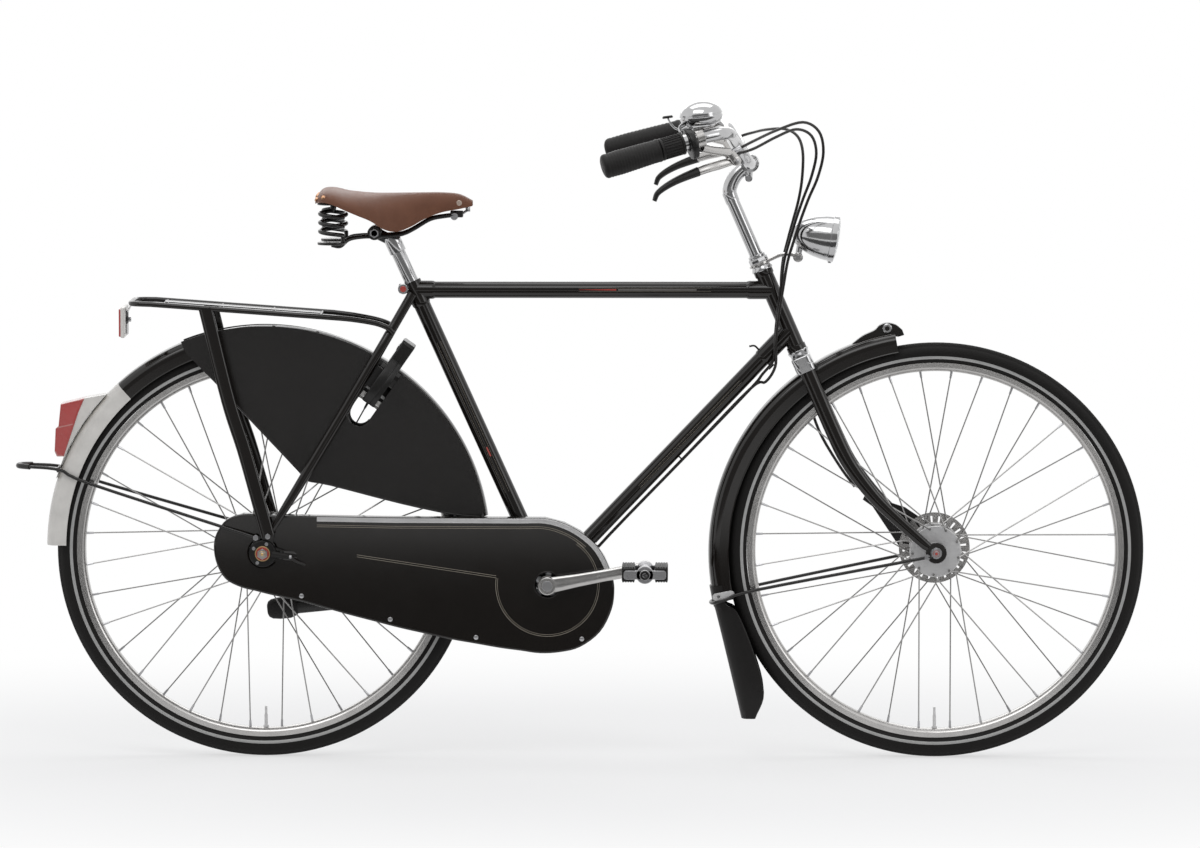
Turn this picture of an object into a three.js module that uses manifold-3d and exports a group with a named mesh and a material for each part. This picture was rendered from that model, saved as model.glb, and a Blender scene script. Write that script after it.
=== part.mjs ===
// City bicycle: lugged steel frame, hub gear, hub brakes, full chain case, sprung leather saddle.
// Millimetres. X points forward, Y to the rider's left, Z up, and both tyres stand on Z = 0.

import * as THREE from "three";
import { mergeVertices } from "three/addons/utils/BufferGeometryUtils.js";
import Module from "manifold-3d";

const wasm = await Module();
wasm.setup();

// Driving dimensions

const gap = 0.3; // air left between pieces that touch
const overrun = 3; // how far a cutting tool passes the wall it cuts
const wheelbase = 1151;
const headAngle = 66.4;
const seatAngle = 65.6;
const chainStayLength = 489.5;
const bracketHeight = 303;
const seatTubeLength = 566;
const topTubeHeight = 804.5;
const chainLine = 47;
const crankLength = 170;
const crankAngle = 10.4;

const rim = { outer: 323.5, depth: 15.2, shoulderDrop: 9.5, halfWidth: 13, halfFloor: 7 };
const tyre = {
  height: 34, halfWidth: 20, shoulder: 11.5, shoulderDrop: 4, wallDrop: 14.5, bead: 8, sides: 36,
};
const wheelRadius = rim.outer + tyre.height;
const spoke = {
  radius: 1.3, nippleRadius: 2.3, nippleLength: 13, count: 36, sides: 3, crossing: 40, splay: 3,
};
const axle = {
  radius: 4.8, clearance: 0.4, nutRadius: 9.6, nutLength: 8, flatSides: 6, coneRadius: 9, end: 3,
};

const frontHub = {
  flangeRadius: 44, flangeAt: 27, flangeThick: 4, barrel: 17, endRadius: 13, leftEnd: 31, rightEnd: 37,
};
const rearHub = {
  flangeRadius: 47, flangeAt: 28, flangeThick: 4, barrel: 35, endRadius: 17, leftEnd: 33, rightEnd: 40.4,
};
const hubSides = 16;

const tube = { radius: 14.3, sides: 10, lugGrow: 1.7, lugLength: 42 };
const head = { radius: 15, bore: 13.5, half: 75, cupRadius: 18.5, cupBore: 12.8, cupHeight: 9, sides: 14 };
const steerer = { radius: 12.4, bore: 11.5, top: 105, boreDepth: 85 };
const fork = { rake: 79.6, drop: 484.9, halfSpacing: 50, endThick: 6, endRadius: 18 };
const crown = { top: 86, bottom: 100, halfLong: 15, halfWide: 46, round: 7 };
const dropout = {
  inner: 66, thick: 5, radius: 17, upTurn: 72, frontTurn: -6, eyeRadius: 6, eyeBoss: 3.4, eyeLean: 0.6,
};
const bracketShell = { radius: 20.7, bore: 17.8, half: 34, sides: 14 };
const guard = { halfWidth: 27, depth: 19.5, thick: 1.5, stay: 2.8, staySides: 6, frontAir: 28, rearAir: 24 };
const frontGuard = {
  radius: wheelRadius + guard.frontAir, shiftX: -4, shiftZ: -4, start: 100, end: 193, steps: 9,
};
const rearGuard = {
  radius: wheelRadius + guard.rearAir, shiftX: 6, shiftZ: 5, start: 8.3, end: 179.5, steps: 17,
};
const rearStayShares = [
  [-0.0301, -0.2031, 0.0721],
  [-0.7798, -0.0944, 0.3028],
  [-0.9161, -0.0789, 0.363],
  [-1.055, -0.0629, 0.3761],
  [-1.0996, -0.0341, 0.3775],
  [-1.1101, 0, 0.3775],
];

const weld = 1e-4;
const degrees = THREE.MathUtils.degToRad;
const at = (x, y, z) => new THREE.Vector3(x, y, z);
const sin = (angle) => Math.sin(degrees(angle));
const cos = (angle) => Math.cos(degrees(angle));
const sidesOf = [-1, 1];

// Main points of the bicycle

const rearAxle = at(-wheelbase / 2, 0, wheelRadius);
const frontAxle = at(wheelbase / 2, 0, wheelRadius);
const axleDrop = wheelRadius - bracketHeight;
const bottomBracket = at(rearAxle.x + Math.sqrt(chainStayLength ** 2 - axleDrop ** 2), 0, bracketHeight);
const steerUp = at(-cos(headAngle), 0, sin(headAngle));
const steerForward = at(sin(headAngle), 0, cos(headAngle));
const headCentre = frontAxle.clone().addScaledVector(steerForward, -fork.rake).addScaledVector(
  steerUp, fork.drop,
);
const seatUp = at(-cos(seatAngle), 0, sin(seatAngle));

function headPoint(forward, y, up) {
  const point = headCentre.clone().addScaledVector(steerForward, forward).addScaledVector(steerUp, up);
  point.y = y;
  return point;
}

function seatPoint(up) {
  return bottomBracket.clone().addScaledVector(seatUp, up);
}

// Solids from geometry

function signedVolume(positions, index) {
  let sum = 0;
  const a = at(0, 0, 0);
  const b = at(0, 0, 0);
  const c = at(0, 0, 0);
  for (let i = 0; i < index.length; i += 3) {
    a.fromArray(positions, 3 * index[i]);
    b.fromArray(positions, 3 * index[i + 1]);
    c.fromArray(positions, 3 * index[i + 2]);
    sum += a.dot(b.cross(c));
  }
  return sum;
}

function solid(geometry) {
  const bare = geometry.clone();
  bare.deleteAttribute("normal");
  bare.deleteAttribute("uv");
  const merged = mergeVertices(bare, weld);
  const vertProperties = Float32Array.from(merged.attributes.position.array);
  const triVerts = Uint32Array.from(merged.index.array);
  if (signedVolume(vertProperties, triVerts) < 0) {
    for (let i = 0; i < triVerts.length; i += 3) {
      [triVerts[i], triVerts[i + 1]] = [triVerts[i + 1], triVerts[i]];
    }
  }
  return new wasm.Manifold(new wasm.Mesh({ numProp: 3, vertProperties, triVerts }));
}

function geometryOf(body) {
  const mesh = body.getMesh();
  const geometry = new THREE.BufferGeometry();
  geometry.setAttribute("position", new THREE.BufferAttribute(Float32Array.from(mesh.vertProperties), 3));
  geometry.setIndex(new THREE.BufferAttribute(Uint32Array.from(mesh.triVerts), 1));
  geometry.computeVertexNormals();
  return geometry;
}

function joined(...bodies) {
  return bodies.flat().reduce((sum, body) => sum.add(body));
}

function cut(body, ...tools) {
  return tools.flat().reduce((rest, tool) => rest.subtract(tool), body);
}

function moved(geometry, origin, direction, from = at(0, 1, 0)) {
  const turn = new THREE.Quaternion().setFromUnitVectors(from, direction.clone().normalize());
  return geometry.clone().applyQuaternion(turn).translate(origin.x, origin.y, origin.z);
}

function rod(from, to, radius, sides = tube.sides, endRadius = radius) {
  const along = to.clone().sub(from);
  const geometry = new THREE.CylinderGeometry(endRadius, radius, along.length(), sides);
  return solid(moved(geometry, from.clone().add(to).multiplyScalar(1 / 2), along));
}

function across(centre, y0, y1, radius, sides) {
  return rod(at(centre.x, y0, centre.z), at(centre.x, y1, centre.z), radius, sides);
}

function box(x0, x1, y0, y1, z0, z1) {
  const geometry = new THREE.BoxGeometry(x1 - x0, y1 - y0, z1 - z0);
  return solid(geometry.translate((x0 + x1) / 2, (y0 + y1) / 2, (z0 + z1) / 2));
}

// Revolved about the Y axis; the profile is a list of [radius, y]
function turned(profile, sides) {
  const closed = profile[0][0] === 0 ? profile : [...profile, profile[0]];
  return new THREE.LatheGeometry(closed.map(([r, y]) => new THREE.Vector2(r, y)), sides);
}

function turnedAt(profile, sides, centre) {
  return solid(turned(profile, sides).translate(centre.x, centre.y, centre.z));
}

// An outline in the X-Z plane made solid between two values of Y
function plate(shape, y0, y1, curveSegments = 12) {
  const geometry = new THREE.ExtrudeGeometry(shape, { depth: y1 - y0, bevelEnabled: false, curveSegments });
  return solid(geometry.rotateX(degrees(90)).translate(0, y1, 0));
}

function slab(shape, z0, z1, curveSegments = 12) {
  const geometry = new THREE.ExtrudeGeometry(shape, { depth: z1 - z0, bevelEnabled: false, curveSegments });
  return solid(geometry.translate(0, 0, z0));
}

function outline(points) {
  return new THREE.Shape(points.map(([x, z]) => new THREE.Vector2(x, z)));
}

function circlePoints(radius, sides) {
  return Array.from({ length: sides }, (_, i) => {
    const turn = (360 * i) / sides;
    return [radius * cos(turn), radius * sin(turn)];
  });
}

function pipe(points, radius, sides, steps) {
  const extrudePath = new THREE.CatmullRomCurve3(points, false, "centripetal");
  const section = outline(circlePoints(radius, sides));
  return solid(new THREE.ExtrudeGeometry(section, { steps, extrudePath, bevelEnabled: false }));
}

// A closed skin over rings of points, each ring with as many points as the last
function skin(rings) {
  const count = rings[0].length;
  const positions = rings.flat().flatMap((p) => [p.x, p.y, p.z]);
  const index = [];
  for (let i = 0; i + 1 < rings.length; i += 1) {
    for (let k = 0; k < count; k += 1) {
      const a = i * count + k;
      const b = i * count + ((k + 1) % count);
      index.push(a, b, b + count, a, b + count, a + count);
    }
  }
  const addCap = (ring, start, flip) => {
    for (const [a, b, c] of capFaces(ring)) {
      index.push(start + a, start + (flip ? c : b), start + (flip ? b : c));
    }
  };
  addCap(rings[0], 0, true);
  addCap(rings[rings.length - 1], (rings.length - 1) * count, false);
  const geometry = new THREE.BufferGeometry();
  geometry.setAttribute("position", new THREE.Float32BufferAttribute(positions, 3));
  geometry.setIndex(index);
  return solid(geometry);
}

function capFaces(ring) {
  const normal = at(0, 0, 0);
  ring.forEach((p, i) => normal.add(p.clone().cross(ring[(i + 1) % ring.length])));
  const turn = new THREE.Quaternion().setFromUnitVectors(normal.normalize(), at(0, 0, 1));
  const flat = ring.map((p) => p.clone().applyQuaternion(turn)).map((p) => new THREE.Vector2(p.x, p.y));
  return THREE.ShapeUtils.triangulateShape(flat, []);
}

// A tube of oval section along points; halfWide lies along Y and halfHigh across the path
function ovalPipe(points, halfHigh, halfWide, sides) {
  const rings = points.map((point, i) => {
    const before = points[Math.max(i - 1, 0)];
    const after = points[Math.min(i + 1, points.length - 1)];
    const along = after.clone().sub(before).normalize();
    const wide = at(0, 1, 0).addScaledVector(along, -along.y).normalize();
    const high = along.clone().cross(wide);
    return circlePoints(1, sides).map(([c, s]) =>
      point.clone().addScaledVector(wide, c * halfWide[i]).addScaledVector(high, s * halfHigh[i]),
    );
  });
  return skin(rings);
}

// A flat bar through the points; halfWide lies along Y and halfThick across the path
function strap(points, halfThick, halfWide) {
  const corners = [[1, 1], [-1, 1], [-1, -1], [1, -1]];
  const rings = points.map((point, i) => {
    const ahead = points[Math.min(i + 1, points.length - 1)];
    const along = ahead.clone().sub(points[Math.max(i - 1, 0)]).normalize();
    const wide = at(0, 1, 0).addScaledVector(along, -along.y).normalize();
    const high = along.clone().cross(wide);
    return corners.map(([w, h]) =>
      point.clone().addScaledVector(wide, w * halfWide).addScaledVector(high, h * halfThick),
    );
  });
  return skin(rings);
}

// A round tube through the points, its section carried along without twist
function tubeThrough(points, radius, sides) {
  const radii = Array.isArray(radius) ? radius : points.map(() => radius);
  const first = points[1].clone().sub(points[0]).normalize();
  let wide = Math.abs(first.y) < Math.abs(first.x) + Math.abs(first.z) ? at(0, 1, 0) : at(1, 0, 0);
  const rings = points.map((point, i) => {
    const ahead = points[Math.min(i + 1, points.length - 1)];
    const along = ahead.clone().sub(points[Math.max(i - 1, 0)]).normalize();
    wide = wide.clone().addScaledVector(along, -along.dot(wide)).normalize();
    const high = along.clone().cross(wide);
    return circlePoints(radii[i], sides).map(([c, s]) =>
      point.clone().addScaledVector(wide, c).addScaledVector(high, s),
    );
  });
  return skin(rings);
}

// A cutter that leaves the usual gap all round a rod of the given radius
function boreRod(from, to, radius, sides = 16) {
  return rod(from, to, (radius + gap) / cos(180 / sides), sides);
}

function boreAcross(centre, y0, y1, radius, sides = 16) {
  return across(centre, y0, y1, (radius + gap) / cos(180 / sides), sides);
}

// Revolved about any line; the profile is a list of [radius, distance along the line]
function lathed(profile, origin, direction, sides) {
  return solid(moved(turned(profile, sides), origin, direction));
}

function smoothed(points, count) {
  return new THREE.CatmullRomCurve3(points, false, "centripetal").getPoints(count);
}

function evenly(values, count) {
  const last = values.length - 1;
  return Array.from({ length: count + 1 }, (_, i) => {
    const place = (i * last) / count;
    const low = Math.min(Math.floor(place), last - 1);
    return THREE.MathUtils.lerp(values[low], values[low + 1], place - low);
  });
}

// Looks

const look = (color, roughness, metalness) => () => new THREE.MeshStandardMaterial(
  { color, roughness, metalness },
);
const blackPaint = look(0x0b0b0c, 0.25, 0.2);
const chrome = look(0xd8dadc, 0.12, 1);
const alloy = look(0xb9bbbd, 0.35, 1);
const steel = look(0xa6a8aa, 0.3, 1);
const blackPlastic = look(0x141414, 0.45, 0);
const rubber = look(0x1b1a19, 0.8, 0);
const tread = look(0x252423, 0.85, 0);
const leather = look(0x5a3018, 0.5, 0);
const redLens = look(0xb01818, 0.15, 0);
const clearLens = look(0xe8eef2, 0.05, 0);
const whitePaint = look(0xe9e8e2, 0.3, 0.05);

const bicycle = new THREE.Group();

function add(name, body, material, parent = bicycle) {
  const mesh = new THREE.Mesh(geometryOf(body), material());
  mesh.name = name;
  parent.add(mesh);
}

// Groups that stand where their pieces turn

const steering = new THREE.Group();
steering.position.copy(headCentre);
steering.rotation.y = degrees(headAngle - 90);
const frontWheel = new THREE.Group();
frontWheel.position.copy(frontAxle);
const rearWheel = new THREE.Group();
rearWheel.position.copy(rearAxle);
bicycle.add(steering, frontWheel, rearWheel);

// Wheels, each in its own group with the axle along Y

function tyreBody() {
  const half = [
    [wheelRadius, 0],
    [wheelRadius - tyre.shoulderDrop, tyre.shoulder],
    [wheelRadius - tyre.wallDrop, tyre.halfWidth - gap],
    [rim.outer + tyre.bead, tyre.halfWidth - gap * 2],
    [rim.outer + gap, rim.halfWidth - gap],
  ];
  const mirrored = half.slice(1).map(([r, y]) => [r, -y]);
  return solid(turned([...mirrored.reverse(), ...half], tyre.sides));
}

function rimBody() {
  const profile = [
    [rim.outer - rim.depth, -rim.halfFloor],
    [rim.outer - rim.shoulderDrop, -rim.halfWidth],
    [rim.outer, -rim.halfWidth],
    [rim.outer, rim.halfWidth],
    [rim.outer - rim.shoulderDrop, rim.halfWidth],
    [rim.outer - rim.depth, rim.halfFloor],
  ];
  return solid(turned(profile, tyre.sides));
}

// One spoke with its nipple: rings of three or four points from the hub flange to the rim
function spokeBody(index, hub) {
  const pitch = 360 / spoke.count;
  const rimAngle = pitch * (index + 1 / 2);
  const lead = index % 4 === 0 || index % 4 === 3 ? 1 : -1;
  const side = index % 2 === 0 ? -1 : 1;
  const hubAngle = rimAngle + lead * spoke.crossing;
  const hubRadius = hub.flangeRadius - hub.flangeThick;
  const hubY = side * hub.flangeAt + lead * (hub.flangeThick / 2 - spoke.radius / 2);
  const from = at(hubRadius * cos(hubAngle), hubY, hubRadius * sin(hubAngle));
  const rimFloor = (rim.outer - rim.depth) * cos(180 / tyre.sides) - 2 * gap;
  const to = at(rimFloor * cos(rimAngle), side * spoke.splay, rimFloor * sin(rimAngle));
  const along = to.clone().sub(from);
  const length = along.length();
  along.normalize();
  const wide = at(0, 1, 0).addScaledVector(along, -along.y).normalize();
  const high = along.clone().cross(wide);
  const ring = (distance, radius) =>
    circlePoints(radius, spoke.sides).map(([c, s]) =>
      from.clone().addScaledVector(along, distance).addScaledVector(wide, c).addScaledVector(high, s),
    );
  const nippleStart = length - spoke.nippleLength;
  const nippleEnd = length - gap;
  return skin([
    ring(0, spoke.radius),
    ring(nippleStart, spoke.radius),
    ring(nippleEnd, spoke.nippleRadius),
  ]);
}

function hubBody(hub) {
  const bore = axle.radius + axle.clearance;
  const inner = hub.flangeAt - hub.flangeThick / 2;
  const outer = hub.flangeAt + hub.flangeThick / 2;
  const profile = [
    [bore, -hub.rightEnd],
    [hub.endRadius, -hub.rightEnd],
    [hub.endRadius, -outer],
    [hub.flangeRadius, -outer],
    [hub.flangeRadius, -inner],
    [hub.barrel, -inner],
    [hub.barrel, inner],
    [hub.flangeRadius, inner],
    [hub.flangeRadius, outer],
    [hub.endRadius, outer],
    [hub.endRadius, hub.leftEnd],
    [bore, hub.leftEnd],
  ];
  const shell = solid(turned(profile, hubSides));
  const spokes = Array.from({ length: spoke.count }, (_, i) => spokeBody(i, hub));
  return joined(shell, spokes);
}

add("front_tyre", tyreBody(), tread, frontWheel);
add("front_rim", rimBody(), alloy, frontWheel);
add("front_hub", hubBody(frontHub), steel, frontWheel);
add("rear_tyre", tyreBody(), tread, rearWheel);
add("rear_rim", rimBody(), alloy, rearWheel);
add("rear_hub", hubBody(rearHub), steel, rearWheel);

// Frame: one brazed assembly of tubes, lugs, stays and dropouts

const topTubeFront = headPoint(0, 0, (topTubeHeight - headCentre.z) / steerUp.z);
const downTubeShare = 0.255; // how far down the head tube's lower half the down tube meets it
const downTubeTop = headPoint(0, 0, -head.half * 2 * downTubeShare);
const seatTubeTop = seatPoint(seatTubeLength);
const topTubeRear = seatPoint((topTubeHeight - bracketHeight) / seatUp.z);
const downTubeAlong = downTubeTop.clone().sub(bottomBracket).normalize();
const downTubeUnder = at(downTubeAlong.z, 0, -downTubeAlong.x);

const chainStay = {
  start: 26,
  innerWide: 6.2,
  bow: 34,
  bowAt: 101,
  outer: 53,
  outerAt: 411,
  halfHigh: 11,
  rearHalfHigh: 8.5,
  rearHalfWide: 4.2,
  sides: 6,
};
const seatStay = {
  halfSpread: 17, halfWide: 7, halfHigh: 8.2, flat: 4.6, foot: 34, standOff: 4.2, sides: 6, steps: 6,
};
const seatStaySpreadShares = [0, 0.24, 0.48, 0.64, 0.82, 1, 1];
const seatStayAlongShares = [0, 0.14, 0.26, 0.5, 0.77, 0.905, 1];
const pump = { length: 16, radius: 1.6, hook: 7, share: 0.9 };
const clip = { offset: 21.5, width: 12, thick: 1.2, spine: 1.2 };
const clipShares = [0.16, 0.52, 0.89];
const seatLug = { radius: 16, height: 44, ear: 13, earHalf: 8, boltRadius: 5, boltHalf: 16 };
const standMount = {
  back: 226, half: 18, inner: 33, outer: 50, drop: 58, tilt: 20.9, bossRadius: 11, bossLength: 6,
};
const seatPostSize = { radius: 12.1, bore: 12.9, depth: 90 };

function chainStayPoint(side, share) {
  const run = rearAxle.clone().sub(bottomBracket);
  const point = bottomBracket.clone().addScaledVector(run, share);
  const back = share * chainStayLength;
  const stations = [0, chainStay.bowAt, chainStay.outerAt, chainStayLength - dropout.radius * 2];
  const places = [chainStay.start, chainStay.bow, chainStay.outer, dropout.inner + dropout.thick / 2];
  const last = stations.length - 1;
  const i = Math.max(0, stations.findIndex((s, k) => k === last - 1 || back <= stations[k + 1]));
  const within = Math.min(1, (back - stations[i]) / (stations[i + 1] - stations[i]));
  point.y = side * THREE.MathUtils.lerp(places[i], places[i + 1], within);
  return point;
}

function chainStayBody(side, grow = 0) {
  const end = 1 - (dropout.radius * 1.7) / chainStayLength;
  const bowShare = chainStay.bowAt / chainStayLength;
  const turnShare = chainStay.outerAt / chainStayLength;
  const all = [0, bowShare, (bowShare + turnShare) / 2, turnShare, (turnShare + end) / 2, end];
  const points = all.map((share) => chainStayPoint(side, share));
  const high = all.map((s) => THREE.MathUtils.lerp(chainStay.halfHigh, chainStay.rearHalfHigh, s) + grow);
  const wide = all.map((s) => THREE.MathUtils.lerp(chainStay.innerWide, chainStay.rearHalfWide, s) + grow);
  return ovalPipe(points, high, wide, chainStay.sides);
}

const stayOut = dropout.inner + seatStay.standOff;

function seatStayPoints(side) {
  const top = seatPoint(seatTubeLength - seatLug.height / 2);
  top.x -= tube.radius / 2;
  const { upTurn } = dropout;
  const foot = at(rearAxle.x + seatStay.foot * cos(upTurn), 0, rearAxle.z + seatStay.foot * sin(upTurn));
  const points = seatStayAlongShares.map((share, i) => {
    const point = top.clone().lerp(foot, share);
    const bow = Math.sin(Math.PI * Math.min(share, 1)) * seatStay.halfHigh;
    point.x += bow / 2;
    point.z += bow / 4;
    point.y = side * THREE.MathUtils.lerp(seatStay.halfSpread, stayOut, seatStaySpreadShares[i]);
    return point;
  });
  return points;
}

function seatStayBody(side, grow = 0) {
  const points = smoothed(seatStayPoints(side), seatStay.steps);
  const high = evenly(
    [seatStay.halfHigh, seatStay.halfHigh, seatStay.halfHigh, seatStay.flat + 1], seatStay.steps,
  );
  const wide = evenly(
    [seatStay.halfWide, seatStay.halfWide, seatStay.halfWide, seatStay.flat], seatStay.steps,
  );
  return ovalPipe(points, high.map((r) => r + grow), wide.map((r) => r + grow), seatStay.sides);
}

// Flat plate that takes the axle: lobes to the seat stay, the chain stay and the mudguard stay's eye
function dropoutBody(side) {
  const lobe = dropout.radius * 2.1;
  const { upTurn, frontTurn } = dropout;
  const eye = stayEye();
  const ends = [
    [rearAxle.x + lobe * cos(upTurn), rearAxle.z + lobe * sin(upTurn), seatStay.halfHigh * 1.1],
    [rearAxle.x + lobe * cos(frontTurn), rearAxle.z + lobe * sin(frontTurn), chainStay.rearHalfHigh * 1.1],
    [eye.x, eye.z, dropout.eyeRadius],
  ];
  const y0 = side < 0 ? -dropout.inner - dropout.thick : dropout.inner;
  const y1 = y0 + dropout.thick;
  const disc = across(rearAxle, y0, y1, dropout.radius, 16);
  const bossEnd = -eye.y - guard.stay - gap - dropout.eyeLean;
  const boss = across(eye, Math.min(side * dropout.inner, side * bossEnd), Math.max(
    side * dropout.inner, side * bossEnd,
  ),
    dropout.eyeBoss, 8);
  const arms = ends.map(([x, z, r]) => {
    const turn = Math.atan2(z - rearAxle.z, x - rearAxle.x);
    const nx = -Math.sin(turn);
    const nz = Math.cos(turn);
    const corners = [
      [rearAxle.x + nx * dropout.radius, rearAxle.z + nz * dropout.radius],
      [x + nx * r, z + nz * r],
      [x - nx * r, z - nz * r],
      [rearAxle.x - nx * dropout.radius, rearAxle.z - nz * dropout.radius],
    ];
    return plate(outline(corners), y0, y1);
  });
  return joined(disc, arms, boss);
}

function stayEye() {
  const [x, y, z] = rearStayShares[0].map((share) => share * rearGuard.radius);
  return at(rearAxle.x + x, y, rearAxle.z + z);
}

function luggedTube(from, to, startLug, endLug) {
  const along = to.clone().sub(from);
  const length = along.length();
  const grown = tube.radius + tube.lugGrow;
  const profile = [
    [0, 0],
    [grown, 0],
    [grown, startLug],
    [tube.radius, startLug],
    [tube.radius, length - endLug],
    [grown, length - endLug],
    [grown, length],
    [0, length],
  ];
  return lathed(profile, from, along, tube.sides);
}

function mainTubes() {
  const whole = head.half + head.cupHeight;
  const band = head.radius + tube.lugGrow;
  const half = [
    [band, 0],
    [band, head.cupHeight],
    [head.radius, head.cupHeight],
  ];
  const cup = [
    [0, -head.cupHeight],
    [head.cupRadius - tube.lugGrow * 1.5, -head.cupHeight],
    [head.cupRadius, 0],
  ];
  const low = [...cup, ...half].map(([r, d]) => [r, d + head.cupHeight]);
  const high = low.map(([r, d]) => [r, 2 * whole - d]).reverse();
  const headTube = lathed([...low, ...high], headPoint(0, 0, -whole), steerUp, head.sides);
  return joined(
    headTube,
    luggedTube(topTubeFront, topTubeRear, tube.lugLength, tube.lugLength * 0.8),
    luggedTube(downTubeTop, bottomBracket, tube.lugLength * 1.6, tube.lugLength),
    luggedTube(bottomBracket, seatTubeTop, tube.lugLength, seatLug.height),
    across(bottomBracket, -bracketShell.half, bracketShell.half, bracketShell.radius, bracketShell.sides),
  );
}

function seatLugEar() {
  const ear = seatTubeTop.clone().addScaledVector(seatUp, -seatLug.ear);
  ear.x -= seatLug.radius * 1.2;
  const cheeks = box(ear.x - seatLug.earHalf, ear.x + seatLug.radius, -seatLug.earHalf, seatLug.earHalf,
    ear.z - seatLug.earHalf, ear.z + seatLug.earHalf);
  const bolt = across(ear, -seatLug.boltHalf, seatLug.boltHalf, seatLug.boltRadius, 6);
  return joined(cheeks, bolt);
}

function downTubePoint(share, under = 0, y = 0) {
  const point = bottomBracket.clone().lerp(downTubeTop, share).addScaledVector(downTubeUnder, under);
  point.y = y;
  return point;
}

function pumpPeg() {
  const root = downTubePoint(pump.share, -tube.radius + pump.radius);
  const tip = downTubePoint(pump.share, -tube.radius - pump.length);
  const hook = tip.clone().addScaledVector(downTubeAlong, -pump.hook);
  return joined(rod(root, tip, pump.radius, 4), rod(tip, hook, pump.radius * 1.2, 4));
}

// Saddle clip brazed under the down tube, between the two cables that it holds
function cableClip(share) {
  const centre = downTubePoint(share, clip.offset);
  const along = downTubeAlong.clone().multiplyScalar(clip.width / 2);
  return joined(
    rod(downTubePoint(share, tube.radius - clip.thick), centre, clip.thick, 4),
    rod(centre.clone().sub(along), centre.clone().add(along), clip.spine, 4),
  );
}

const kick = {
  length: 263,
  hubRadius: 13,
  hubLength: 14,
  boltRadius: 5,
  capLength: 3,
  capRadius: 9,
  halfHigh: 12.5,
  halfWide: 6,
  footLength: 52,
  footHalfHigh: 19,
  footHalfWide: 9,
  fall: 6,
  spread: 2.3,
};

function kickstandMount() {
  const x = bottomBracket.x - standMount.back;
  const stayZ = chainStayPoint(1, standMount.back / chainStayLength).z;
  const block = box(x - standMount.half, x + standMount.half, standMount.inner, standMount.outer - standMount.bossLength,
    stayZ - standMount.drop - standMount.half / 2, stayZ);
  const pivot = kickPivot();
  const outward = at(0, cos(standMount.tilt), sin(standMount.tilt));
  const start = pivot.clone().addScaledVector(outward, -standMount.half);
  const boss = rod(start, pivot, standMount.bossRadius, 8);
  const bolt = rod(
    start, pivot.clone().addScaledVector(outward, kick.hubLength + gap * 4), kick.boltRadius, 6,
  );
  const capStart = pivot.clone().addScaledVector(outward, kick.hubLength + gap * 2);
  const cap = rod(capStart, capStart.clone().addScaledVector(outward, kick.capLength), kick.capRadius, 6);
  return joined(block, boss, bolt, cap);
}

function kickPivot() {
  const stayZ = chainStayPoint(1, standMount.back / chainStayLength).z;
  return at(bottomBracket.x - standMount.back, standMount.outer, stayZ - standMount.drop);
}

function frameBody() {
  const stays = sidesOf.flatMap((side) => [chainStayBody(side), seatStayBody(side), dropoutBody(side)]);
  const stayBridge = chainStayPoint(1, chainStay.bowAt / chainStayLength / 1.6);
  const bridge = across(stayBridge, -stayBridge.y, stayBridge.y, tube.radius / 2, 8);
  const clips = clipShares.map((share) => cableClip(share));
  const whole = joined(mainTubes(), stays, bridge, seatLugEar(), pumpPeg(), clips, kickstandMount());
  const long = head.half + head.cupHeight + overrun;
  return cut(
    whole,
    rod(headPoint(0, 0, -long), headPoint(0, 0, long), head.cupBore, head.sides),
    rod(headPoint(0, 0, -head.half), headPoint(0, 0, head.half), head.bore, head.sides),
    rod(seatPoint(seatTubeLength - seatPostSize.depth - tube.lugLength), seatPoint(seatTubeLength + overrun),
      seatPostSize.bore, 12),
    across(bottomBracket, -bracketShell.half - overrun, bracketShell.half + overrun, bracketShell.bore, 16),
    across(
      rearAxle, -dropout.inner - dropout.thick - overrun, -dropout.inner + overrun,
      axle.radius + axle.clearance, 12,
    ),
    across(
      rearAxle, dropout.inner - overrun, dropout.inner + dropout.thick + overrun,
      axle.radius + axle.clearance, 12,
    ),
  );
}

add("frame", frameBody(), blackPaint);

// Fork, crown cover, headset nut and stem, upright in the steering group

function roundedOutline(halfLong, halfWide, round) {
  const shape = new THREE.Shape();
  shape.moveTo(halfLong, -halfWide + round);
  shape.lineTo(halfLong, halfWide - round);
  shape.absarc(halfLong - round, halfWide - round, round, 0, degrees(90), false);
  shape.lineTo(-halfLong + round, halfWide);
  shape.absarc(-halfLong + round, halfWide - round, round, degrees(90), degrees(180), false);
  shape.lineTo(-halfLong, -halfWide + round);
  shape.absarc(-halfLong + round, -halfWide + round, round, degrees(180), degrees(270), false);
  shape.lineTo(halfLong - round, -halfWide);
  shape.absarc(halfLong - round, -halfWide + round, round, degrees(270), degrees(360), false);
  return shape;
}

const blade = {
  topY: 39,
  halfHighTop: 13.5,
  halfHighEnd: 7.5,
  halfWideTop: 8.5,
  halfWideEnd: 5,
  steps: 7,
  sides: 8,
};
const bladeRakeShares = [0.02, 0.02, 0.015, 0.06, 0.24, 0.45, 0.81, 0.9];
const bladeDropShares = [0, 0.11, 0.37, 0.51, 0.66, 0.77, 0.93, 0.965];
const bladeOutShares = [0, 0.08, 0.33, 0.5, 0.7, 0.85, 1, 1];

function bladePoints(side) {
  const top = -crown.top - gap * 4;
  const endY = fork.halfSpacing + fork.endThick - blade.halfWideEnd / 2;
  return bladeDropShares.map((share, i) =>
    at(
      bladeRakeShares[i] * fork.rake,
      side * THREE.MathUtils.lerp(blade.topY, endY, bladeOutShares[i]),
      THREE.MathUtils.lerp(top, -fork.drop, share),
    ),
  );
}

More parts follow.
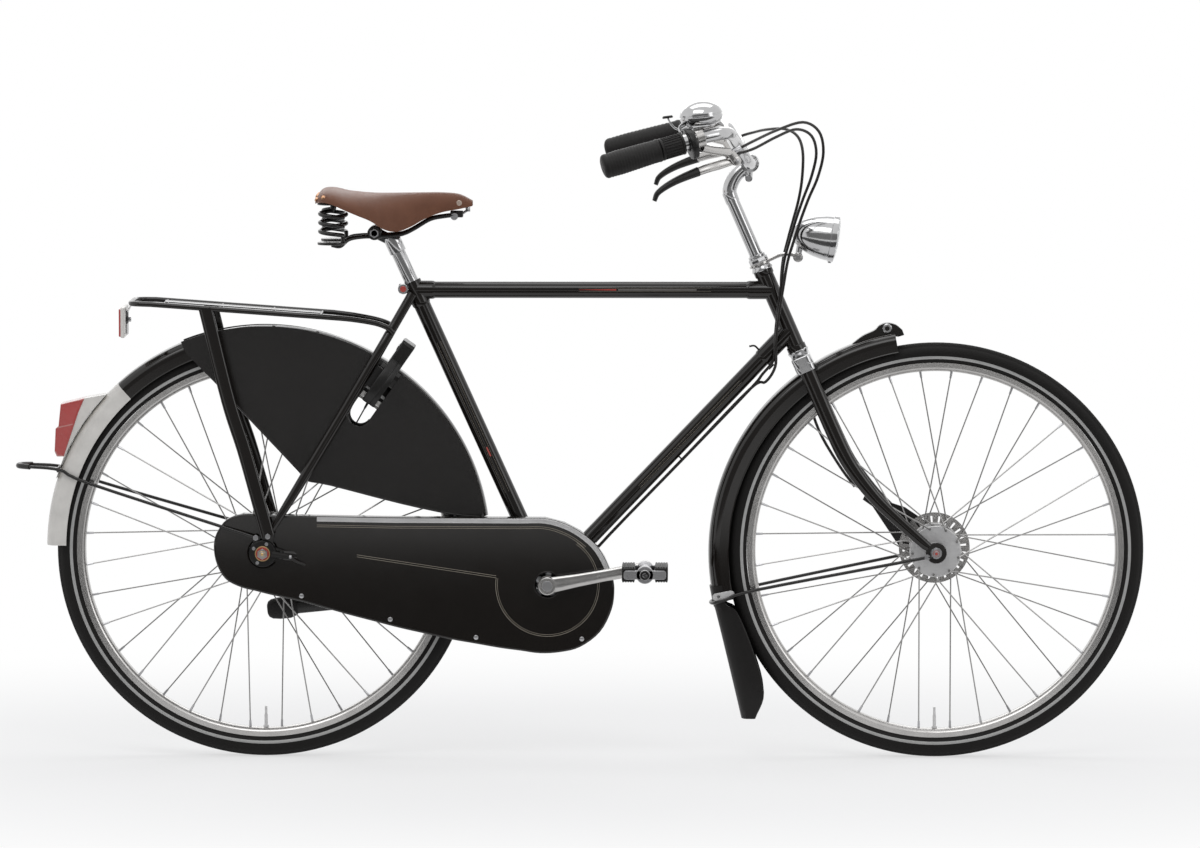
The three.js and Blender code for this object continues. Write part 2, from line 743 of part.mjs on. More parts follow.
function bladeBody(side) {
  const points = smoothed(bladePoints(side), blade.steps);
  const high = evenly(
    [blade.halfHighTop, blade.halfHighTop, blade.halfHighEnd * 1.4, blade.halfHighEnd], blade.steps,
  );
  const wide = evenly(
    [blade.halfWideTop, blade.halfWideTop, blade.halfWideEnd * 1.3, blade.halfWideEnd], blade.steps,
  );
  return ovalPipe(points, high, wide, blade.sides);
}

function forkBody() {
  const ends = sidesOf.map((side) => {
    const inner = side * fork.halfSpacing;
    const outer = side * (fork.halfSpacing + fork.endThick);
    return rod(at(fork.rake, inner, -fork.drop), at(fork.rake, outer, -fork.drop), fork.endRadius, 16);
  });
  const crownBody = slab(
    roundedOutline(crown.halfLong, crown.halfWide, crown.round), -crown.bottom, -crown.top, 2,
  );
  const reach = fork.halfSpacing + fork.endThick + overrun;
  return cut(
    joined(
      rod(at(0, 0, -crown.bottom + overrun), at(0, 0, steerer.top), steerer.radius, head.sides),
      crownBody,
      sidesOf.map((side) => bladeBody(side)),
      ends,
    ),
    rod(at(0, 0, steerer.top - steerer.boreDepth), at(0, 0, steerer.top + overrun), steerer.bore, head.sides),
    rod(
      at(fork.rake, -reach, -fork.drop), at(fork.rake, reach, -fork.drop), axle.radius + axle.clearance,
      12,
    ),
  );
}

const cover = { wall: 1.5, skirt: 112, mudguardHalf: 30.5, mudguardTop: 100.3 };

function crownCoverBody() {
  const inner = [crown.halfLong + 2 * gap, crown.halfWide + blade.halfWideTop / 2, crown.round + gap];
  const outer = inner.map((size) => size + cover.wall);
  const top = -crown.top + gap + cover.wall;
  return cut(
    slab(roundedOutline(...outer), -cover.skirt, top, 2),
    slab(roundedOutline(...inner), -cover.skirt - overrun, -crown.top + gap, 2),
    box(
      -outer[1], outer[1], -cover.mudguardHalf, cover.mudguardHalf, -cover.skirt - overrun,
      -cover.mudguardTop,
    ),
    rod(at(0, 0, -crown.bottom), at(0, 0, top + overrun), steerer.radius + gap, head.sides),
  );
}

add("fork", forkBody(), blackPaint, steering);
add("fork_crown_cover", crownCoverBody(), chrome, steering);

// Stem and handlebar

const stem = {
  quill: 11.1,
  start: 30,
  top: 222,
  neck: 12,
  clampForward: 53,
  clampUp: 252,
  clampRadius: 16,
  clampHalf: 18,
  lugBack: 12,
  lugDrop: 23,
  lugRadius: 6,
  lugHalf: 12,
  wedgeBolt: 5,
};
const stemForwardShares = [0, 0.07, 0.42, 0.85];
const stemUpShares = [0, 0.35, 0.75, 0.95];
const bar = {
  radius: 11.1, clampRadius: 12.7, clampHalf: 24, half: 297, reach: 220.5, rise: 104.9, sides: 8,
  steps: 22,
};
const barOutShares = [1, 0.844, 0.791, 0.68, 0.53, 0.32, 0.2, 0.081, 0];
const barBackShares = [1, 0.227, 0.11, 0.051, 0.038, 0.025, 0.014, 0, 0];
const barUpShares = [1, 0.785, 0.725, 0.655, 0.532, 0.276, 0.095, 0, 0];

function barPoint(side, index) {
  return at(
    stem.clampForward - barBackShares[index] * bar.reach,
    side * barOutShares[index] * bar.half,
    stem.clampUp + barUpShares[index] * bar.rise,
  );
}

function handlebarBody() {
  const inner = barOutShares.map((_, i) => i).slice(1);
  const bend = [
    ...inner.map((i) => barPoint(-1, i)),
    ...inner.slice(0, -1).reverse().map((i) => barPoint(1, i)),
  ];
  const points = [barPoint(-1, 0), ...smoothed(bend, bar.steps), barPoint(1, 0)];
  const centre = barPoint(1, barOutShares.length - 1);
  return joined(
    tubeThrough(points, bar.radius, bar.sides),
    across(centre, -bar.clampHalf, bar.clampHalf, bar.clampRadius, bar.sides * 2),
  );
}

function stemBody() {
  const centre = at(stem.clampForward, 0, stem.clampUp);
  const neckStart = at(0, 0, stem.top - stem.neck);
  const neck = stemForwardShares.map((share, i) =>
    at(
      share * stem.clampForward,
      0,
      THREE.MathUtils.lerp(neckStart.z, stem.clampUp, stemUpShares[i]),
    ),
  );
  const lug = at(stem.clampForward - stem.lugBack, 0, stem.clampUp - stem.lugDrop);
  return cut(
    joined(
      rod(at(0, 0, stem.start), at(0, 0, stem.top), stem.quill, 12),
      rod(at(0, 0, stem.top - overrun), at(0, 0, stem.top + stem.wedgeBolt), stem.wedgeBolt, 8),
      tubeThrough(neck, stem.neck, 10),
      across(centre, -stem.clampHalf, stem.clampHalf, stem.clampRadius, 16),
      across(lug, -stem.lugHalf, stem.lugHalf, stem.lugRadius, 8),
      rod(lug, centre, stem.lugRadius, 6),
    ),
    boreAcross(centre, -stem.clampHalf - overrun, stem.clampHalf + overrun, bar.clampRadius, 20),
  );
}

add("stem", stemBody(), chrome, steering);
add("handlebar", handlebarBody(), chrome, steering);

// Grips, twist shifter, bell and brake levers, each in a frame that runs in along the grip

const grip = { length: 99, leftLength: 139, cap: 4, halfHigh: 20.5, halfWide: 17, sides: 12 };
const gripStationShares = [0, 0.04, 0.3, 0.65, 1];
const gripSizeShares = [0.78, 1, 1.03, 0.98, 0.9];
const sleeve = { start: 99.4, end: 139.6, radius: 17.5, collar: 19, collarLength: 4 };
const shifter = { start: 148, end: 159.4, radius: 26, drop: 5, tube: 4.5 };
const bracket = {
  start: 162, end: 176, radius: 16.5, halfHigh: 8, halfWide: 9, slotHalf: 5.2, slotRadius: 14.5,
};
const lever = {
  knuckle: 8.5, knuckleHalf: 4.4, pin: 2.5, pinHalf: 10, halfThick: 4, halfWide: 7, reach: 158,
};
const strapRing = { start: 140.2, end: 147.4, radius: 14.6 };

// Places in the grip frame, as shares of the reach of the lever: in along the grip, inward, up
const leverPivotShares = [1.44, 0.235, -0.344];
const leverPathShares = [
  [0, 0, 0],
  [-0.19, -0.05, 0.01],
  [-0.4, -0.11, 0.03],
  [-0.75, -0.146, 0.039],
  [-0.94, -0.141, -0.032],
  [-1, -0.123, -0.152],
];
const leverWidthShares = [0.58, 0.58, 0.95, 1, 1, 0.85];
const bracketArmShares = [
  [1.07, 0.02, -0.1],
  [1.18, 0.08, -0.155],
  [1.39, 0.2, -0.245],
  [1.44, 0.235, -0.344],
];
const brakeBossShares = [
  [1.434, 0.231, -0.249],
  [1.54, 0.249, -0.232],
];
const shiftTubeShares = [
  [0.99, 0.15, -0.05],
  [1.5, 0.372, -0.266],
];

function gripFrame(side) {
  const group = new THREE.Group();
  const along = barPoint(side, 1).sub(barPoint(side, 0)).normalize();
  const left = at(0, 1, 0).addScaledVector(along, -along.y).normalize();
  group.quaternion.setFromRotationMatrix(
    new THREE.Matrix4().makeBasis(along, left, along.clone().cross(left)),
  );
  group.position.copy(barPoint(side, 0));
  steering.add(group);
  return group;
}

const inGrip = (side, [along, inward, up], scale = 1) => at(
  along * scale, -side * inward * scale, up * scale,
);

function barBore(from, to) {
  return boreRod(at(from, 0, 0), at(to, 0, 0), bar.radius, 12);
}

function gripBody(length) {
  const points = gripStationShares.map((share) => at(-grip.cap + share * (length + grip.cap), 0, 0));
  const high = gripSizeShares.map((share) => share * grip.halfHigh);
  const wide = gripSizeShares.map((share) => share * grip.halfWide);
  return cut(ovalPipe(points, high, wide, grip.sides), barBore(-gap, length + overrun));
}

function sleeveBody() {
  const collars = [
    [sleeve.start, sleeve.start + sleeve.collarLength],
    [sleeve.end - sleeve.collarLength, sleeve.end],
  ];
  return cut(
    joined(
      rod(at(sleeve.start, 0, 0), at(sleeve.end, 0, 0), sleeve.radius, grip.sides),
      collars.map(([a, b]) => rod(at(a, 0, 0), at(b, 0, 0), sleeve.collar, grip.sides)),
    ),
    barBore(sleeve.start - overrun, sleeve.end + overrun),
  );
}

function shifterBody() {
  const [start, end] = shiftTubeShares.map((share) => inGrip(-1, share, lever.reach));
  return cut(
    joined(
      rod(at(shifter.start, 0, -shifter.drop), at(shifter.end, 0, -shifter.drop), shifter.radius, 16),
      rod(start, end, shifter.tube, 8),
    ),
    barBore(shifter.start - overrun, shifter.end + overrun),
  );
}

function leverAxis(side) {
  const [pivot, , , mid] = leverPathShares.map((share) => inGrip(side, share, lever.reach));
  const place = inGrip(side, leverPivotShares, lever.reach).add(mid);
  const along = mid.clone().sub(pivot).normalize();
  const toBar = at(place.x, 0, 0).sub(place).normalize();
  return along.cross(toBar).multiplyScalar(-side).normalize();
}

function leverBody(side) {
  const pivot = inGrip(side, leverPivotShares, lever.reach);
  const axis = leverAxis(side);
  const end = (length) => pivot.clone().addScaledVector(axis, length);
  const path = leverPathShares.map((share) => inGrip(side, share, lever.reach).add(pivot));
  const thick = evenly([lever.halfThick, lever.halfThick * 1.1, lever.halfThick * 0.8], path.length - 1);
  const wide = leverWidthShares.map((share) => share * lever.halfWide);
  return cut(
    joined(
      rod(end(-lever.knuckleHalf), end(lever.knuckleHalf), lever.knuckle, 12),
      ovalPipe(path, thick, wide, 8),
    ),
    boreRod(end(-lever.pinHalf), end(lever.pinHalf), lever.pin, 12),
  );
}

function bracketBody(side) {
  const pivot = inGrip(side, leverPivotShares, lever.reach);
  const axis = leverAxis(side);
  const end = (length) => pivot.clone().addScaledVector(axis, length);
  const arm = bracketArmShares.map((share) => inGrip(side, share, lever.reach));
  const [bossStart, bossEnd] = brakeBossShares.map((share) => inGrip(side, share, lever.reach));
  const sizes = arm.map(() => bracket.halfHigh);
  const solidPart = joined(
    rod(at(bracket.start, 0, 0), at(bracket.end, 0, 0), bracket.radius, 10),
    ovalPipe(arm, sizes, arm.map(() => bracket.halfWide), 6),
    rod(end(-bracket.halfWide), end(bracket.halfWide), bracket.halfHigh, 10),
    rod(bossStart, bossEnd, shifter.tube, 6),
  );
  const opened = cut(
    solidPart,
    rod(end(-bracket.slotHalf), end(bracket.slotHalf), bracket.slotRadius, 10),
    barBore(bracket.start - overrun, bracket.end + overrun),
  );
  return joined(opened, rod(end(-lever.pinHalf), end(lever.pinHalf), lever.pin, 6));
}

// Bell: a domed top over a tapered base, held over the grip end by a strap, with a thumb lever
const bell = {
  radius: 36, height: 25.5, depth: 18, seam: 1.5, tilt: 8.5, pin: 2.2, pinDrop: 5, pinOut: 22, knob: 9,
  knobThick: 4, stalk: 2.6,
};
const bellStalkShares = [
  [0.1, 0.36],
  [0.25, 0.72],
];
const bellPlaceShares = [1.197, 0.151, 0.218];
const bellLeverOutShares = [1.2, 1.45, 1.6];
const bellLeverUpShares = [-0.7, -0.35, 0.1];
const bellProfileShares = [
  [0, -0.5],
  [0.45, -0.5],
  [0.94, -0.17],
  [1, -0.04],
  [0.97, 0],
  [1, 0.04],
  [0.92, 0.28],
  [0.67, 0.53],
  [0.33, 0.67],
  [0, 0.71],
];

function bellFrame() {
  const up = at(sin(bell.tilt), 0, cos(bell.tilt));
  const centre = inGrip(-1, bellPlaceShares, lever.reach);
  const back = at(-cos(bell.tilt), 0, sin(bell.tilt));
  const place = (out, rise) => centre.clone().addScaledVector(back, out).addScaledVector(up, rise);
  return { up, centre, place };
}

function bellBody() {
  const { up, centre, place } = bellFrame();
  const profile = bellProfileShares.map(([r, h]) => [r * bell.radius, h * bell.radius]);
  const middle = (strapRing.start + strapRing.end) / 2;
  const stalk = bellStalkShares.map(
    ([inward, up]) => inGrip(-1, [middle, inward * bell.radius, up * bell.radius]),
  );
  stalk.push(place(bell.radius / 2, -bell.depth / 3));
  return joined(
    lathed(profile, centre, up, 16),
    cut(
      rod(at(strapRing.start, 0, 0), at(strapRing.end, 0, 0), strapRing.radius, 12),
      barBore(strapRing.start - overrun, strapRing.end + overrun),
    ),
    tubeThrough(stalk, bell.stalk, 6),
    rod(place(bell.pinOut, -bell.depth / 2), place(bell.pinOut, -bell.depth - bell.pinDrop), bell.pin, 8),
  );
}

function bellLeverBody() {
  const { up, place } = bellFrame();
  const low = -bell.depth - bell.pinDrop;
  const pivot = place(bell.pinOut, low);
  const top = place(bell.pinOut, low + bell.pinDrop - gap * 2);
  const path = bellLeverOutShares.map(
    (share, i) => place(share * bell.radius, bellLeverUpShares[i] * bell.radius),
  );
  const middle = place(bell.pinOut, low + bell.pinDrop / 2);
  const knobCentre = path[path.length - 1];
  const knobEnd = knobCentre.clone().addScaledVector(up, bell.knobThick);
  return cut(
    joined(
      rod(pivot, top, bell.pin * 2.4, 10),
      tubeThrough([middle, ...path], bell.pin * 0.9, 6),
      rod(knobCentre, knobEnd, bell.knob, 10, bell.knob * 0.8),
    ),
    boreRod(
      place(bell.pinOut, low - overrun), place(bell.pinOut, low + bell.pinDrop + overrun), bell.pin, 10,
    ),
  );
}

const hands = [gripFrame(-1), gripFrame(1)];
add("grip_right", gripBody(grip.length), rubber, hands[0]);
add("grip_left", gripBody(grip.leftLength), rubber, hands[1]);
add("twist_sleeve", sleeveBody(), rubber, hands[0]);
add("shifter_housing", shifterBody(), blackPlastic, hands[0]);
add("bell", bellBody(), chrome, hands[0]);
add("bell_lever", bellLeverBody(), chrome, hands[0]);
for (const [name, side, hand] of [["right", -1, hands[0]], ["left", 1, hands[1]]]) {
  add(`brake_bracket_${name}`, bracketBody(side), alloy, hand);
  add(`brake_lever_${name}`, leverBody(side), blackPlastic, hand);
}

// Headlamp on its bracket, which the headset locknut holds

const lamp = {
  radius: 40.3,
  length: 75,
  backForward: 73.6,
  backUp: 114,
  fall: 32.9,
  recess: 5,
  lensRadius: 37.7,
  lensBulge: 5,
  lug: 5.5,
};
const lampPivot = {
  forward: 64.3, up: 71.2, barrel: 8.6, barrelHalf: 6, ear: 7, earHalf: 10, slot: 12, pin: 2.8,
  pinHalf: 13,
};
const lampStrap = {
  ring: 19, ringBottom: 84.6, ringTop: 88.6, nut: 16.5, nutTop: 103.5, halfThick: 2, halfWide: 10,
};
const lampProfileShares = [
  [0, 0],
  [0.2, 0],
  [0.42, 0.07],
  [0.66, 0.24],
  [0.86, 0.5],
  [0.96, 0.8],
  [1, 0.95],
  [1, 1],
];

function lampLine() {
  return {
    origin: at(lamp.backForward, 0, lamp.backUp),
    direction: at(cos(lamp.fall), 0, -sin(lamp.fall)),
  };
}

function headlampBody() {
  const { origin, direction } = lampLine();
  const front = lampProfileShares.map(([r, d]) => [r * lamp.radius, d * lamp.length]);
  const floor = lamp.length - lamp.recess;
  const profile = [
    ...front, [lamp.lensRadius + gap, lamp.length], [lamp.lensRadius + gap, floor], [0, floor],
  ];
  const pivot = at(lampPivot.forward, 0, lampPivot.up);
  const root = origin.clone().addScaledVector(direction, pivot.clone().sub(origin).dot(direction));
  return cut(
    joined(
      lathed(profile, origin, direction, 16),
      rod(pivot, root, lamp.lug, 6),
      across(pivot, -lampPivot.barrelHalf, lampPivot.barrelHalf, lampPivot.barrel, 12),
    ),
    boreAcross(pivot, -lampPivot.earHalf, lampPivot.earHalf, lampPivot.pin, 12),
  );
}

function headlampLensBody() {
  const { origin, direction } = lampLine();
  const floor = lamp.length - lamp.recess + gap;
  const profile = [
    [0, floor],
    [lamp.lensRadius, floor],
    [lamp.lensRadius, lamp.length],
    [lamp.lensRadius * 0.75, lamp.length + lamp.lensBulge * 0.6],
    [lamp.lensRadius * 0.4, lamp.length + lamp.lensBulge * 0.9],
    [0, lamp.length + lamp.lensBulge],
  ];
  return lathed(profile, origin, direction, 16);
}

function headlampBracketBody() {
  const pivot = at(lampPivot.forward, 0, lampPivot.up);
  const middle = (lampStrap.ringBottom + lampStrap.ringTop) / 2;
  const path = [
    at(lampStrap.nut * 0.9, 0, middle),
    at(pivot.x * 0.6, 0, middle),
    at(pivot.x * 0.84, 0, (middle + pivot.z) / 2 + lampStrap.halfThick),
    pivot,
  ];
  const opened = cut(
    joined(
      rod(at(0, 0, lampStrap.ringBottom), at(0, 0, lampStrap.ringTop), lampStrap.ring, 16),
      rod(at(0, 0, lampStrap.ringTop - gap), at(0, 0, lampStrap.nutTop), lampStrap.nut, 8),
      strap(path, lampStrap.halfThick, lampStrap.halfWide),
      across(pivot, -lampPivot.earHalf, lampPivot.earHalf, lampPivot.ear, 10),
    ),
    boreRod(at(0, 0, 0), at(0, 0, steerer.top + overrun), steerer.radius, head.sides),
    across(pivot, -lampPivot.barrelHalf - gap, lampPivot.barrelHalf + gap, lampPivot.slot, 12),
  );
  return joined(opened, across(pivot, -lampPivot.pinHalf, lampPivot.pinHalf, lampPivot.pin, 8));
}

add("headlamp", headlampBody(), chrome, steering);
add("headlamp_lens", headlampLensBody(), clearLens, steering);
add("headlamp_bracket", headlampBracketBody(), blackPaint, steering);

// Mudguards, their stays, the flap and the lamps and reflector at the back

const onCentre = (centre, scale, shares) =>
  shares.map(([x, y, z]) => at(centre.x + scale * x, scale * y, centre.z + scale * z));
const bothSides = (points) => [
  ...points,
  ...points
    .filter((p) => p.y !== 0)
    .reverse()
    .map((p) => at(p.x, -p.y, p.z)),
];

const guardWidthShares = [1, 0.93, 0.56, 0];
const guardDropShares = [1, 0.52, 0.12, 0];
const crestHalfThick = 4;
const crestAngles = [112, 108, 104, 101, 98.6, 97.8, 99.6, 101.5];
const crestRiseShares = [0.996, 1.006, 1.021, 1.026, 1.012, 1.001, 0.99, 0.992];

function guardSection(inset) {
  const half = guardWidthShares.map((w, i) => [
    guard.halfWidth * w - inset * Math.sign(w),
    -guard.depth * guardDropShares[i] - (guardDropShares[i] < 1 ? inset : 0),
  ]);
  return [...half, ...half.slice(0, -1).reverse().map(([w, d]) => [-w, d])];
}

function guardCentre(wheelCentre, size) {
  return at(wheelCentre.x + size.shiftX, 0, wheelCentre.z + size.shiftZ);
}

function guardRing(centre, radius, section, turn) {
  return section.map(
    ([y, d]) => at(centre.x + (radius + d) * cos(turn), y, centre.z + (radius + d) * sin(turn)),
  );
}

function guardBody(wheelCentre, size) {
  const centre = guardCentre(wheelCentre, size);
  const section = [...guardSection(0), ...guardSection(guard.thick).reverse()];
  const rings = Array.from({ length: size.steps + 1 }, (_, i) =>
    guardRing(centre, size.radius, section, THREE.MathUtils.lerp(size.start, size.end, i / size.steps)),
  );
  return skin(rings);
}

function crestBody() {
  const centre = guardCentre(frontAxle, frontGuard);
  const points = crestAngles.map((turn, i) => {
    const r = frontGuard.radius * crestRiseShares[i];
    return [centre.x + r * cos(turn), centre.z + r * sin(turn)];
  });
  return plate(outline(points), -crestHalfThick, crestHalfThick);
}

const frontStayShares = [
  [-0.0402, -0.1543, -0.0169],
  [-0.0791, -0.152, -0.0259],
  [-0.7925, -0.0934, -0.1699],
  [-0.9274, -0.0868, -0.214],
  [-0.9663, -0.0845, -0.227],
  [-0.9905, -0.0571, -0.2338],
  [-0.9994, 0, -0.2361],
];
const stayPad = { back: 4.9, halfWide: 29.5, halfThick: 1.2, halfHigh: 4, sleeve: 4.7 };

function rearStayBody() {
  const points = onCentre(rearAxle, rearGuard.radius, rearStayShares);
  const path = bothSides(points);
  const crossing = points[2];
  const sleeve = path.filter((p) => p.x < crossing.x - guard.halfWidth / 2);
  const padX = crossing.x - stayPad.back;
  return joined(
    tubeThrough(path, guard.stay, guard.staySides),
    tubeThrough(sleeve, stayPad.sleeve, 8),
    box(padX - stayPad.halfThick, padX + stayPad.halfThick, -stayPad.halfWide, stayPad.halfWide,
      crossing.z - stayPad.halfHigh, crossing.z + stayPad.halfHigh),
  );
}

// Flap: two rings lapped over the end of the front mudguard, then rings at falling heights.
// Each row is forward and up as shares of the mudguard's radius, depth and half width as shares of its width
const flap = { thick: 2, lapFrom: 188.6, lapTo: 193.6 };
const flapRowShares = [
  [-0.9779, -0.2724, 1.3, 1.12],
  [-0.9377, -0.4345, 1.704, 1.222],
  [-0.8911, -0.6291, 1.778, 1.333],
  [-0.8625, -0.751, 0.815, 1.111],
];
const flapWideShares = [1, 0.98, 0.55, 0];
const flapDeepShares = [1, 0.35, 0.03, 0];

function flapBody() {
  const lap = [flap.lapFrom, flap.lapTo].map((turn) => {
    const section = [...guardSection(-gap - flap.thick), ...guardSection(-gap).reverse()];
    return guardRing(guardCentre(frontAxle, frontGuard), frontGuard.radius, section, turn);
  });
  const side = ([forward, up, deepShare, wideShare], inset) => {
    const [x, z] = [frontAxle.x + forward * frontGuard.radius, frontAxle.z + up * frontGuard.radius];
    const half = flapWideShares.map((w, i) =>
      at(
        x + deepShare * guard.halfWidth * flapDeepShares[i] + (i === 0 ? 0 : inset),
        w * wideShare * guard.halfWidth - inset * Math.sign(w),
        z,
      ),
    );
    return [...half, ...half.slice(0, -1).reverse().map((p) => at(p.x, -p.y, p.z))];
  };
  const rows = flapRowShares.map((row) => [...side(row, 0), ...side(row, flap.thick).reverse()]);
  return skin([...lap, ...rows]);
}

const tailLampHalf = 28;
const tailLampShares = [
  [-0.9135, 0, 0.6592],
  [-0.806, 0, 0.6855],
  [-0.751, 0, 0.6356],
  [-0.8742, 0, 0.4233],
  [-0.9318, 0, 0.4233],
  [-0.9423, 0, 0.4469],
  [-0.9371, 0, 0.5491],
  [-0.924, 0, 0.5596],
];

function tailLampBody() {
  const points = onCentre(rearAxle, rearGuard.radius, tailLampShares).map((p) => [p.x, p.z]);
  const centre = guardCentre(rearAxle, rearGuard);
  return cut(
    plate(outline(points), -tailLampHalf, tailLampHalf),
    across(centre, -tailLampHalf - overrun, tailLampHalf + overrun, (rearGuard.radius + gap) / cos(2), 90),
  );
}

add("front_mudguard", joined(guardBody(frontAxle, frontGuard), crestBody()), blackPaint);
add("front_mudflap", flapBody(), rubber);
add("front_mudguard_stay", tubeThrough(bothSides(onCentre(frontAxle, frontGuard.radius, frontStayShares)),
  guard.stay, guard.staySides), steel);
add("rear_mudguard", guardBody(rearAxle, rearGuard), blackPaint);
add("rear_mudguard_stay", rearStayBody(), steel);
add("tail_lamp", tailLampBody(), redLens);

// Saddle: a leather top over two coil springs, a wire frame and the clamp on the seat post

const saddle = { length: 265, leather: 4.5, high: 72, halfWidth: 105, rise: 64 };
const saddleUp = seatTubeLength + saddle.rise;
const saddleBase = seatPoint(saddleUp);
const saddleSectionPower = 0.77;
// Each row: place along, top, skirt and half width, in the same units as the saddle base
const saddleStationShares = [
  0, 0.038, 0.106, 0.197, 0.279, 0.362, 0.445, 0.525, 0.611, 0.702, 0.808, 0.902, 0.974,
];
const saddleTopShares = [
  0.79, 0.97, 0.993, 0.917, 0.875, 0.847, 0.847, 0.847, 0.854, 0.861, 0.861, 0.833, 0.722,
];
const saddleSkirtShares = [
  0.667, 0.708, 0.681, 0.542, 0.417, 0.278, 0.069, 0.007, 0.111, 0.292, 0.438, 0.514, 0.583,
];
const saddleWidthShares = [0.55, 0.76, 0.924, 0.99, 1, 0.895, 0.714, 0.552, 0.41, 0.295, 0.229, 0.2, 0.143];
const saddleFoot = { back: 135, rise: 30 };

function saddlePlace(along, up) {
  return [
    saddleBase.x - saddleFoot.back + along * saddle.length,
    saddleBase.z + saddleFoot.rise + up * saddle.high,
  ];
}

function saddleRing(i, inset, count, drop) {
  const [x, top] = saddlePlace(saddleStationShares[i], saddleTopShares[i]);
  const [, skirt] = saddlePlace(0, saddleSkirtShares[i]);
  const wide = saddleWidthShares[i] * saddle.halfWidth - inset;
  const high = top - skirt - inset + drop;
  return Array.from({ length: count + 1 }, (_, k) => {
    const turn = -90 + (180 * k) / count;
    const s = Math.sign(turn) * Math.abs(sin(turn)) ** saddleSectionPower;
    const c = Math.abs(cos(turn)) ** saddleSectionPower;
    return at(x, wide * s, skirt - drop + high * c);
  });
}

function leatherBody() {
  const last = saddleStationShares.length - 1;
  const outer = saddleStationShares.map((_, i) => saddleRing(i, 0, 10, 0));
  const inner = saddleStationShares
    .map((_, i) => i)
    .slice(1, last)
    .map((i) => saddleRing(i, saddle.leather, 8, overrun));
  const open = inner[0].map((p) => at(outer[0][0].x - overrun, p.y, p.z));
  return cut(skin(outer), skin([open, ...inner]));
}

const coil = {
  wire: 3.6, radius: 19.5, pitch: 15, halfSpread: 55, back: 107.5, bottom: 12.8, top: 75.7, perTurn: 8,
  sides: 5,
};

function springPoints(side) {
  const foot = at(saddleBase.x - coil.back, side * coil.halfSpread, saddleBase.z);
  const lead = coil.wire * 3;
  const low = coil.bottom + lead;
  const high = coil.top - lead;
  const turns = (high - low) / coil.pitch;
  const steps = Math.round(turns * coil.perTurn);
  const bend = Array.from({ length: steps + 1 }, (_, i) => {
    const turn = (360 * turns * i) / steps;
    return at(
      foot.x + coil.radius * cos(turn), foot.y + side * coil.radius * sin(turn),
      foot.z + low + ((high - low) * i) / steps,
    );
  });
  const first = bend[0];
  const last = bend[steps];
  return [
    at(first.x, first.y, foot.z + coil.bottom),
    at(first.x, first.y, foot.z + coil.bottom + coil.wire * 2),
    ...bend,
    at(last.x, last.y, foot.z + coil.top - coil.wire * 2),
    at(last.x, last.y, foot.z + coil.top),
  ];
}

function leastGap(points, radius, apart) {
  let least = Infinity;
  for (let i = 0; i < points.length; i += 1) {
    for (let k = i + apart; k < points.length; k += 1) {
      least = Math.min(least, points[i].distanceTo(points[k]) - 2 * radius);
    }
  }
  return least;
}

const railShares = [
  [-0.4049, -0.2075, 0.0275],
  [-0.3502, -0.1887, 0.02],
  [-0.2974, -0.1547, 0.0615],
  [-0.2181, -0.1019, 0.0747],
  [-0.1389, -0.083, 0.0766],
  [-0.003, -0.0792, 0.0842],
  [0.0611, -0.0717, 0.0974],
  [0.1253, -0.0604, 0.1294],
  [0.2234, -0.0453, 0.186],
  [0.3177, -0.0358, 0.2049],
  [0.3932, -0.0321, 0.2125],
];
const saddleWire = { radius: 3.5, sides: 6 };
const saddleSeat = { radius: 24, thick: 4.5, topThick: 3 };
const saddleClamp = {
  radius: 12, half: 27, back: 36, up: 26, sleeve: 16.5, sleeveLength: 30, postRise: 15, bolt: 7,
  boltHalf: 31,
};
const saddleNose = { back: 250, front: 226, halfWide: 11, low: 51, high: 64.5 };
const cantle = { halfLong: 14, rise: 19 };

function saddleFrameBody() {
  const rails = sidesOf.map((side) => {
    const points = onCentre(saddleBase, saddle.length, railShares).map((p) => at(p.x, -side * p.y, p.z));
    return tubeThrough(points, saddleWire.radius, saddleWire.sides);
  });
  const seats = sidesOf.map((side) => {
    const centre = at(saddleBase.x - coil.back, side * coil.halfSpread, saddleBase.z + coil.bottom - gap);
    return rod(centre.clone().add(at(0, 0, -saddleSeat.thick)), centre, saddleSeat.radius, 10);
  });
  const centre = at(saddleBase.x - saddleClamp.back, 0, saddleBase.z + saddleClamp.up);
  const sleeveTop = seatPoint(saddleUp + saddleClamp.sleeveLength * 0.7);
  const sleeveLow = seatPoint(saddleUp - saddleClamp.sleeveLength * 0.3);
  const nose = railShares[railShares.length - 1];
  const noseX = saddleBase.x + nose[0] * saddle.length;
  const noseZ = saddleBase.z + nose[2] * saddle.length;
  return cut(
    joined(
      rails,
      seats,
      across(centre, -saddleClamp.half, saddleClamp.half, saddleClamp.radius, 12),
      across(centre, -saddleClamp.boltHalf, saddleClamp.boltHalf, saddleClamp.bolt, 6),
      rod(sleeveLow, sleeveTop, saddleClamp.sleeve, 12),
      rod(centre, seatPoint(saddleUp + saddleClamp.sleeveLength * 0.4), saddleClamp.radius * 0.8, 8),
      box(noseX - saddleNose.halfWide, noseX + saddleNose.halfWide, -saddleNose.halfWide, saddleNose.halfWide,
        noseZ - saddleWire.radius * 1.2, noseZ + saddleWire.radius * 2),
    ),
    boreRod(
      seatPoint(saddleUp - saddleClamp.sleeveLength), seatPoint(saddleUp + saddleClamp.postRise),
      seatPostSize.radius,
    ),
  );
}

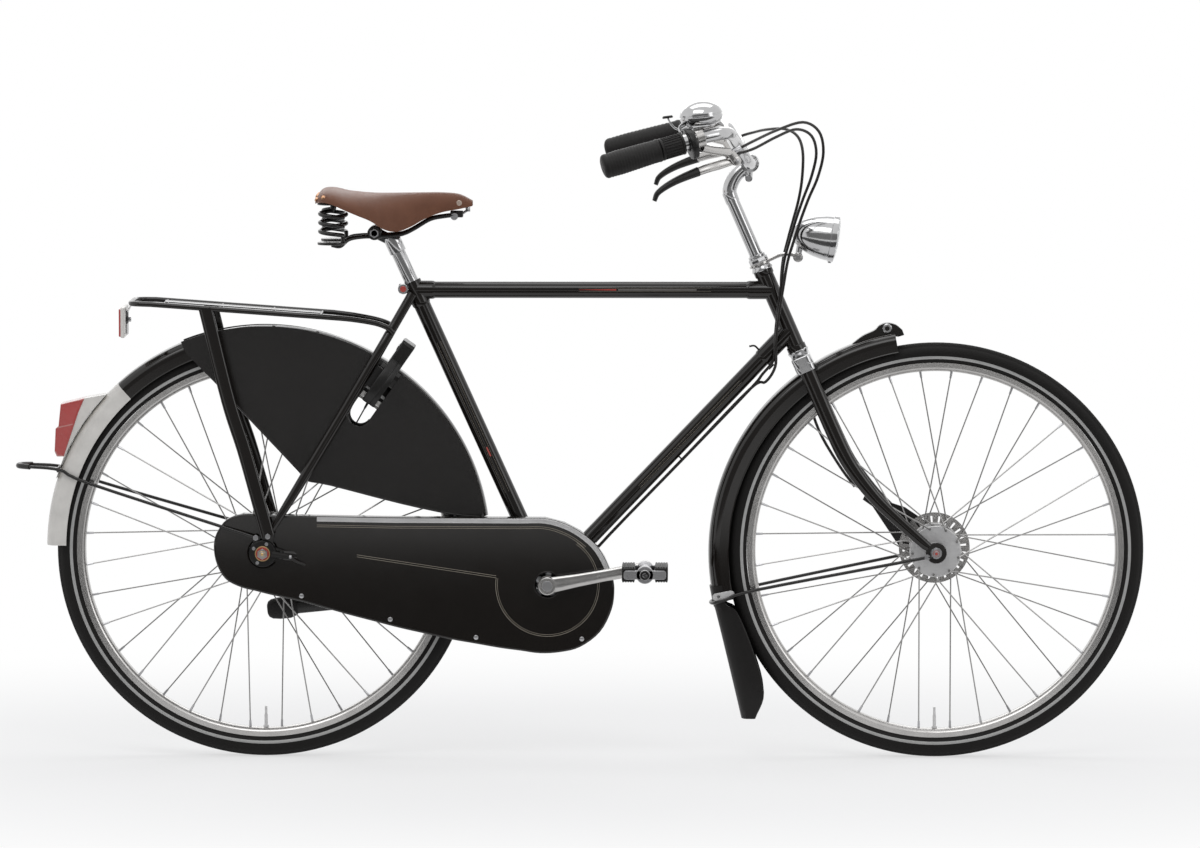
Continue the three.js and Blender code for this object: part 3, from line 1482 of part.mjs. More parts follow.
function cantleBody() {
  const z = saddleBase.z + coil.top + gap;
  const x = saddleBase.x - coil.back;
  const pads = sidesOf.map((side) => {
    const centre = at(x, side * coil.halfSpread, z);
    return rod(centre, centre.clone().add(at(0, 0, saddleSeat.topThick)), saddleSeat.radius, 10);
  });
  return joined(
    box(
      x - cantle.halfLong, x + cantle.halfLong, -coil.halfSpread, coil.halfSpread, z,
      z + saddleSeat.topThick,
    ),
    box(x - cantle.halfLong, x - cantle.halfLong + saddleSeat.topThick, -coil.halfSpread, coil.halfSpread, z,
      z + cantle.rise),
    pads,
  );
}

const springs = sidesOf.map((side) => springPoints(side));
console.log(
  "least gap of a saddle spring to itself", leastGap(springs[0], coil.wire, coil.perTurn / 2).toFixed(2),
);
add("saddle_leather", joined(leatherBody(), cantleBody()), leather);
add("saddle_frame", saddleFrameBody(), chrome);
add("saddle_spring_right", tubeThrough(springs[0], coil.wire, coil.sides), chrome);
add("saddle_spring_left", tubeThrough(springs[1], coil.wire, coil.sides), chrome);
add("seat_post", rod(seatPoint(seatTubeLength - seatPostSize.depth), seatPoint(
  saddleUp + saddleClamp.postRise - gap,
),
  seatPostSize.radius, 16), chrome);

// Luggage carrier and the reflector behind it

const carrier = {
  length: 450, rail: 4.5, sides: 6, rod: 3, plateHalf: 20, plateThick: 1.5, legHigh: 12, legWide: 5,
};
const carrierRailShares = [
  [0.4967, -0.0944, 0.8344],
  [0.4744, -0.0978, 0.8544],
  [0.4256, -0.0978, 0.8722],
  [0.3389, -0.1156, 0.8878],
  [0.2567, -0.1378, 0.8967],
  [-0.4233, -0.1378, 0.9456],
  [-0.4767, -0.1267, 0.9467],
  [-0.5007, -0.0889, 0.9471],
  [-0.5007, 0, 0.9471],
];
const carrierLegShares = [
  [-0.2144, -0.1378, 0.93],
  [-0.13, -0.1489, 0.5833],
  [-0.07, -0.1578, 0.3944],
  [-0.0167, -0.1711, 0.2056],
  [0.0211, -0.18, 0.0678],
];
const carrierRodShares = [0.06, 0.33, 0.62, 0.93];
const reflector = {
  back: 246.5, front: 236.5, low: 366.5, high: 418.5, halfWide: 45, tabHalf: 15, tabThick: 1.4,
};

function carrierBody() {
  const rail = onCentre(rearAxle, carrier.length, carrierRailShares);
  const [front, rear] = [rail[4], rail[5]];
  const rods = carrierRodShares.map((share) => {
    const p = front.clone().lerp(rear, share);
    return across(p, p.y, -p.y, carrier.rod, 6);
  });
  const up = carrier.rod + carrier.plateThick / 2;
  const middle = carrierRodShares.map((share) => front.clone().lerp(rear, share)).map(
    (p) => at(p.x, 0, p.z + up),
  );
  const plateBody = strap([middle[0], middle[middle.length - 1]], carrier.plateThick, carrier.plateHalf);
  const legs = sidesOf.map((side) => {
    const points = onCentre(rearAxle, carrier.length, carrierLegShares).map((p) => at(p.x, -side * p.y, p.z));
    return ovalPipe(points, points.map(() => carrier.legHigh), points.map(() => carrier.legWide), 6);
  });
  const end = rail[rail.length - 1];
  const tabX = rearAxle.x - reflector.front + gap + reflector.tabThick;
  const tab = strap(
    [end, at((end.x + tabX) / 2, 0, end.z - carrier.rail * 2), at(tabX, 0, end.z - carrier.rail * 4),
      at(tabX, 0, rearAxle.z + reflector.low + carrier.rail)],
    reflector.tabThick,
    reflector.tabHalf,
  );
  return joined(tubeThrough(bothSides(rail), carrier.rail, carrier.sides), rods, plateBody, legs, tab);
}

function reflectorBody() {
  return box(rearAxle.x - reflector.back, rearAxle.x - reflector.front, -reflector.halfWide, reflector.halfWide,
    rearAxle.z + reflector.low, rearAxle.z + reflector.high);
}

add("luggage_carrier", carrierBody(), blackPaint);
add("rear_reflector", reflectorBody(), redLens);

// Coat guards and the ring lock that stands in their slots

const lockAngle = 54.93;
const lock = {
  centre: 350,
  inner: 45,
  outer: 60,
  halfThick: 12,
  mouth: 50,
  catch: 14,
  blockFrom: 45.5,
  blockTo: 85,
  blockHalf: 34,
  groove: 52,
  grooveHalf: 4.2,
  grooveDepth: 7.4,
  shackle: 3.2,
  shackleFrom: 15,
  shackleTo: 128,
  lugFrom: 41,
  lugTo: 50,
  lugBack: 22.6,
};
const coat = { thick: 1.5, air: 28.5, from: 8.8, to: 111.5, slotStart: 284, slotHalf: 19, arcSteps: 12 };
const coatRadius = wheelRadius + coat.air;
const coatEdgeShares = [
  [-0.3484, 0, 0.8847],
  [-0.193, 0, 0.7241],
  [-0.0376, 0, 0.5609],
  [0.1593, 0, 0.351],
  [0.1878, 0, 0.3148],
  [0.294, 0, 0.294],
  [0.6049, 0, 0.2137],
  [0.8355, 0, 0.1645],
  [0.9598, 0, 0.1528],
];

function coatGuardBody(side) {
  const edge = onCentre(rearAxle, coatRadius, coatEdgeShares).map((p) => [p.x, p.z]);
  const arc = Array.from({ length: coat.arcSteps + 1 }, (_, i) => {
    const turn = THREE.MathUtils.lerp(coat.from, coat.to, i / coat.arcSteps);
    return [rearAxle.x + coatRadius * cos(turn), rearAxle.z + coatRadius * sin(turn)];
  });
  const inner = guard.halfWidth + gap;
  const outer = inner + coat.thick;
  const [y0, y1] = side < 0 ? [-outer, -inner] : [inner, outer];
  const along = at(cos(lockAngle), 0, sin(lockAngle));
  const normal = at(-along.z, 0, along.x).multiplyScalar(coat.slotHalf);
  const start = rearAxle.clone().addScaledVector(along, coat.slotStart);
  const end = rearAxle.clone().addScaledVector(along, coatRadius + coat.slotHalf);
  const corners = [
    start.clone().add(normal), end.clone().add(normal), end.clone().sub(normal),
    start.clone().sub(normal),
  ];
  return cut(
    plate(outline([...edge, ...arc]), y0, y1),
    across(start, y0 - overrun, y1 + overrun, coat.slotHalf, 12),
    plate(outline(corners.map((p) => [p.x, p.z])), y0 - overrun, y1 + overrun),
  );
}

const lockFrame = new THREE.Group();
lockFrame.position.copy(rearAxle);
lockFrame.rotation.y = degrees(-lockAngle);
bicycle.add(lockFrame);

function arcBand(inner, outer, from, to, steps) {
  const ring = (radius) =>
    Array.from({ length: steps + 1 }, (_, i) => {
      const turn = THREE.MathUtils.lerp(from, to, i / steps);
      return [lock.centre + radius * cos(turn), radius * sin(turn)];
    });
  return outline([...ring(outer), ...ring(inner).reverse()]);
}

function ringLockBody() {
  const open = 180 - lock.mouth;
  const horseshoe = slab(arcBand(lock.inner, lock.outer, -open, open, 14), -lock.halfThick, lock.halfThick);
  const groove = (from, to, steps) =>
    slab(
      arcBand(lock.groove - lock.grooveHalf, lock.groove + lock.grooveHalf, from, to, steps),
      -lock.halfThick - overrun,
      -lock.halfThick + lock.grooveDepth,
    );
  const block = box(lock.centre + lock.blockFrom, lock.centre + lock.blockTo, -lock.blockHalf, lock.blockHalf,
    -lock.halfThick, lock.halfThick);
  const lugs = sidesOf.map((side) =>
    box(lock.centre - lock.lugFrom / 3, lock.centre + lock.lugTo / 2, Math.min(
      side * lock.lugFrom, side * lock.lugTo,
    ),
      Math.max(side * lock.lugFrom, side * lock.lugTo), 0, lock.lugBack),
  );
  return cut(
    joined(horseshoe, block, lugs),
    groove(-overrun, open + overrun, 9),
    groove(-open - overrun, -open + lock.catch, 2),
  );
}

const shackleTab = { at: 96, length: 16, back: 4.3, half: 3 };

function shackleBody() {
  const mid = -lock.halfThick + lock.grooveDepth - gap - lock.shackle;
  const ring = (turn, radius) => at(lock.centre + radius * cos(turn), radius * sin(turn), mid);
  const points = Array.from({ length: 12 }, (_, i) =>
    ring(THREE.MathUtils.lerp(lock.shackleFrom, lock.shackleTo, i / 11), lock.groove),
  );
  const root = ring(shackleTab.at, lock.groove);
  const tip = ring(shackleTab.at, lock.groove + shackleTab.length);
  const low = at(0, 0, -shackleTab.back - lock.shackle);
  return joined(
    tubeThrough(points, lock.shackle, 6),
    rod(root, root.clone().add(low), shackleTab.half * 0.6, 6),
    rod(root.clone().add(low), tip.clone().add(low), shackleTab.half, 6),
  );
}

add("coat_guard_right", coatGuardBody(-1), blackPlastic);
add("coat_guard_left", coatGuardBody(1), blackPlastic);
add("ring_lock", ringLockBody(), blackPlastic, lockFrame);
add("lock_shackle", shackleBody(), steel, lockFrame);

// Axles with their cones and nuts

function axleBody(centre, half, plates, cones) {
  const pieces = sidesOf.flatMap((side) => {
    const span = (a, b) => [Math.min(side * a, side * b), Math.max(side * a, side * b)];
    const [inner, outer] = plates[side];
    return [
      across(centre, ...span(outer, outer + axle.nutLength), axle.nutRadius, axle.flatSides),
      across(centre, ...span(cones[side], inner), axle.coneRadius, 10),
    ];
  });
  return joined(across(centre, -half, half, axle.radius, 10), pieces);
}

const sprocket = { teeth: 20, pitchRadius: 40.6, boss: 22, from: 41.3, to: 53, clearance: 0.8, coneAir: 1 };
const forkOut = fork.halfSpacing + fork.endThick + gap;
const dropoutOut = dropout.inner + dropout.thick + gap;
const changer = {
  thick: 7.7, radius: 23, boot: 6, bootStand: 6.7, bootFrom: 15.5, bootTo: 45.5, bootRise: -5,
};
const frontBrake = {
  radius: 38, from: 32, to: 44, disc: 61, discFrom: 36, discTo: 39, armFrom: 40, armTo: 42.7,
};
const rearBrake = {
  radius: 45, from: 34.5, to: 58, disc: 61, discFrom: 38, discTo: 41, armFrom: 50, armTo: 53,
};
const frontArmShares = [
  [-1.959, 0, 1.4836],
  [-1.7295, 0, 1.4344],
  [-0.8279, 0, 1.1393],
  [-0.123, 0, 0.6639],
  [-0.0902, 0, -0.5328],
  [-0.6639, 0, -0.2049],
  [-1.0246, 0, 0.0738],
  [-1.7459, 0, 1.1557],
  [-2.0246, 0, 1.3525],
];
const rearArmShares = [
  [-0.4016, 0, -0.3689],
  [0.7459, 0, -0.7951],
  [1.7295, 0, -0.6639],
  [1.8443, 0, -0.582],
  [1.7295, 0, -0.4672],
  [0.7459, 0, -0.3525],
  [-0.1557, 0, 0.2049],
];

function hubBrakeBody(centre, size, armShares) {
  const arm = onCentre(centre, size.disc, armShares).map((p) => [p.x, p.z]);
  return cut(
    joined(
      across(centre, size.from, size.to, size.radius, 18),
      across(centre, size.discFrom, size.discTo, size.disc, 24),
      plate(outline(arm), size.armFrom, size.armTo),
    ),
    boreAcross(centre, size.from - overrun, size.to + overrun, axle.radius, 10),
  );
}

function gearChangerBody() {
  const from = at(rearAxle.x + changer.bootFrom, -dropoutOut - changer.bootStand, rearAxle.z);
  const to = at(rearAxle.x + changer.bootTo, from.y, rearAxle.z + changer.bootRise);
  return cut(
    joined(
      across(rearAxle, -dropoutOut - changer.thick, -dropoutOut, changer.radius, 16),
      rod(from, to, changer.boot, 8, changer.boot * 0.75),
    ),
    boreAcross(rearAxle, -dropoutOut - changer.thick - overrun, -dropoutOut + overrun, axle.radius, 10),
  );
}

const changerOut = dropoutOut + changer.thick + gap;
add("front_axle", axleBody(
  frontAxle,
  forkOut + axle.nutLength + axle.end,
  { "-1": [fork.halfSpacing - gap, forkOut], 1: [fork.halfSpacing - gap, forkOut] },
  { "-1": frontHub.rightEnd + gap, 1: frontBrake.to + gap },
), steel);
add("rear_axle", axleBody(
  rearAxle,
  changerOut + axle.nutLength + axle.end,
  { "-1": [dropout.inner - gap, changerOut], 1: [dropout.inner - gap, dropoutOut] },
  { "-1": sprocket.to + sprocket.coneAir, 1: rearBrake.to + gap },
), steel);
add("front_brake", hubBrakeBody(frontAxle, frontBrake, frontArmShares), alloy);
add("rear_brake", hubBrakeBody(rearAxle, rearBrake, rearArmShares), alloy);
add("gear_changer", gearChangerBody(), blackPlastic);

// Drive: cranks, chainring, sprocket, chain and pedals

const ring = {
  teeth: 40, pitchRadius: 80.9, inner: 66, halfThick: 1.7, rise: 2.4, arms: 5, armHalf: 7, hub: 20,
};
const chain = { halfHigh: 4.5, halfWide: 5, channel: 2.2, roof: 3.2, frontSteps: 11, rearSteps: 8 };
const crank = {
  inner: 70, outer: 84, halfHigh: 14, endHigh: 11.5, boss: 16.5, spindle: 8, spindleEnd: 76, sides: 12,
};
const pedal = {
  pin: 5, from: 97, to: 187, pinTo: 193, cap: 8, barrel: 11, half: 39, barFrom: 17, high: 13,
  endThick: 4,
};
const cartridge = { radius: 17.2, bore: 8.5, half: 33.5 };

function toothed(centre, pitchRadius, teeth) {
  return Array.from({ length: teeth * 2 }, (_, i) => {
    const r = pitchRadius + (i % 2 === 0 ? ring.rise : -ring.rise);
    const turn = (180 * i) / teeth;
    return [centre.x + r * cos(turn), centre.z + r * sin(turn)];
  });
}

function chainringBody() {
  const y0 = -chainLine - ring.halfThick;
  const y1 = -chainLine + ring.halfThick;
  const rim = cut(
    plate(outline(toothed(bottomBracket, ring.pitchRadius, ring.teeth)), y0, y1),
    across(bottomBracket, y0 - overrun, y1 + overrun, ring.inner, 24),
  );
  const arms = Array.from({ length: ring.arms }, (_, i) => {
    const turn = crankAngle + (360 * i) / ring.arms;
    const out = at(cos(turn), 0, sin(turn));
    const end = bottomBracket.clone().addScaledVector(out, ring.inner + ring.rise);
    const start = bottomBracket.clone().addScaledVector(out, ring.hub / 2);
    start.y = -chainLine;
    end.y = -chainLine;
    return strap([start, end], ring.armHalf, ring.halfThick);
  });
  return joined(rim, arms, across(bottomBracket, y0, y1, ring.hub, 16));
}

function crankArm(side) {
  const turn = side < 0 ? crankAngle : crankAngle + 180;
  const out = at(cos(turn), 0, sin(turn));
  const middle = side * ((crank.inner + crank.outer) / 2);
  const half = (crank.outer - crank.inner) / 2;
  const start = bottomBracket.clone().setY(middle);
  const end = start.clone().addScaledVector(out, crankLength);
  const neck = start.clone().lerp(end, 0.2);
  const span = (a, b) => [Math.min(side * a, side * b), Math.max(side * a, side * b)];
  return {
    end,
    body: joined(
      strap([start, neck, end], (crank.halfHigh + crank.endHigh) / 2 - gap * 5, half * 0.8),
      across(start, ...span(crank.inner, crank.outer), crank.halfHigh + gap * 6, crank.sides),
      across(end, ...span(crank.inner, crank.outer), crank.endHigh + gap * 6, crank.sides),
      across(end, ...span(crank.outer - gap, pedal.pinTo), pedal.pin, 8),
      across(end, ...span(pedal.to + gap, pedal.pinTo), pedal.cap, 8),
      across(end, ...span(crank.outer - gap, pedal.from - gap), pedal.cap, 8),
    ),
  };
}

function crankRightBody() {
  return cut(
    joined(
      crankArm(-1).body,
      across(bottomBracket, -crank.inner - gap, -chainLine + ring.halfThick, crank.boss, crank.sides),
      chainringBody(),
    ),
    boreAcross(bottomBracket, -crank.spindleEnd - gap, 0, crank.spindle, 12),
  );
}

function crankLeftBody() {
  return joined(
    crankArm(1).body, across(bottomBracket, -crank.spindleEnd, crank.inner + gap, crank.spindle, 12),
  );
}

function pedalBody(side) {
  const centre = crankArm(side).end;
  const span = (a, b) => [Math.min(side * a, side * b), Math.max(side * a, side * b)];
  const [y0, y1] = span(pedal.from, pedal.to);
  const bars = sidesOf.map((end) => {
    const [x0, x1] = [
      Math.min(end * pedal.barFrom, end * pedal.half), Math.max(end * pedal.barFrom, end * pedal.half),
    ];
    return box(centre.x + x0, centre.x + x1, y0, y1, centre.z - pedal.high, centre.z + pedal.high);
  });
  const plates = [[pedal.from, pedal.from + pedal.endThick], [pedal.to - pedal.endThick, pedal.to]].map((
    [a, b],
  ) =>
    box(
      centre.x - pedal.half, centre.x + pedal.half, ...span(a, b), centre.z - pedal.high * 0.7,
      centre.z + pedal.high * 0.7,
    ),
  );
  return cut(
    joined(across(centre, y0, y1, pedal.barrel, 10), bars, plates),
    boreAcross(centre, y0 - overrun, y1 + overrun, pedal.pin, 10),
  );
}

function sprocketBody() {
  const y0 = -chainLine - ring.halfThick;
  return cut(
    joined(
      plate(outline(toothed(rearAxle, sprocket.pitchRadius, sprocket.teeth)), y0, y0 + 2 * ring.halfThick),
      across(rearAxle, -sprocket.to, -sprocket.from, sprocket.boss, 14),
    ),
    boreAcross(
      rearAxle, -sprocket.to - overrun, -sprocket.from + overrun, axle.radius + sprocket.clearance, 10,
    ),
  );
}

// The loop that the chain follows, grown or shrunk by an offset
function chainLoop(offset) {
  const run = Math.atan2(rearAxle.z - bottomBracket.z, rearAxle.x - bottomBracket.x) * (180 / Math.PI);
  const lean = Math.acos((ring.pitchRadius - sprocket.pitchRadius) / chainStayLength) * (180 / Math.PI);
  const arc = (centre, radius, from, to, steps) =>
    Array.from({ length: steps + 1 }, (_, i) => {
      const turn = THREE.MathUtils.lerp(from, to, i / steps);
      return [centre.x + (radius + offset) * cos(turn), centre.z + (radius + offset) * sin(turn)];
    });
  return outline([
    ...arc(
      bottomBracket, ring.pitchRadius / cos(90 / chain.frontSteps), run - 360 + lean, run - lean,
      chain.frontSteps,
    ),
    ...arc(
      rearAxle, sprocket.pitchRadius / cos(90 / chain.rearSteps), run - lean, run + lean,
      chain.rearSteps,
    ),
  ]);
}

function chainBody() {
  const loop = (offset, half) => plate(chainLoop(offset), -chainLine - half, -chainLine + half);
  const tunnel = cut(loop(chain.roof, chain.channel), loop(-chain.halfHigh * 2, chain.channel + overrun));
  return cut(loop(chain.halfHigh, chain.halfWide), loop(-chain.halfHigh, chain.halfWide + overrun), tunnel);
}

add("bottom_bracket", cut(
  across(bottomBracket, -cartridge.half, cartridge.half, cartridge.radius, 16),
  boreAcross(bottomBracket, -cartridge.half - overrun, cartridge.half + overrun, cartridge.bore),
), steel);
add("crank_right", crankRightBody(), alloy);
add("crank_left", crankLeftBody(), alloy);
add("pedal_right", pedalBody(-1), rubber);
add("pedal_left", pedalBody(1), rubber);
add("sprocket", sprocketBody(), steel);
add("chain", chainBody(), steel);

// Kickstand on the left chain stay, folded back

function kickstandBody() {
  const pivot = kickPivot();
  const outward = at(0, cos(standMount.tilt), sin(standMount.tilt));
  const start = pivot.clone().addScaledVector(outward, gap);
  const end = pivot.clone().addScaledVector(outward, kick.hubLength);
  const root = start.clone().lerp(end, 0.5);
  const along = at(-cos(kick.fall), sin(kick.spread), -sin(kick.fall)).normalize();
  const toe = root.clone().addScaledVector(along, kick.length - kick.footLength);
  const heel = root.clone().addScaledVector(along, kick.length);
  const leg = [root, root.clone().addScaledVector(along, kick.hubRadius), toe];
  const foot = [toe, toe.clone().lerp(heel, 0.25), toe.clone().lerp(heel, 0.75), heel];
  return cut(
    joined(
      rod(start, end, kick.hubRadius, 12),
      ovalPipe(leg, leg.map(() => kick.halfHigh), leg.map(() => kick.halfWide), 8),
      ovalPipe(
        foot, [0.8, 1, 1, 0.6].map((share) => share * kick.footHalfHigh),
        foot.map(() => kick.footHalfWide), 8,
      ),
    ),
    boreRod(
      pivot.clone().addScaledVector(outward, -overrun), end.clone().addScaledVector(outward, overrun),
      kick.boltRadius,
    ),
  );
}

add("kickstand", kickstandBody(), alloy);

// Cables, whole along their runs

const cable = { radius: 2.5, sides: 5, under: 21.5, gearBeside: 4, brakeBeside: 3.4 };
const downTubeRunShares = [0.8, 0.52, 0.16];

function tubeRun(y) {
  return downTubeRunShares.map((share) => downTubePoint(share, cable.under, y));
}

const gearRoute = [
  ...[
    [229.5, -178.2, 1048.6],
    [238.5, -171.6, 1047.5],
    [262, -156, 1054],
    [300, -120, 1072],
    [334, -80, 1083],
    [360, -50, 1071],
    [369, -32, 1040],
    [361, -24, 1000],
    [347, -21, 962],
    [334, -21, 924],
    [324, -21, 890],
    [315, -21, 856],
    [310, -21, 815],
    [305, -21, 777],
    [301, -21, 741],
    [299, -21, 712],
    [297, -16, 685],
    [278, -8, 660],
  ].map((p) => at(...p)),
  ...tubeRun(-cable.gearBeside),
  ...[
    [-62, -4, 284],
    [-90, -5, 277],
    [-130, -18, 281],
    [-190, -32, 297],
    [-300, -41, 311],
    [-400, -48, 323],
    [-490, -55, 333],
    [-506, -64, 338],
    [-520, -74, 345],
    [-528.2, -77.8, 351.6],
  ].map((p) => at(...p)),
];
const rearBrakeRoute = [
  ...[
    [238.7, -195.4, 1057.2],
    [247, -191.2, 1061.1],
    [262, -176, 1068],
    [300, -120, 1083],
    [345, -80, 1095],
    [373, -50, 1078],
    [381, -36, 1042],
    [372, -30, 1000],
    [356, -28, 962],
    [342, -28, 924],
    [331, -28, 890],
    [321, -28, 856],
    [314, -28, 815],
    [308, -28, 777],
    [303, -28, 741],
    [301, -27, 708],
    [300, -17, 674],
    [284, -2, 647],
  ].map((p) => at(...p)),
  ...tubeRun(cable.brakeBeside),
  ...[
    [-62, 4, 284],
    [-90, 5, 277],
    [-130, 18, 281],
    [-190, 30, 296],
    [-240, 27, 303],
    [-300, 27, 309],
    [-340, 29, 316],
    [-400, 45, 325],
    [-445, 49, 327],
    [-462, 51, 326],
  ].map((p) => at(...p)),
];
const frontBrakeRoute = [
  ...[
    [238.7, 195.4, 1057.2],
    [247, 191.2, 1061.1],
    [261, 174, 1066],
    [286, 120, 1074],
    [317, 70, 1077],
    [338, 42, 1066],
    [347, 28, 1040],
    [346, 23, 996],
    [340, 22, 958],
    [330, 24, 920],
    [322, 26, 890],
    [312, 26, 850],
    [307, 26, 800],
    [304, 27, 760],
  ].map((p) => at(...p)),
  headPoint(-24, 31, -62),
  headPoint(-28, 34, -95),
  headPoint(-26, 40, -150),
  headPoint(-22, 43, -220),
  headPoint(-14, 42.6, -290),
  headPoint(-4, 41.4, -334),
];

function cableBody(route, steps) {
  return tubeThrough(smoothed(route, steps), cable.radius, cable.sides);
}

add("gear_cable", cableBody(gearRoute, 38), blackPlastic);
add("rear_brake_cable", cableBody(rearBrakeRoute, 38), blackPlastic);
add("front_brake_cable", cableBody(frontBrakeRoute, 22), blackPlastic);

// Chain case: an outer and an inner shell round the chain, with a bright trim along the top

const chainCase = {
  outer: 64,
  face: 62,
  split: 50,
  inner: 36,
  wall: 2,
  thick: 1.5,
  spindleHole: 21,
  axleHole: 24,
  stayGrow: 2,
  trimOut: 66,
  trimStart: 1,
  trimWide: 8,
  trimBack: 402,
  trimDrop: 12,
  notchFront: 406,
  notchBack: 474,
  notchLow: 26,
  notchHigh: 66,
};
const caseShares = [
  [-1.0644, 0, 0.2472],
  [-0.9213, 0, 0.2421],
  [-0.5332, 0, 0.236],
  [-0.0082, 0, 0.2339],
  [0.0592, 0, 0.2165],
  [0.1144, 0, 0.1879],
  [0.1655, 0, 0.1461],
  [0.2002, 0, 0.096],
  [0.2247, 0, 0.0368],
  [0.2339, 0, -0.0143],
  [0.2247, 0, -0.0858],
  [0.1839, 0, -0.1655],
  [0.1144, 0, -0.2186],
  [0.0449, 0, -0.237],
  [-0.0266, 0, -0.2411],
  [-0.1655, 0, -0.2227],
  [-0.3412, 0, -0.192],
  [-0.5148, 0, -0.1532],
  [-0.6885, 0, -0.1083],
  [-0.8641, 0, -0.0592],
  [-0.9683, 0, -0.0368],
  [-1.0725, 0, -0.0102],
  [-1.1256, 0, 0.0184],
  [-1.1563, 0, 0.0715],
  [-1.1665, 0, 0.1307],
  [-1.1563, 0, 0.1798],
  [-1.1216, 0, 0.2268],
];

function inset(points, distance) {
  return points.map(([x, z], i) => {
    const [x0, z0] = points[(i + points.length - 1) % points.length];
    const [x1, z1] = points[(i + 1) % points.length];
    const a = new THREE.Vector2(x - x0, z - z0).normalize();
    const b = new THREE.Vector2(x1 - x, z1 - z).normalize();
    const normal = new THREE.Vector2(a.y + b.y, -a.x - b.x).normalize();
    const stretch = distance / Math.max(0.5, Math.abs(normal.x * a.y - normal.y * a.x));
    return [x + normal.x * stretch, z + normal.y * stretch];
  });
}

const caseOutline = onCentre(bottomBracket, chainStayLength, caseShares).map((p) => [p.x, p.z]);

function chainCaseOuterBody() {
  const c = chainCase;
  const notch = box(bottomBracket.x - c.notchBack, bottomBracket.x - c.notchFront, -c.outer - overrun, -c.face + overrun,
    bottomBracket.z + c.notchLow, bottomBracket.z + c.notchHigh);
  return cut(
    plate(outline(caseOutline), -c.outer, -c.split),
    plate(outline(inset(caseOutline, c.wall)), -c.face, -c.split + overrun),
    across(bottomBracket, -c.outer - overrun, -c.split, c.spindleHole, 18),
    across(rearAxle, -c.outer - overrun, -c.split, c.axleHole, 18),
    notch,
  );
}

function chainCaseInnerBody() {
  const c = chainCase;
  const wall = c.inner + c.thick;
  return cut(
    plate(outline(caseOutline), -c.split + gap, -c.inner),
    plate(outline(inset(caseOutline, c.wall)), -c.split - overrun, -wall),
    across(bottomBracket, -c.outer, -c.inner + overrun, c.spindleHole, 18),
    across(rearAxle, -c.outer, -c.inner + overrun, c.axleHole, 18),
    chainStayBody(-1, c.stayGrow),
    tubeThrough(smoothed(gearRoute.slice(-9), 12), cable.radius + c.stayGrow, 6),
  );
}

function chainCaseTrimBody() {
  const c = chainCase;
  const start = inset(caseOutline, c.trimStart);
  const end = inset(caseOutline, c.trimStart + c.trimWide);
  const far = bottomBracket.x - chainStayLength;
  return cut(
    plate(outline(start), -c.trimOut, -c.outer - gap),
    plate(outline(end), -c.trimOut - overrun, -c.outer + overrun),
    box(
      far - c.trimBack, bottomBracket.x - c.trimBack, -c.trimOut - overrun, -c.outer + overrun, 0,
      wheelRadius * 2,
    ),
    box(
      far, bottomBracket.x + chainStayLength, -c.trimOut - overrun, -c.outer + overrun, 0,
      bottomBracket.z + c.trimDrop,
    ),
  );
}

add("chain_case_outer", chainCaseOuterBody(), blackPaint);
add("chain_case_inner", chainCaseInnerBody(), blackPaint);
add("chain_case_trim", chainCaseTrimBody(), alloy);

// The origin lies under the middle of the whole length, on the ground
const span = new THREE.Box3().setFromObject(bicycle);
bicycle.position.x = -(span.min.x + span.max.x) / 2;

export default bicycle;
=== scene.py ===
# Looks of a lugged city bicycle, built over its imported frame.
# Sizes are millimetres in the bicycle's own frame:
# X forward from midway between the axles, Y to the left, Z up.

import math

import bmesh
import bpy
from mathutils import Matrix, Vector


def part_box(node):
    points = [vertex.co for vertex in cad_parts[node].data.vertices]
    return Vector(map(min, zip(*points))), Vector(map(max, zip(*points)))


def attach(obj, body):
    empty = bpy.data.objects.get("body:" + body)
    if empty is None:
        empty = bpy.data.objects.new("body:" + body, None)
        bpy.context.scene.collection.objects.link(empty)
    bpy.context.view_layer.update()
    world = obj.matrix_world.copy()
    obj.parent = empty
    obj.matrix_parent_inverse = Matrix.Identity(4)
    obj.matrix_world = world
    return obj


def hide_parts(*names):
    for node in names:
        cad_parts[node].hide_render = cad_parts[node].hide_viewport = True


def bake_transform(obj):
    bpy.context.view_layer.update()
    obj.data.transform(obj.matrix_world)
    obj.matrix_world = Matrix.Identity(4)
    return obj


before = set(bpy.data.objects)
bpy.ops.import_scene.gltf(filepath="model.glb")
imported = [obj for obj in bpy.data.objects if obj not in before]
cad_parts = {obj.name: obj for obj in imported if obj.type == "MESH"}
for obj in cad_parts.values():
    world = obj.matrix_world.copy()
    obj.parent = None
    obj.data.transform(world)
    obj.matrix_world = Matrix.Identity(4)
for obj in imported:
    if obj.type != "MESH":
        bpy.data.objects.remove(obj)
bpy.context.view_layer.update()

# Driving sizes, the same as the solids'

WHEELBASE = 1151
TYRE_RADIUS = 357.5
HEAD_ANGLE = 66.4
SEAT_ANGLE = 65.6
CHAIN_STAY_LENGTH = 489.5
BRACKET_HEIGHT = 303
SEAT_TUBE_LENGTH = 566
TOP_TUBE_HEIGHT = 804.5
FORK_RAKE = 79.6
FORK_DROP = 484.9
CRANK_LENGTH = 170
CRANK_ANGLE = 10.4
CHAIN_LINE = 47


def sin(degrees):
    return math.sin(math.radians(degrees))


def cos(degrees):
    return math.cos(math.radians(degrees))


def at(x, y, z):
    return Vector((x, y, z))


def row_offset():
    """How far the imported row's X runs ahead of the bicycle's own."""
    low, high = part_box("rear_tyre")
    return (low.x + high.x) / 2 * 1000 + WHEELBASE / 2


TO_ROW = Matrix.Scale(0.001, 4) @ Matrix.Translation((row_offset(), 0, 0))

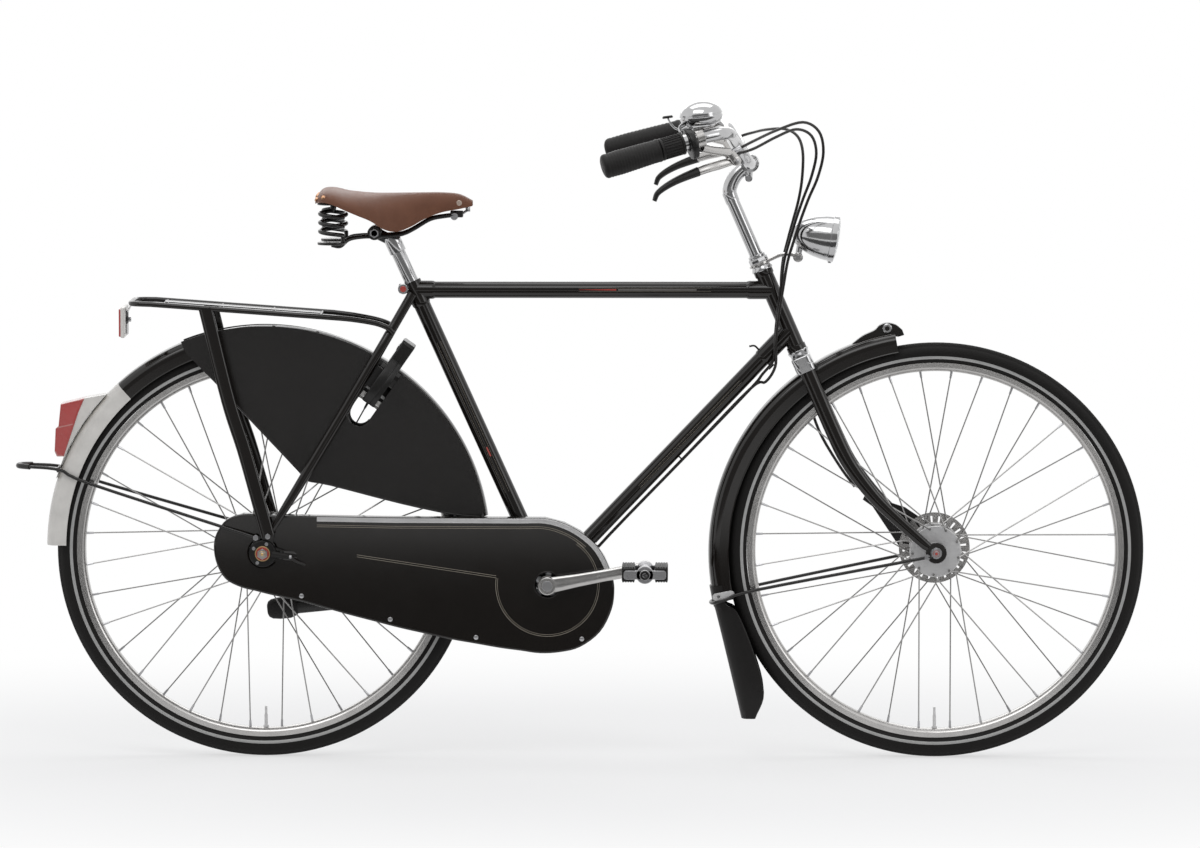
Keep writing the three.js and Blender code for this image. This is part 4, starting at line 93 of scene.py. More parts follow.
REAR_AXLE = at(-WHEELBASE / 2, 0, TYRE_RADIUS)
FRONT_AXLE = at(WHEELBASE / 2, 0, TYRE_RADIUS)
BRACKET_BACK = math.sqrt(CHAIN_STAY_LENGTH**2 - (TYRE_RADIUS - BRACKET_HEIGHT) ** 2)
BOTTOM_BRACKET = at(REAR_AXLE.x + BRACKET_BACK, 0, BRACKET_HEIGHT)
STEER_UP = at(-cos(HEAD_ANGLE), 0, sin(HEAD_ANGLE))
STEER_FORWARD = at(sin(HEAD_ANGLE), 0, cos(HEAD_ANGLE))
HEAD_CENTRE = FRONT_AXLE - FORK_RAKE * STEER_FORWARD + FORK_DROP * STEER_UP
SEAT_UP = at(-cos(SEAT_ANGLE), 0, sin(SEAT_ANGLE))
SIDES = (-1, 1)


def head_point(forward, y, up):
    point = HEAD_CENTRE + forward * STEER_FORWARD + up * STEER_UP
    point.y = y
    return point


def seat_point(up):
    return BOTTOM_BRACKET + up * SEAT_UP


def around(centre, radius, turn, y=0.0):
    """The point at a radius and turn from a centre, seen from the side."""
    return at(centre.x + radius * cos(turn), y, centre.z + radius * sin(turn))


def flat(points):
    return [(p.x, p.z) for p in points]


def outline_on(centre, scale, shares):
    return [(centre.x + scale * x, centre.z + scale * z) for x, z in shares]


def on_centre(centre, scale, shares):
    return [at(centre.x + scale * x, scale * y, centre.z + scale * z) for x, y, z in shares]


def both_sides(points):
    return points + [at(p.x, -p.y, p.z) for p in reversed(points) if p.y != 0]


def lerp(a, b, share):
    return a + (b - a) * share


# Shader node groups


def group(name, inputs, outputs):
    tree = bpy.data.node_groups.new(name, "ShaderNodeTree")
    for title, kind, value in inputs:
        socket = tree.interface.new_socket(title, in_out="INPUT", socket_type=kind)
        if value is not None:
            socket.default_value = value
    for title, kind in outputs:
        tree.interface.new_socket(title, in_out="OUTPUT", socket_type=kind)
    return tree, tree.nodes.new("NodeGroupInput"), tree.nodes.new("NodeGroupOutput")


def join(tree, source, target):
    tree.links.new(source, target)


def node(tree, kind, **settings):
    made = tree.nodes.new(kind)
    for key, value in settings.items():
        setattr(made, key, value)
    return made


def math_node(tree, operation, a, b=None, clamp=False):
    made = node(tree, "ShaderNodeMath", operation=operation, use_clamp=clamp)
    for socket, value in zip(made.inputs, (a, b)):
        if value is None:
            continue
        if isinstance(value, (int, float)):
            socket.default_value = value
        else:
            join(tree, value, socket)
    return made.outputs[0]


def noise(tree, vector, scale, detail=3.0, rough=0.5):
    made = node(tree, "ShaderNodeTexNoise")
    made.inputs["Detail"].default_value = detail
    made.inputs["Roughness"].default_value = rough
    join(tree, vector, made.inputs["Vector"])
    if isinstance(scale, (int, float)):
        made.inputs["Scale"].default_value = scale
    else:
        join(tree, scale, made.inputs["Scale"])
    return made.outputs["Fac"]


def handled_group():
    """Smears and dust of use, as a roughness that changes slowly over the surface."""
    tree, into, out = group(
        "Handled",
        [("Vector", "NodeSocketVector", None), ("Base", "NodeSocketFloat", 0.2),
         ("Amount", "NodeSocketFloat", 0.1)],
        [("Roughness", "NodeSocketFloat")],
    )
    smear = noise(tree, into.outputs["Vector"], 14, 4, 0.6)
    speck = noise(tree, into.outputs["Vector"], 260, 2, 0.7)
    centred = math_node(tree, "SUBTRACT", smear, 0.5)
    dust = math_node(tree, "MULTIPLY", math_node(tree, "SUBTRACT", speck, 0.5), 0.5)
    both = math_node(tree, "ADD", centred, dust)
    swing = math_node(tree, "MULTIPLY", both, into.outputs["Amount"])
    join(tree, math_node(tree, "ADD", into.outputs["Base"], swing, clamp=True), out.inputs["Roughness"])
    return tree


def grain_group():
    """Fine grain of a moulded or natural skin, as a height."""
    tree, into, out = group(
        "Grain",
        [("Vector", "NodeSocketVector", None), ("Scale", "NodeSocketFloat", 400.0)],
        [("Height", "NodeSocketFloat")],
    )
    cells = node(tree, "ShaderNodeTexVoronoi", feature="DISTANCE_TO_EDGE")
    join(tree, into.outputs["Vector"], cells.inputs["Vector"])
    join(tree, into.outputs["Scale"], cells.inputs["Scale"])
    ridge = math_node(tree, "MINIMUM", cells.outputs["Distance"], 0.12)
    fine = noise(tree, into.outputs["Vector"], into.outputs["Scale"], 3, 0.6)
    cracks = math_node(tree, "MULTIPLY", ridge, 6.0)
    pores = math_node(tree, "MULTIPLY", fine, 0.5)
    join(tree, math_node(tree, "ADD", cracks, pores), out.inputs["Height"])
    return tree


HANDLED = handled_group()
GRAIN = grain_group()


def place(tree, kind, **values):
    made = node(tree, "ShaderNodeGroup", node_tree=kind)
    for key, value in values.items():
        made.inputs[key].default_value = value
    return made


def finish(name, color, roughness, metallic=0.0, wear=0.1, grain=None, coat=0.0, variation=None,
           transmission=0.0, specular=0.5):
    """One material: a colour in two shades, a roughness that varies, and grain (strength, scale) as bump."""
    made = bpy.data.materials.new(name)
    made.use_nodes = True
    tree = made.node_tree
    shader = tree.nodes["Principled BSDF"]
    where = node(tree, "ShaderNodeTexCoord").outputs["Object"]
    used = place(tree, HANDLED, Base=roughness, Amount=wear)
    join(tree, where, used.inputs["Vector"])
    join(tree, used.outputs["Roughness"], shader.inputs["Roughness"])
    tone = node(tree, "ShaderNodeMix", data_type="RGBA")
    tone.inputs["A"].default_value = (*(c * 0.82 for c in color), 1)
    tone.inputs["B"].default_value = (*(variation or (min(1, c * 1.18) for c in color)), 1)
    patch = noise(tree, where, 34, 4, 0.6)
    join(tree, patch, tone.inputs["Factor"])
    join(tree, tone.outputs["Result"], shader.inputs["Base Color"])
    shader.inputs["Metallic"].default_value = metallic
    shader.inputs["Coat Weight"].default_value = coat
    shader.inputs["Coat Roughness"].default_value = 0.04
    shader.inputs["Transmission Weight"].default_value = transmission
    shader.inputs["Specular IOR Level"].default_value = specular
    if grain:
        strength, scale = grain
        skin = place(tree, GRAIN, Scale=scale)
        join(tree, where, skin.inputs["Vector"])
        bump = node(tree, "ShaderNodeBump")
        bump.inputs["Strength"].default_value = strength
        bump.inputs["Distance"].default_value = 0.0006
        join(tree, skin.outputs["Height"], bump.inputs["Height"])
        join(tree, bump.outputs["Normal"], shader.inputs["Normal"])
    return made


ENAMEL = finish("gloss_enamel", (0.008, 0.0062, 0.005), 0.1, wear=0.06)
CASE_ENAMEL = finish("case_enamel", (0.009, 0.0072, 0.0058), 0.1, wear=0.06)
VINYL = finish("coat_guard_vinyl", (0.008, 0.0065, 0.0055), 0.2, wear=0.1, grain=(0.06, 900))
WHITE_ENAMEL = finish("white_enamel", (0.72, 0.7, 0.66), 0.22, wear=0.08)
CHROME = finish("chrome_plate", (0.5, 0.5, 0.505), 0.13, metallic=1.0, wear=0.05)
POLISHED = finish("polished_alloy", (0.5, 0.49, 0.48), 0.22, metallic=1.0, wear=0.12, grain=(0.04, 1500))
BRUSHED = finish("brushed_alloy", (0.68, 0.675, 0.67), 0.34, metallic=0.5, wear=0.15, grain=(0.08, 1600))
ZINC = finish("zinc_steel", (0.46, 0.46, 0.47), 0.3, metallic=1.0, wear=0.14)
SPOKE_STEEL = finish("spoke_steel", (0.34, 0.335, 0.33), 0.3, metallic=1.0, wear=0.1)
BLACK_STEEL = finish("black_steel", (0.009, 0.008, 0.0075), 0.28, wear=0.12)
CHAIN_STEEL = finish("chain_steel", (0.2, 0.19, 0.18), 0.42, metallic=1.0, wear=0.2)
BRASS = finish("brass", (0.62, 0.43, 0.2), 0.3, metallic=1.0, wear=0.12)
COPPER = finish("copper_rivet", (0.6, 0.34, 0.2), 0.28, metallic=1.0, wear=0.15)
TYRE = finish("tyre_rubber", (0.0085, 0.0078, 0.0072), 0.6, wear=0.16, grain=(0.25, 700), specular=0.2)
TREAD = finish("tread_rubber", (0.007, 0.0065, 0.006), 0.75, wear=0.14, grain=(0.4, 500), specular=0.15)
STRIPE = finish("reflex_stripe", (0.42, 0.42, 0.41), 0.42, metallic=0.3, wear=0.12, grain=(0.1, 1200))
RUBBER = finish("grip_rubber", (0.01, 0.009, 0.0085), 0.5, wear=0.14, grain=(0.22, 800), specular=0.3)
FLAP = finish("flap_rubber", (0.009, 0.008, 0.0075), 0.4, wear=0.14, grain=(0.15, 600), specular=0.25)
PLASTIC = finish("black_plastic", (0.009, 0.0085, 0.008), 0.34, wear=0.12, grain=(0.12, 900), specular=0.35)
CABLE = finish("cable_cover", (0.012, 0.01, 0.009), 0.3, wear=0.1, grain=(0.05, 900), specular=0.4)
LEATHER = finish("saddle_leather", (0.145, 0.056, 0.03), 0.45, wear=0.2, grain=(0.5, 420),
                 variation=(0.205, 0.086, 0.048), specular=0.25)
RIVET = finish("pale_rivet", (0.5, 0.4, 0.33), 0.3, metallic=0.3, wear=0.08)
RED_LENS = finish("red_lens", (0.46, 0.06, 0.055), 0.14, wear=0.05, coat=0.6, grain=(0.2, 240))
PALE_LENS = finish("pale_lens", (0.56, 0.22, 0.2), 0.14, wear=0.05, coat=0.6, grain=(0.2, 240))
RED_PAINT = finish("red_paint", (0.42, 0.05, 0.035), 0.25, wear=0.06, coat=0.6)
GOLD_LINE = finish("gold_line", (0.28, 0.25, 0.2), 0.3, wear=0.06)
GREY_LINE = finish("grey_line", (0.15, 0.14, 0.13), 0.3, wear=0.06)
LAMP_GLASS = finish("lamp_glass", (0.92, 0.94, 0.95), 0.05, wear=0.03, transmission=0.6, coat=0.5)


# Mesh building in millimetres


def paint(faces, index):
    for face in faces:
        face.material_index = index


def thicken(bm, faces, step):
    """Makes the faces solid by the given step and gives the vertices that moved."""
    grown = bmesh.ops.extrude_face_region(bm, geom=faces)["geom"]
    moved = [g for g in grown if isinstance(g, bmesh.types.BMVert)]
    bmesh.ops.translate(bm, vec=step, verts=moved)
    return moved


def soften(bm, edges, offset, segments, clamp_overlap=True):
    bmesh.ops.bevel(bm, geom=list(edges), offset=offset, segments=segments, profile=0.5, affect="EDGES",
                    clamp_overlap=clamp_overlap, material=-1)


def rims_of(verts):
    """The edges round the large end faces of a solid."""
    return [e for e in {e for v in verts for e in v.link_edges} if any(len(f.verts) > 4 for f in e.link_faces)]


def rounded(points, per_span=6):
    """A smooth path through the points, with the given number of steps in each span."""
    ends = [2 * points[0] - points[1], *points, 2 * points[-1] - points[-2]]
    path = []
    for a, b, c, d in zip(ends, ends[1:], ends[2:], ends[3:]):
        for i in range(per_span):
            t = i / per_span
            line = 2 * b + (c - a) * t
            path.append((line + (2 * a - 5 * b + 4 * c - d) * t**2 + (3 * b - a - 3 * c + d) * t**3) / 2)
    return [*path, points[-1].copy()]


def spread(values, count):
    """The values drawn out evenly to the given number of places."""
    last = len(values) - 1
    made = []
    for i in range(count):
        along = i * last / (count - 1)
        low = min(int(along), last - 1)
        made.append(lerp(values[low], values[low + 1], along - low))
    return made


def frames_along(points, wide=None):
    """A matrix at each point: local Z runs along the path and local X keeps to the side without twist."""
    made = []
    for i, point in enumerate(points):
        along = (points[min(i + 1, len(points) - 1)] - points[max(i - 1, 0)]).normalized()
        if wide is None:
            wide = at(0, 1, 0) if abs(along.y) < 0.8 else at(1, 0, 0)
        wide = (wide - along * along.dot(wide)).normalized()
        high = along.cross(wide)
        made.append(Matrix((wide, high, along)).transposed().to_4x4())
        made[-1].translation = point
    return made


def sweep(bm, points, sizes, sides=16, wide=None, index=0, power=1.0):
    """A tube through the points. A size is a radius, or a pair across and along local X and Y."""
    if not isinstance(sizes, list):
        sizes = [sizes] * len(points)
    scales = [Matrix.Diagonal((*(s if isinstance(s, tuple) else (s, s)), 1, 1)) for s in sizes]
    places = [f @ s for f, s in zip(frames_along(points, wide), scales)]
    ring = bmesh.ops.create_circle(bm, cap_ends=True, radius=1, segments=sides)["verts"]
    if power != 1.0:
        for v in ring:
            v.co = at(*(math.copysign(abs(c) ** power, c) for c in v.co))
    bmesh.ops.transform(bm, matrix=places[0], verts=ring)
    edges = list({e for v in ring for e in v.link_edges})
    made = list(ring)
    for before, after in zip(places, places[1:]):
        grown = bmesh.ops.extrude_edge_only(bm, edges=edges)["geom"]
        verts = [g for g in grown if isinstance(g, bmesh.types.BMVert)]
        known = set(verts)
        edges = [g for g in grown if isinstance(g, bmesh.types.BMEdge) and known.issuperset(g.verts)]
        bmesh.ops.transform(bm, matrix=after @ before.inverted(), verts=verts)
        made += verts
    bmesh.ops.edgeloop_fill(bm, edges=edges)
    paint({f for v in made for f in v.link_faces}, index)


def rod(bm, start, end, radius, sides=20, end_radius=None, index=0, bevel=0.0):
    along = end - start
    place_there = at(0, 0, 1).rotation_difference(along.normalized()).to_matrix().to_4x4()
    place_there.translation = (start + end) / 2
    verts = bmesh.ops.create_cone(bm, cap_ends=True, segments=sides, radius1=radius,
                                  radius2=radius if end_radius is None else end_radius,
                                  depth=along.length, matrix=place_there)["verts"]
    paint({f for v in verts for f in v.link_faces}, index)
    if bevel:
        soften(bm, rims_of(verts), bevel, 2, False)


def across(bm, centre, y0, y1, radius, sides=24, index=0, bevel=0.0):
    rod(bm, at(centre.x, y0, centre.z), at(centre.x, y1, centre.z), radius, sides, index=index, bevel=bevel)


def turned(bm, profile, origin, direction, steps=48, index=0):
    """A profile of (radius, distance) spun round the line through origin along direction."""
    verts = [bm.verts.new((r, 0, d)) for r, d in profile]
    edges = [bm.edges.new(pair) for pair in zip(verts, verts[1:])]
    if profile[0][0] and profile[-1][0]:
        edges.append(bm.edges.new((verts[-1], verts[0])))
    made = bmesh.ops.spin(bm, geom=verts + edges, axis=(0, 0, 1), cent=(0, 0, 0), angle=math.tau,
                          steps=steps, use_merge=True)
    reached = linked([*verts, *(g for g in made["geom_last"] if isinstance(g, bmesh.types.BMVert))])
    stand = at(0, 0, 1).rotation_difference(direction.normalized()).to_matrix().to_4x4()
    stand.translation = origin
    bmesh.ops.transform(bm, matrix=stand, verts=list(reached))
    bmesh.ops.remove_doubles(bm, verts=list(reached), dist=0.001)
    paint({f for v in reached if v.is_valid for f in v.link_faces}, index)


def linked(start):
    """Every vertex joined to the given ones."""
    reached = set(start)
    waiting = list(start)
    while waiting:
        for e in waiting.pop().link_edges:
            for v in e.verts:
                if v not in reached:
                    reached.add(v)
                    waiting.append(v)
    return reached


def plate(bm, outline, y0, y1, index=0, bevel=0.0, segments=2):
    """An outline in X and Z made solid between two values of Y, with rounded edges."""
    verts = [bm.verts.new((x, y0, z)) for x, z in outline]
    verts += thicken(bm, [bm.faces.new(verts)], (0, y1 - y0, 0))
    paint({f for v in verts for f in v.link_faces}, index)
    if bevel:
        soften(bm, rims_of(verts), bevel, segments)


def slab(bm, place_there, outline, low, high, bevel):
    """An outline made solid between two heights in the frame that place_there gives."""
    verts = [bm.verts.new(place_there(x, y, low)) for x, y in outline]
    verts += thicken(bm, [bm.faces.new(verts)], place_there(0, 0, high) - place_there(0, 0, low))
    soften(bm, rims_of(verts), bevel, 3)


def block(bm, low, high, index=0, bevel=1.0):
    stand = Matrix.Translation((low + high) / 2) @ Matrix.Diagonal((*(high - low), 1))
    verts = bmesh.ops.create_cube(bm, size=1, matrix=stand)["verts"]
    paint({f for v in verts for f in v.link_faces}, index)
    soften(bm, {e for v in verts for e in v.link_edges}, bevel, 3, False)


# A side face above this many square metres is shaded flat
LARGE_FLAT = 5e-6
SIDEWAYS = 0.9999


def piece(name, bm, materials, body, stands_for=None, crease=35):
    """Takes a mesh in millimetres to the row frame, gives it its finishes and lets it ride on its body."""
    bmesh.ops.remove_doubles(bm, verts=bm.verts, dist=0.002)
    bmesh.ops.recalc_face_normals(bm, faces=bm.faces)
    bmesh.ops.transform(bm, matrix=TO_ROW, verts=bm.verts)
    mesh = bpy.data.meshes.new(name)
    bm.to_mesh(mesh)
    bm.free()
    mesh.polygons.foreach_set("use_smooth", [True] * len(mesh.polygons))
    mesh.set_sharp_from_angle(angle=math.radians(crease))
    for face in mesh.polygons:
        if face.area > LARGE_FLAT and abs(face.normal.y) > SIDEWAYS:
            face.use_smooth = False
    made = bpy.data.objects.new(name, mesh)
    bpy.context.scene.collection.objects.link(made)
    for material in materials if isinstance(materials, list) else [materials]:
        mesh.materials.append(material)
    if body:
        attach(made, body)
    if stands_for:
        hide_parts(stands_for)
    return made


def dress(material, *names):
    """Gives a CAD node that is shown as it is its finish."""
    for name in names:
        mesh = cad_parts[name].data
        mesh.materials.clear()
        mesh.materials.append(material)


# Camera and cables

HEAD_HALF = 75
DOWN_TUBE_TOP = head_point(0, 0, -HEAD_HALF * 2 * 0.255)
DOWN_ALONG = (DOWN_TUBE_TOP - BOTTOM_BRACKET).normalized()
DOWN_UNDER = at(DOWN_ALONG.z, 0, -DOWN_ALONG.x)


def down_point(share, under=0.0, y=0.0):
    point = BOTTOM_BRACKET.lerp(DOWN_TUBE_TOP, share) + DOWN_UNDER * under
    point.y = y
    return point


# The camera, found from the wheels, pedals and head: metres, radians and pixels of the photograph
CAMERA_PLACE = (0.14322, -11.2251, 1.5607)
CAMERA_YAW = -0.01276
CAMERA_PITCH = 0.08769
CAMERA_FOCUS = 6568
PHOTO_WIDTH = 1200
SENSOR_WIDTH = 36


def camera():
    level = math.cos(CAMERA_PITCH)
    forward = Vector((math.sin(CAMERA_YAW) * level, math.cos(CAMERA_YAW) * level, -math.sin(CAMERA_PITCH)))
    right = Vector((math.cos(CAMERA_YAW), -math.sin(CAMERA_YAW), 0))
    stand = Matrix((right, right.cross(forward), -forward)).transposed().to_4x4()
    stand.translation = Vector(CAMERA_PLACE) + Vector((row_offset() / 1000, 0, 0))
    data = bpy.data.cameras.new("photo_camera")
    data.sensor_width = SENSOR_WIDTH
    data.lens = CAMERA_FOCUS / PHOTO_WIDTH * SENSOR_WIDTH
    made = bpy.data.objects.new("photo_camera", data)
    made.matrix_world = stand
    bpy.context.scene.collection.objects.link(made)
    bpy.context.scene.camera = made


CABLE_RADIUS = 2.5
CABLE_UNDER = 21.5
RUN_SHARES = (0.8, 0.52, 0.16)
GEAR_START = [(229.5, -178.2, 1048.6), (238.5, -171.6, 1047.5), (262, -156, 1054), (300, -120, 1072),
              (334, -80, 1083), (360, -50, 1071), (369, -32, 1040), (361, -24, 1000), (347, -21, 962),
              (334, -21, 924), (324, -21, 890), (315, -21, 856), (310, -21, 815), (305, -21, 777),
              (301, -21, 741), (299, -21, 712), (297, -16, 685), (278, -8, 660)]
GEAR_END = [(-62, -4, 284), (-90, -5, 277), (-130, -18, 281), (-190, -32, 297), (-300, -41, 311),
            (-400, -48, 323), (-490, -55, 333), (-506, -64, 338), (-520, -74, 345),
            (-528.2, -77.8, 351.6)]
REAR_BRAKE_START = [(238.7, -195.4, 1057.2), (247, -191.2, 1061.1), (262, -176, 1068), (300, -120, 1083),
                    (345, -80, 1095), (373, -50, 1078), (381, -36, 1042), (372, -30, 1000),
                    (356, -28, 962), (342, -28, 924), (331, -28, 890), (321, -28, 856), (314, -28, 815),
                    (308, -28, 777), (303, -28, 741), (301, -27, 708), (300, -17, 674), (284, -2, 647)]
REAR_BRAKE_END = [(-62, 4, 284), (-90, 5, 277), (-130, 18, 281), (-190, 30, 296), (-240, 27, 303),
                  (-300, 27, 309), (-340, 29, 316), (-400, 45, 325), (-445, 49, 327), (-462, 51, 326)]
FRONT_BRAKE_START = [(238.7, 195.4, 1057.2), (247, 191.2, 1061.1), (261, 174, 1066), (286, 120, 1074),
                     (317, 70, 1077), (338, 42, 1066), (347, 28, 1040), (346, 23, 996), (340, 22, 958),
                     (330, 24, 920), (322, 26, 890), (313, 26, 850), (311, 27, 800), (322, 29, 760)]
FRONT_BRAKE_END = [(8, 32, -62), (3, 35, -95), (-14, 41, -150), (-22, 43, -220), (-14, 42.6, -290),
                   (-4, 41.4, -334)]


def tube_run(y):
    return [down_point(share, CABLE_UNDER, y) for share in RUN_SHARES]


def cable_piece(name, route, body):
    """A housing along its route; one without a body rides on none and runs between the steering and the frame.
    """
    points = rounded(route, 5)
    bm = bmesh.new()
    sweep(bm, points, CABLE_RADIUS, 16, wide=at(0, 0, 1))
    made = piece(f"{name}_housing", bm, CABLE, body, name)
    if not body:
        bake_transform(made)
    path = [TO_ROW @ p for p in points]
    length = sum((b - a).length for a, b in zip(path, path[1:]))
    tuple(path[0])


def cables():
    def run(points):
        return [at(*p) for p in points]

    fork_run = [head_point(*p) for p in FRONT_BRAKE_END]
    cable_piece("gear_cable", run(GEAR_START) + tube_run(-4) + run(GEAR_END), None)
    cable_piece("rear_brake_cable", run(REAR_BRAKE_START) + tube_run(3.4) + run(REAR_BRAKE_END), None)
    cable_piece("front_brake_cable", run(FRONT_BRAKE_START) + fork_run, "steering_body")


camera()
cables()

# Wheels

TYRE_SECTION = [(323.8, 12.6), (326.5, 15.8), (330, 17.9), (335, 19.2), (341, 19.6), (347, 18.2),
                (351.5, 15), (355.2, 9.6), (356.9, 4.4), (357.4, 0)]
RIM_SECTION = [(308.5, 6), (309.6, 8.6), (313.6, 12.4), (315.2, 13), (323.3, 13), (323.3, 11.2),
               (317, 11), (314, 6)]
STRIPE_FROM = 330
STRIPE_TO = 335
STRIPE_OUT = 15
TREAD_FROM = 350
SPOKES = 36
CROSSING = 40
SPOKE_RADIUS = 1.2
SPOKE_REACH = 309
VALVE_REACH = 308
WHEELS = {
    "front": {"centre": FRONT_AXLE, "flange": 44, "at": 27, "thick": 4, "barrel": 17, "left": 31, "right": 37,
              "end": 13},
    "rear": {"centre": REAR_AXLE, "flange": 47, "at": 28, "thick": 4, "barrel": 35, "left": 33, "right": 40.4,
             "end": 17},
}


def wheel_tyre(name, hub):
    bm = bmesh.new()
    profile = [(r, -y) for r, y in TYRE_SECTION] + [(r, y) for r, y in reversed(TYRE_SECTION[:-1])]
    turned(bm, profile, hub["centre"], at(0, 1, 0), steps=180)
    for face in bm.faces:
        offset = face.calc_center_median() - hub["centre"]
        r = math.hypot(offset.x, offset.z)
        if STRIPE_FROM < r < STRIPE_TO and abs(offset.y) > STRIPE_OUT:
            face.material_index = 1
        elif r > TREAD_FROM:
            face.material_index = 2
    piece(f"{name}_tyre_tread", bm, [TYRE, STRIPE, TREAD], f"{name}_wheel_body", f"{name}_tyre")


def wheel_rim(name, hub):
    bm = bmesh.new()
    profile = [(r, -y) for r, y in RIM_SECTION] + [(r, y) for r, y in reversed(RIM_SECTION)]
    turned(bm, profile, hub["centre"], at(0, 1, 0), steps=180)
    inward = at(0, 0, 1)
    stem = hub["centre"] - inward * VALVE_REACH
    rod(bm, stem, stem + inward * 3, 4.6, 12, index=1)
    rod(bm, stem, stem + inward * 22, 2.9, 12, index=1)
    rod(bm, stem + inward * 22, stem + inward * 36, 2.2, 12, index=1, bevel=0.6)
    piece(f"{name}_rim_and_valve", bm, [POLISHED, BRUSHED], f"{name}_wheel_body", f"{name}_rim")


def spoke_ends(index, hub):
    rim_angle = 360 / SPOKES * (index + 0.5)
    lead = 1 if index % 4 in (0, 3) else -1
    side = -1 if index % 2 == 0 else 1
    hub_angle = rim_angle + lead * CROSSING
    hole = hub["flange"] - hub["thick"]
    y = side * hub["at"] + lead * (hub["thick"] / 2 + SPOKE_RADIUS)
    return around(hub["centre"], hole, hub_angle, y), around(hub["centre"], SPOKE_REACH, rim_angle, side * 3)


def wheel_hub(name, hub):
    bm = bmesh.new()
    f, t, y = hub["flange"], hub["thick"] / 2, hub["at"]
    right, left, end, barrel = -hub["right"], hub["left"], hub["end"], hub["barrel"]
    profile = [(5.2, right), (end - 1.5, right), (end, right + 1.5), (end, -y - t - 4),
               (end + 3, -y - t), (f - 1, -y - t), (f, -y - t + 1), (f, -y + t - 1), (f - 1, -y + t),
               (barrel + 4, -y + t), (barrel, -y + t + 4), (barrel, y - t - 4), (barrel + 4, y - t),
               (f - 1, y - t), (f, y - t + 1), (f, y + t - 1), (f - 1, y + t), (end + 3, y + t),
               (end, y + t + 1), (end, left), (5.2, left)]
    turned(bm, profile, hub["centre"], at(0, 1, 0), steps=72)
    for i in range(SPOKES):
        start, stop = spoke_ends(i, hub)
        along = (stop - start).normalized()
        rod(bm, start, stop, SPOKE_RADIUS, 8, index=1)
        rod(bm, stop - along * 12, stop, 1.9, 8, end_radius=2.3, index=2)
        head = at(start.x, start.y + (1.2 if start.y > stop.y else -1.2), start.z)
        across(bm, head, head.y - 1, head.y + 1, 2.2, 8, index=1)
    slots = [BRUSHED, SPOKE_STEEL, ZINC]
    piece(f"{name}_hub_and_spokes", bm, slots, f"{name}_wheel_body", f"{name}_hub")


for wheel_name, wheel_sizes in WHEELS.items():
    wheel_tyre(wheel_name, wheel_sizes)
    wheel_rim(wheel_name, wheel_sizes)
    wheel_hub(wheel_name, wheel_sizes)


# Frame

TUBE_RADIUS = 14.3
LUG_GROW = 1.7
LUG_LENGTH = 42
PAINT_LIFT = 0.12
HEAD_RADIUS = 15
CUP_RADIUS = 18.5
CUP_HEIGHT = 9
HEAD_BORE = 12.8
DROPOUT_INNER = 66
DROPOUT_THICK = 5
DROPOUT_RADIUS = 17

TOP_TUBE_FRONT = head_point(0, 0, (TOP_TUBE_HEIGHT - HEAD_CENTRE.z) / STEER_UP.z)
SEAT_TUBE_TOP = seat_point(SEAT_TUBE_LENGTH)
TOP_TUBE_REAR = seat_point((TOP_TUBE_HEIGHT - BRACKET_HEIGHT) / SEAT_UP.z)
SEAT_STAY_SPREAD = [0, 0.24, 0.48, 0.64, 0.82, 1, 1]
SEAT_STAY_ALONG = [0, 0.14, 0.26, 0.5, 0.77, 0.905, 1]
CHAIN_STAY_BACK = [0, 101, 411, CHAIN_STAY_LENGTH - DROPOUT_RADIUS * 2]
CHAIN_STAY_OUT = [26, 34, 53, DROPOUT_INNER + DROPOUT_THICK / 2]
REAR_RADIUS = 381.5
FRONT_RADIUS = 385.5
REAR_GUARD = {"radius": REAR_RADIUS, "x": 6, "z": 5, "start": 8.3, "end": 179.5}
FRONT_GUARD = {"radius": FRONT_RADIUS, "x": -4, "z": -4, "start": 100, "end": 193}
REAR_STAY = [(-0.0301, -0.2031, 0.0721), (-0.7798, -0.0944, 0.3028), (-0.9161, -0.0789, 0.363),
             (-1.055, -0.0629, 0.3761), (-1.0996, -0.0341, 0.3775), (-1.1101, 0, 0.3775)]
STAND_BACK = 226
STAND_TILT = 20.9


def lugged(bm, start, end, start_lug, end_lug):
    """A round tube whose ends sit in sleeves with softened mouths."""
    length = (end - start).length
    big = TUBE_RADIUS + LUG_GROW
    mouth = [(big, 5), (big - LUG_GROW * 0.25, 1.8), (TUBE_RADIUS + 0.2, -0.2), (TUBE_RADIUS, -1)]
    profile = [(0, 0), (big, 0)] + [(r, start_lug - d) for r, d in mouth]
    profile += [(r, length - end_lug + d) for r, d in reversed(mouth)] + [(big, length), (0, length)]
    turned(bm, profile, start, end - start, steps=32)


def chain_stay_point(side, share):
    point = BOTTOM_BRACKET.lerp(REAR_AXLE, share)
    back = share * CHAIN_STAY_LENGTH
    i = 0
    while i < 2 and back > CHAIN_STAY_BACK[i + 1]:
        i += 1
    within = min(1, (back - CHAIN_STAY_BACK[i]) / (CHAIN_STAY_BACK[i + 1] - CHAIN_STAY_BACK[i]))
    point.y = side * lerp(CHAIN_STAY_OUT[i], CHAIN_STAY_OUT[i + 1], within)
    return point


def chain_stay(bm, side):
    end = 1 - DROPOUT_RADIUS * 1.7 / CHAIN_STAY_LENGTH
    shares = [0, 0.1, 0.206, 0.36, 0.523, 0.7, 0.84, 0.9, end]
    points = rounded([chain_stay_point(side, s) for s in shares], 3)
    high = spread([lerp(11, 8.5, s) for s in shares], len(points))
    wide = spread([lerp(6.2, 4.2, s) for s in shares], len(points))
    sweep(bm, points, list(zip(wide, high)), 20)


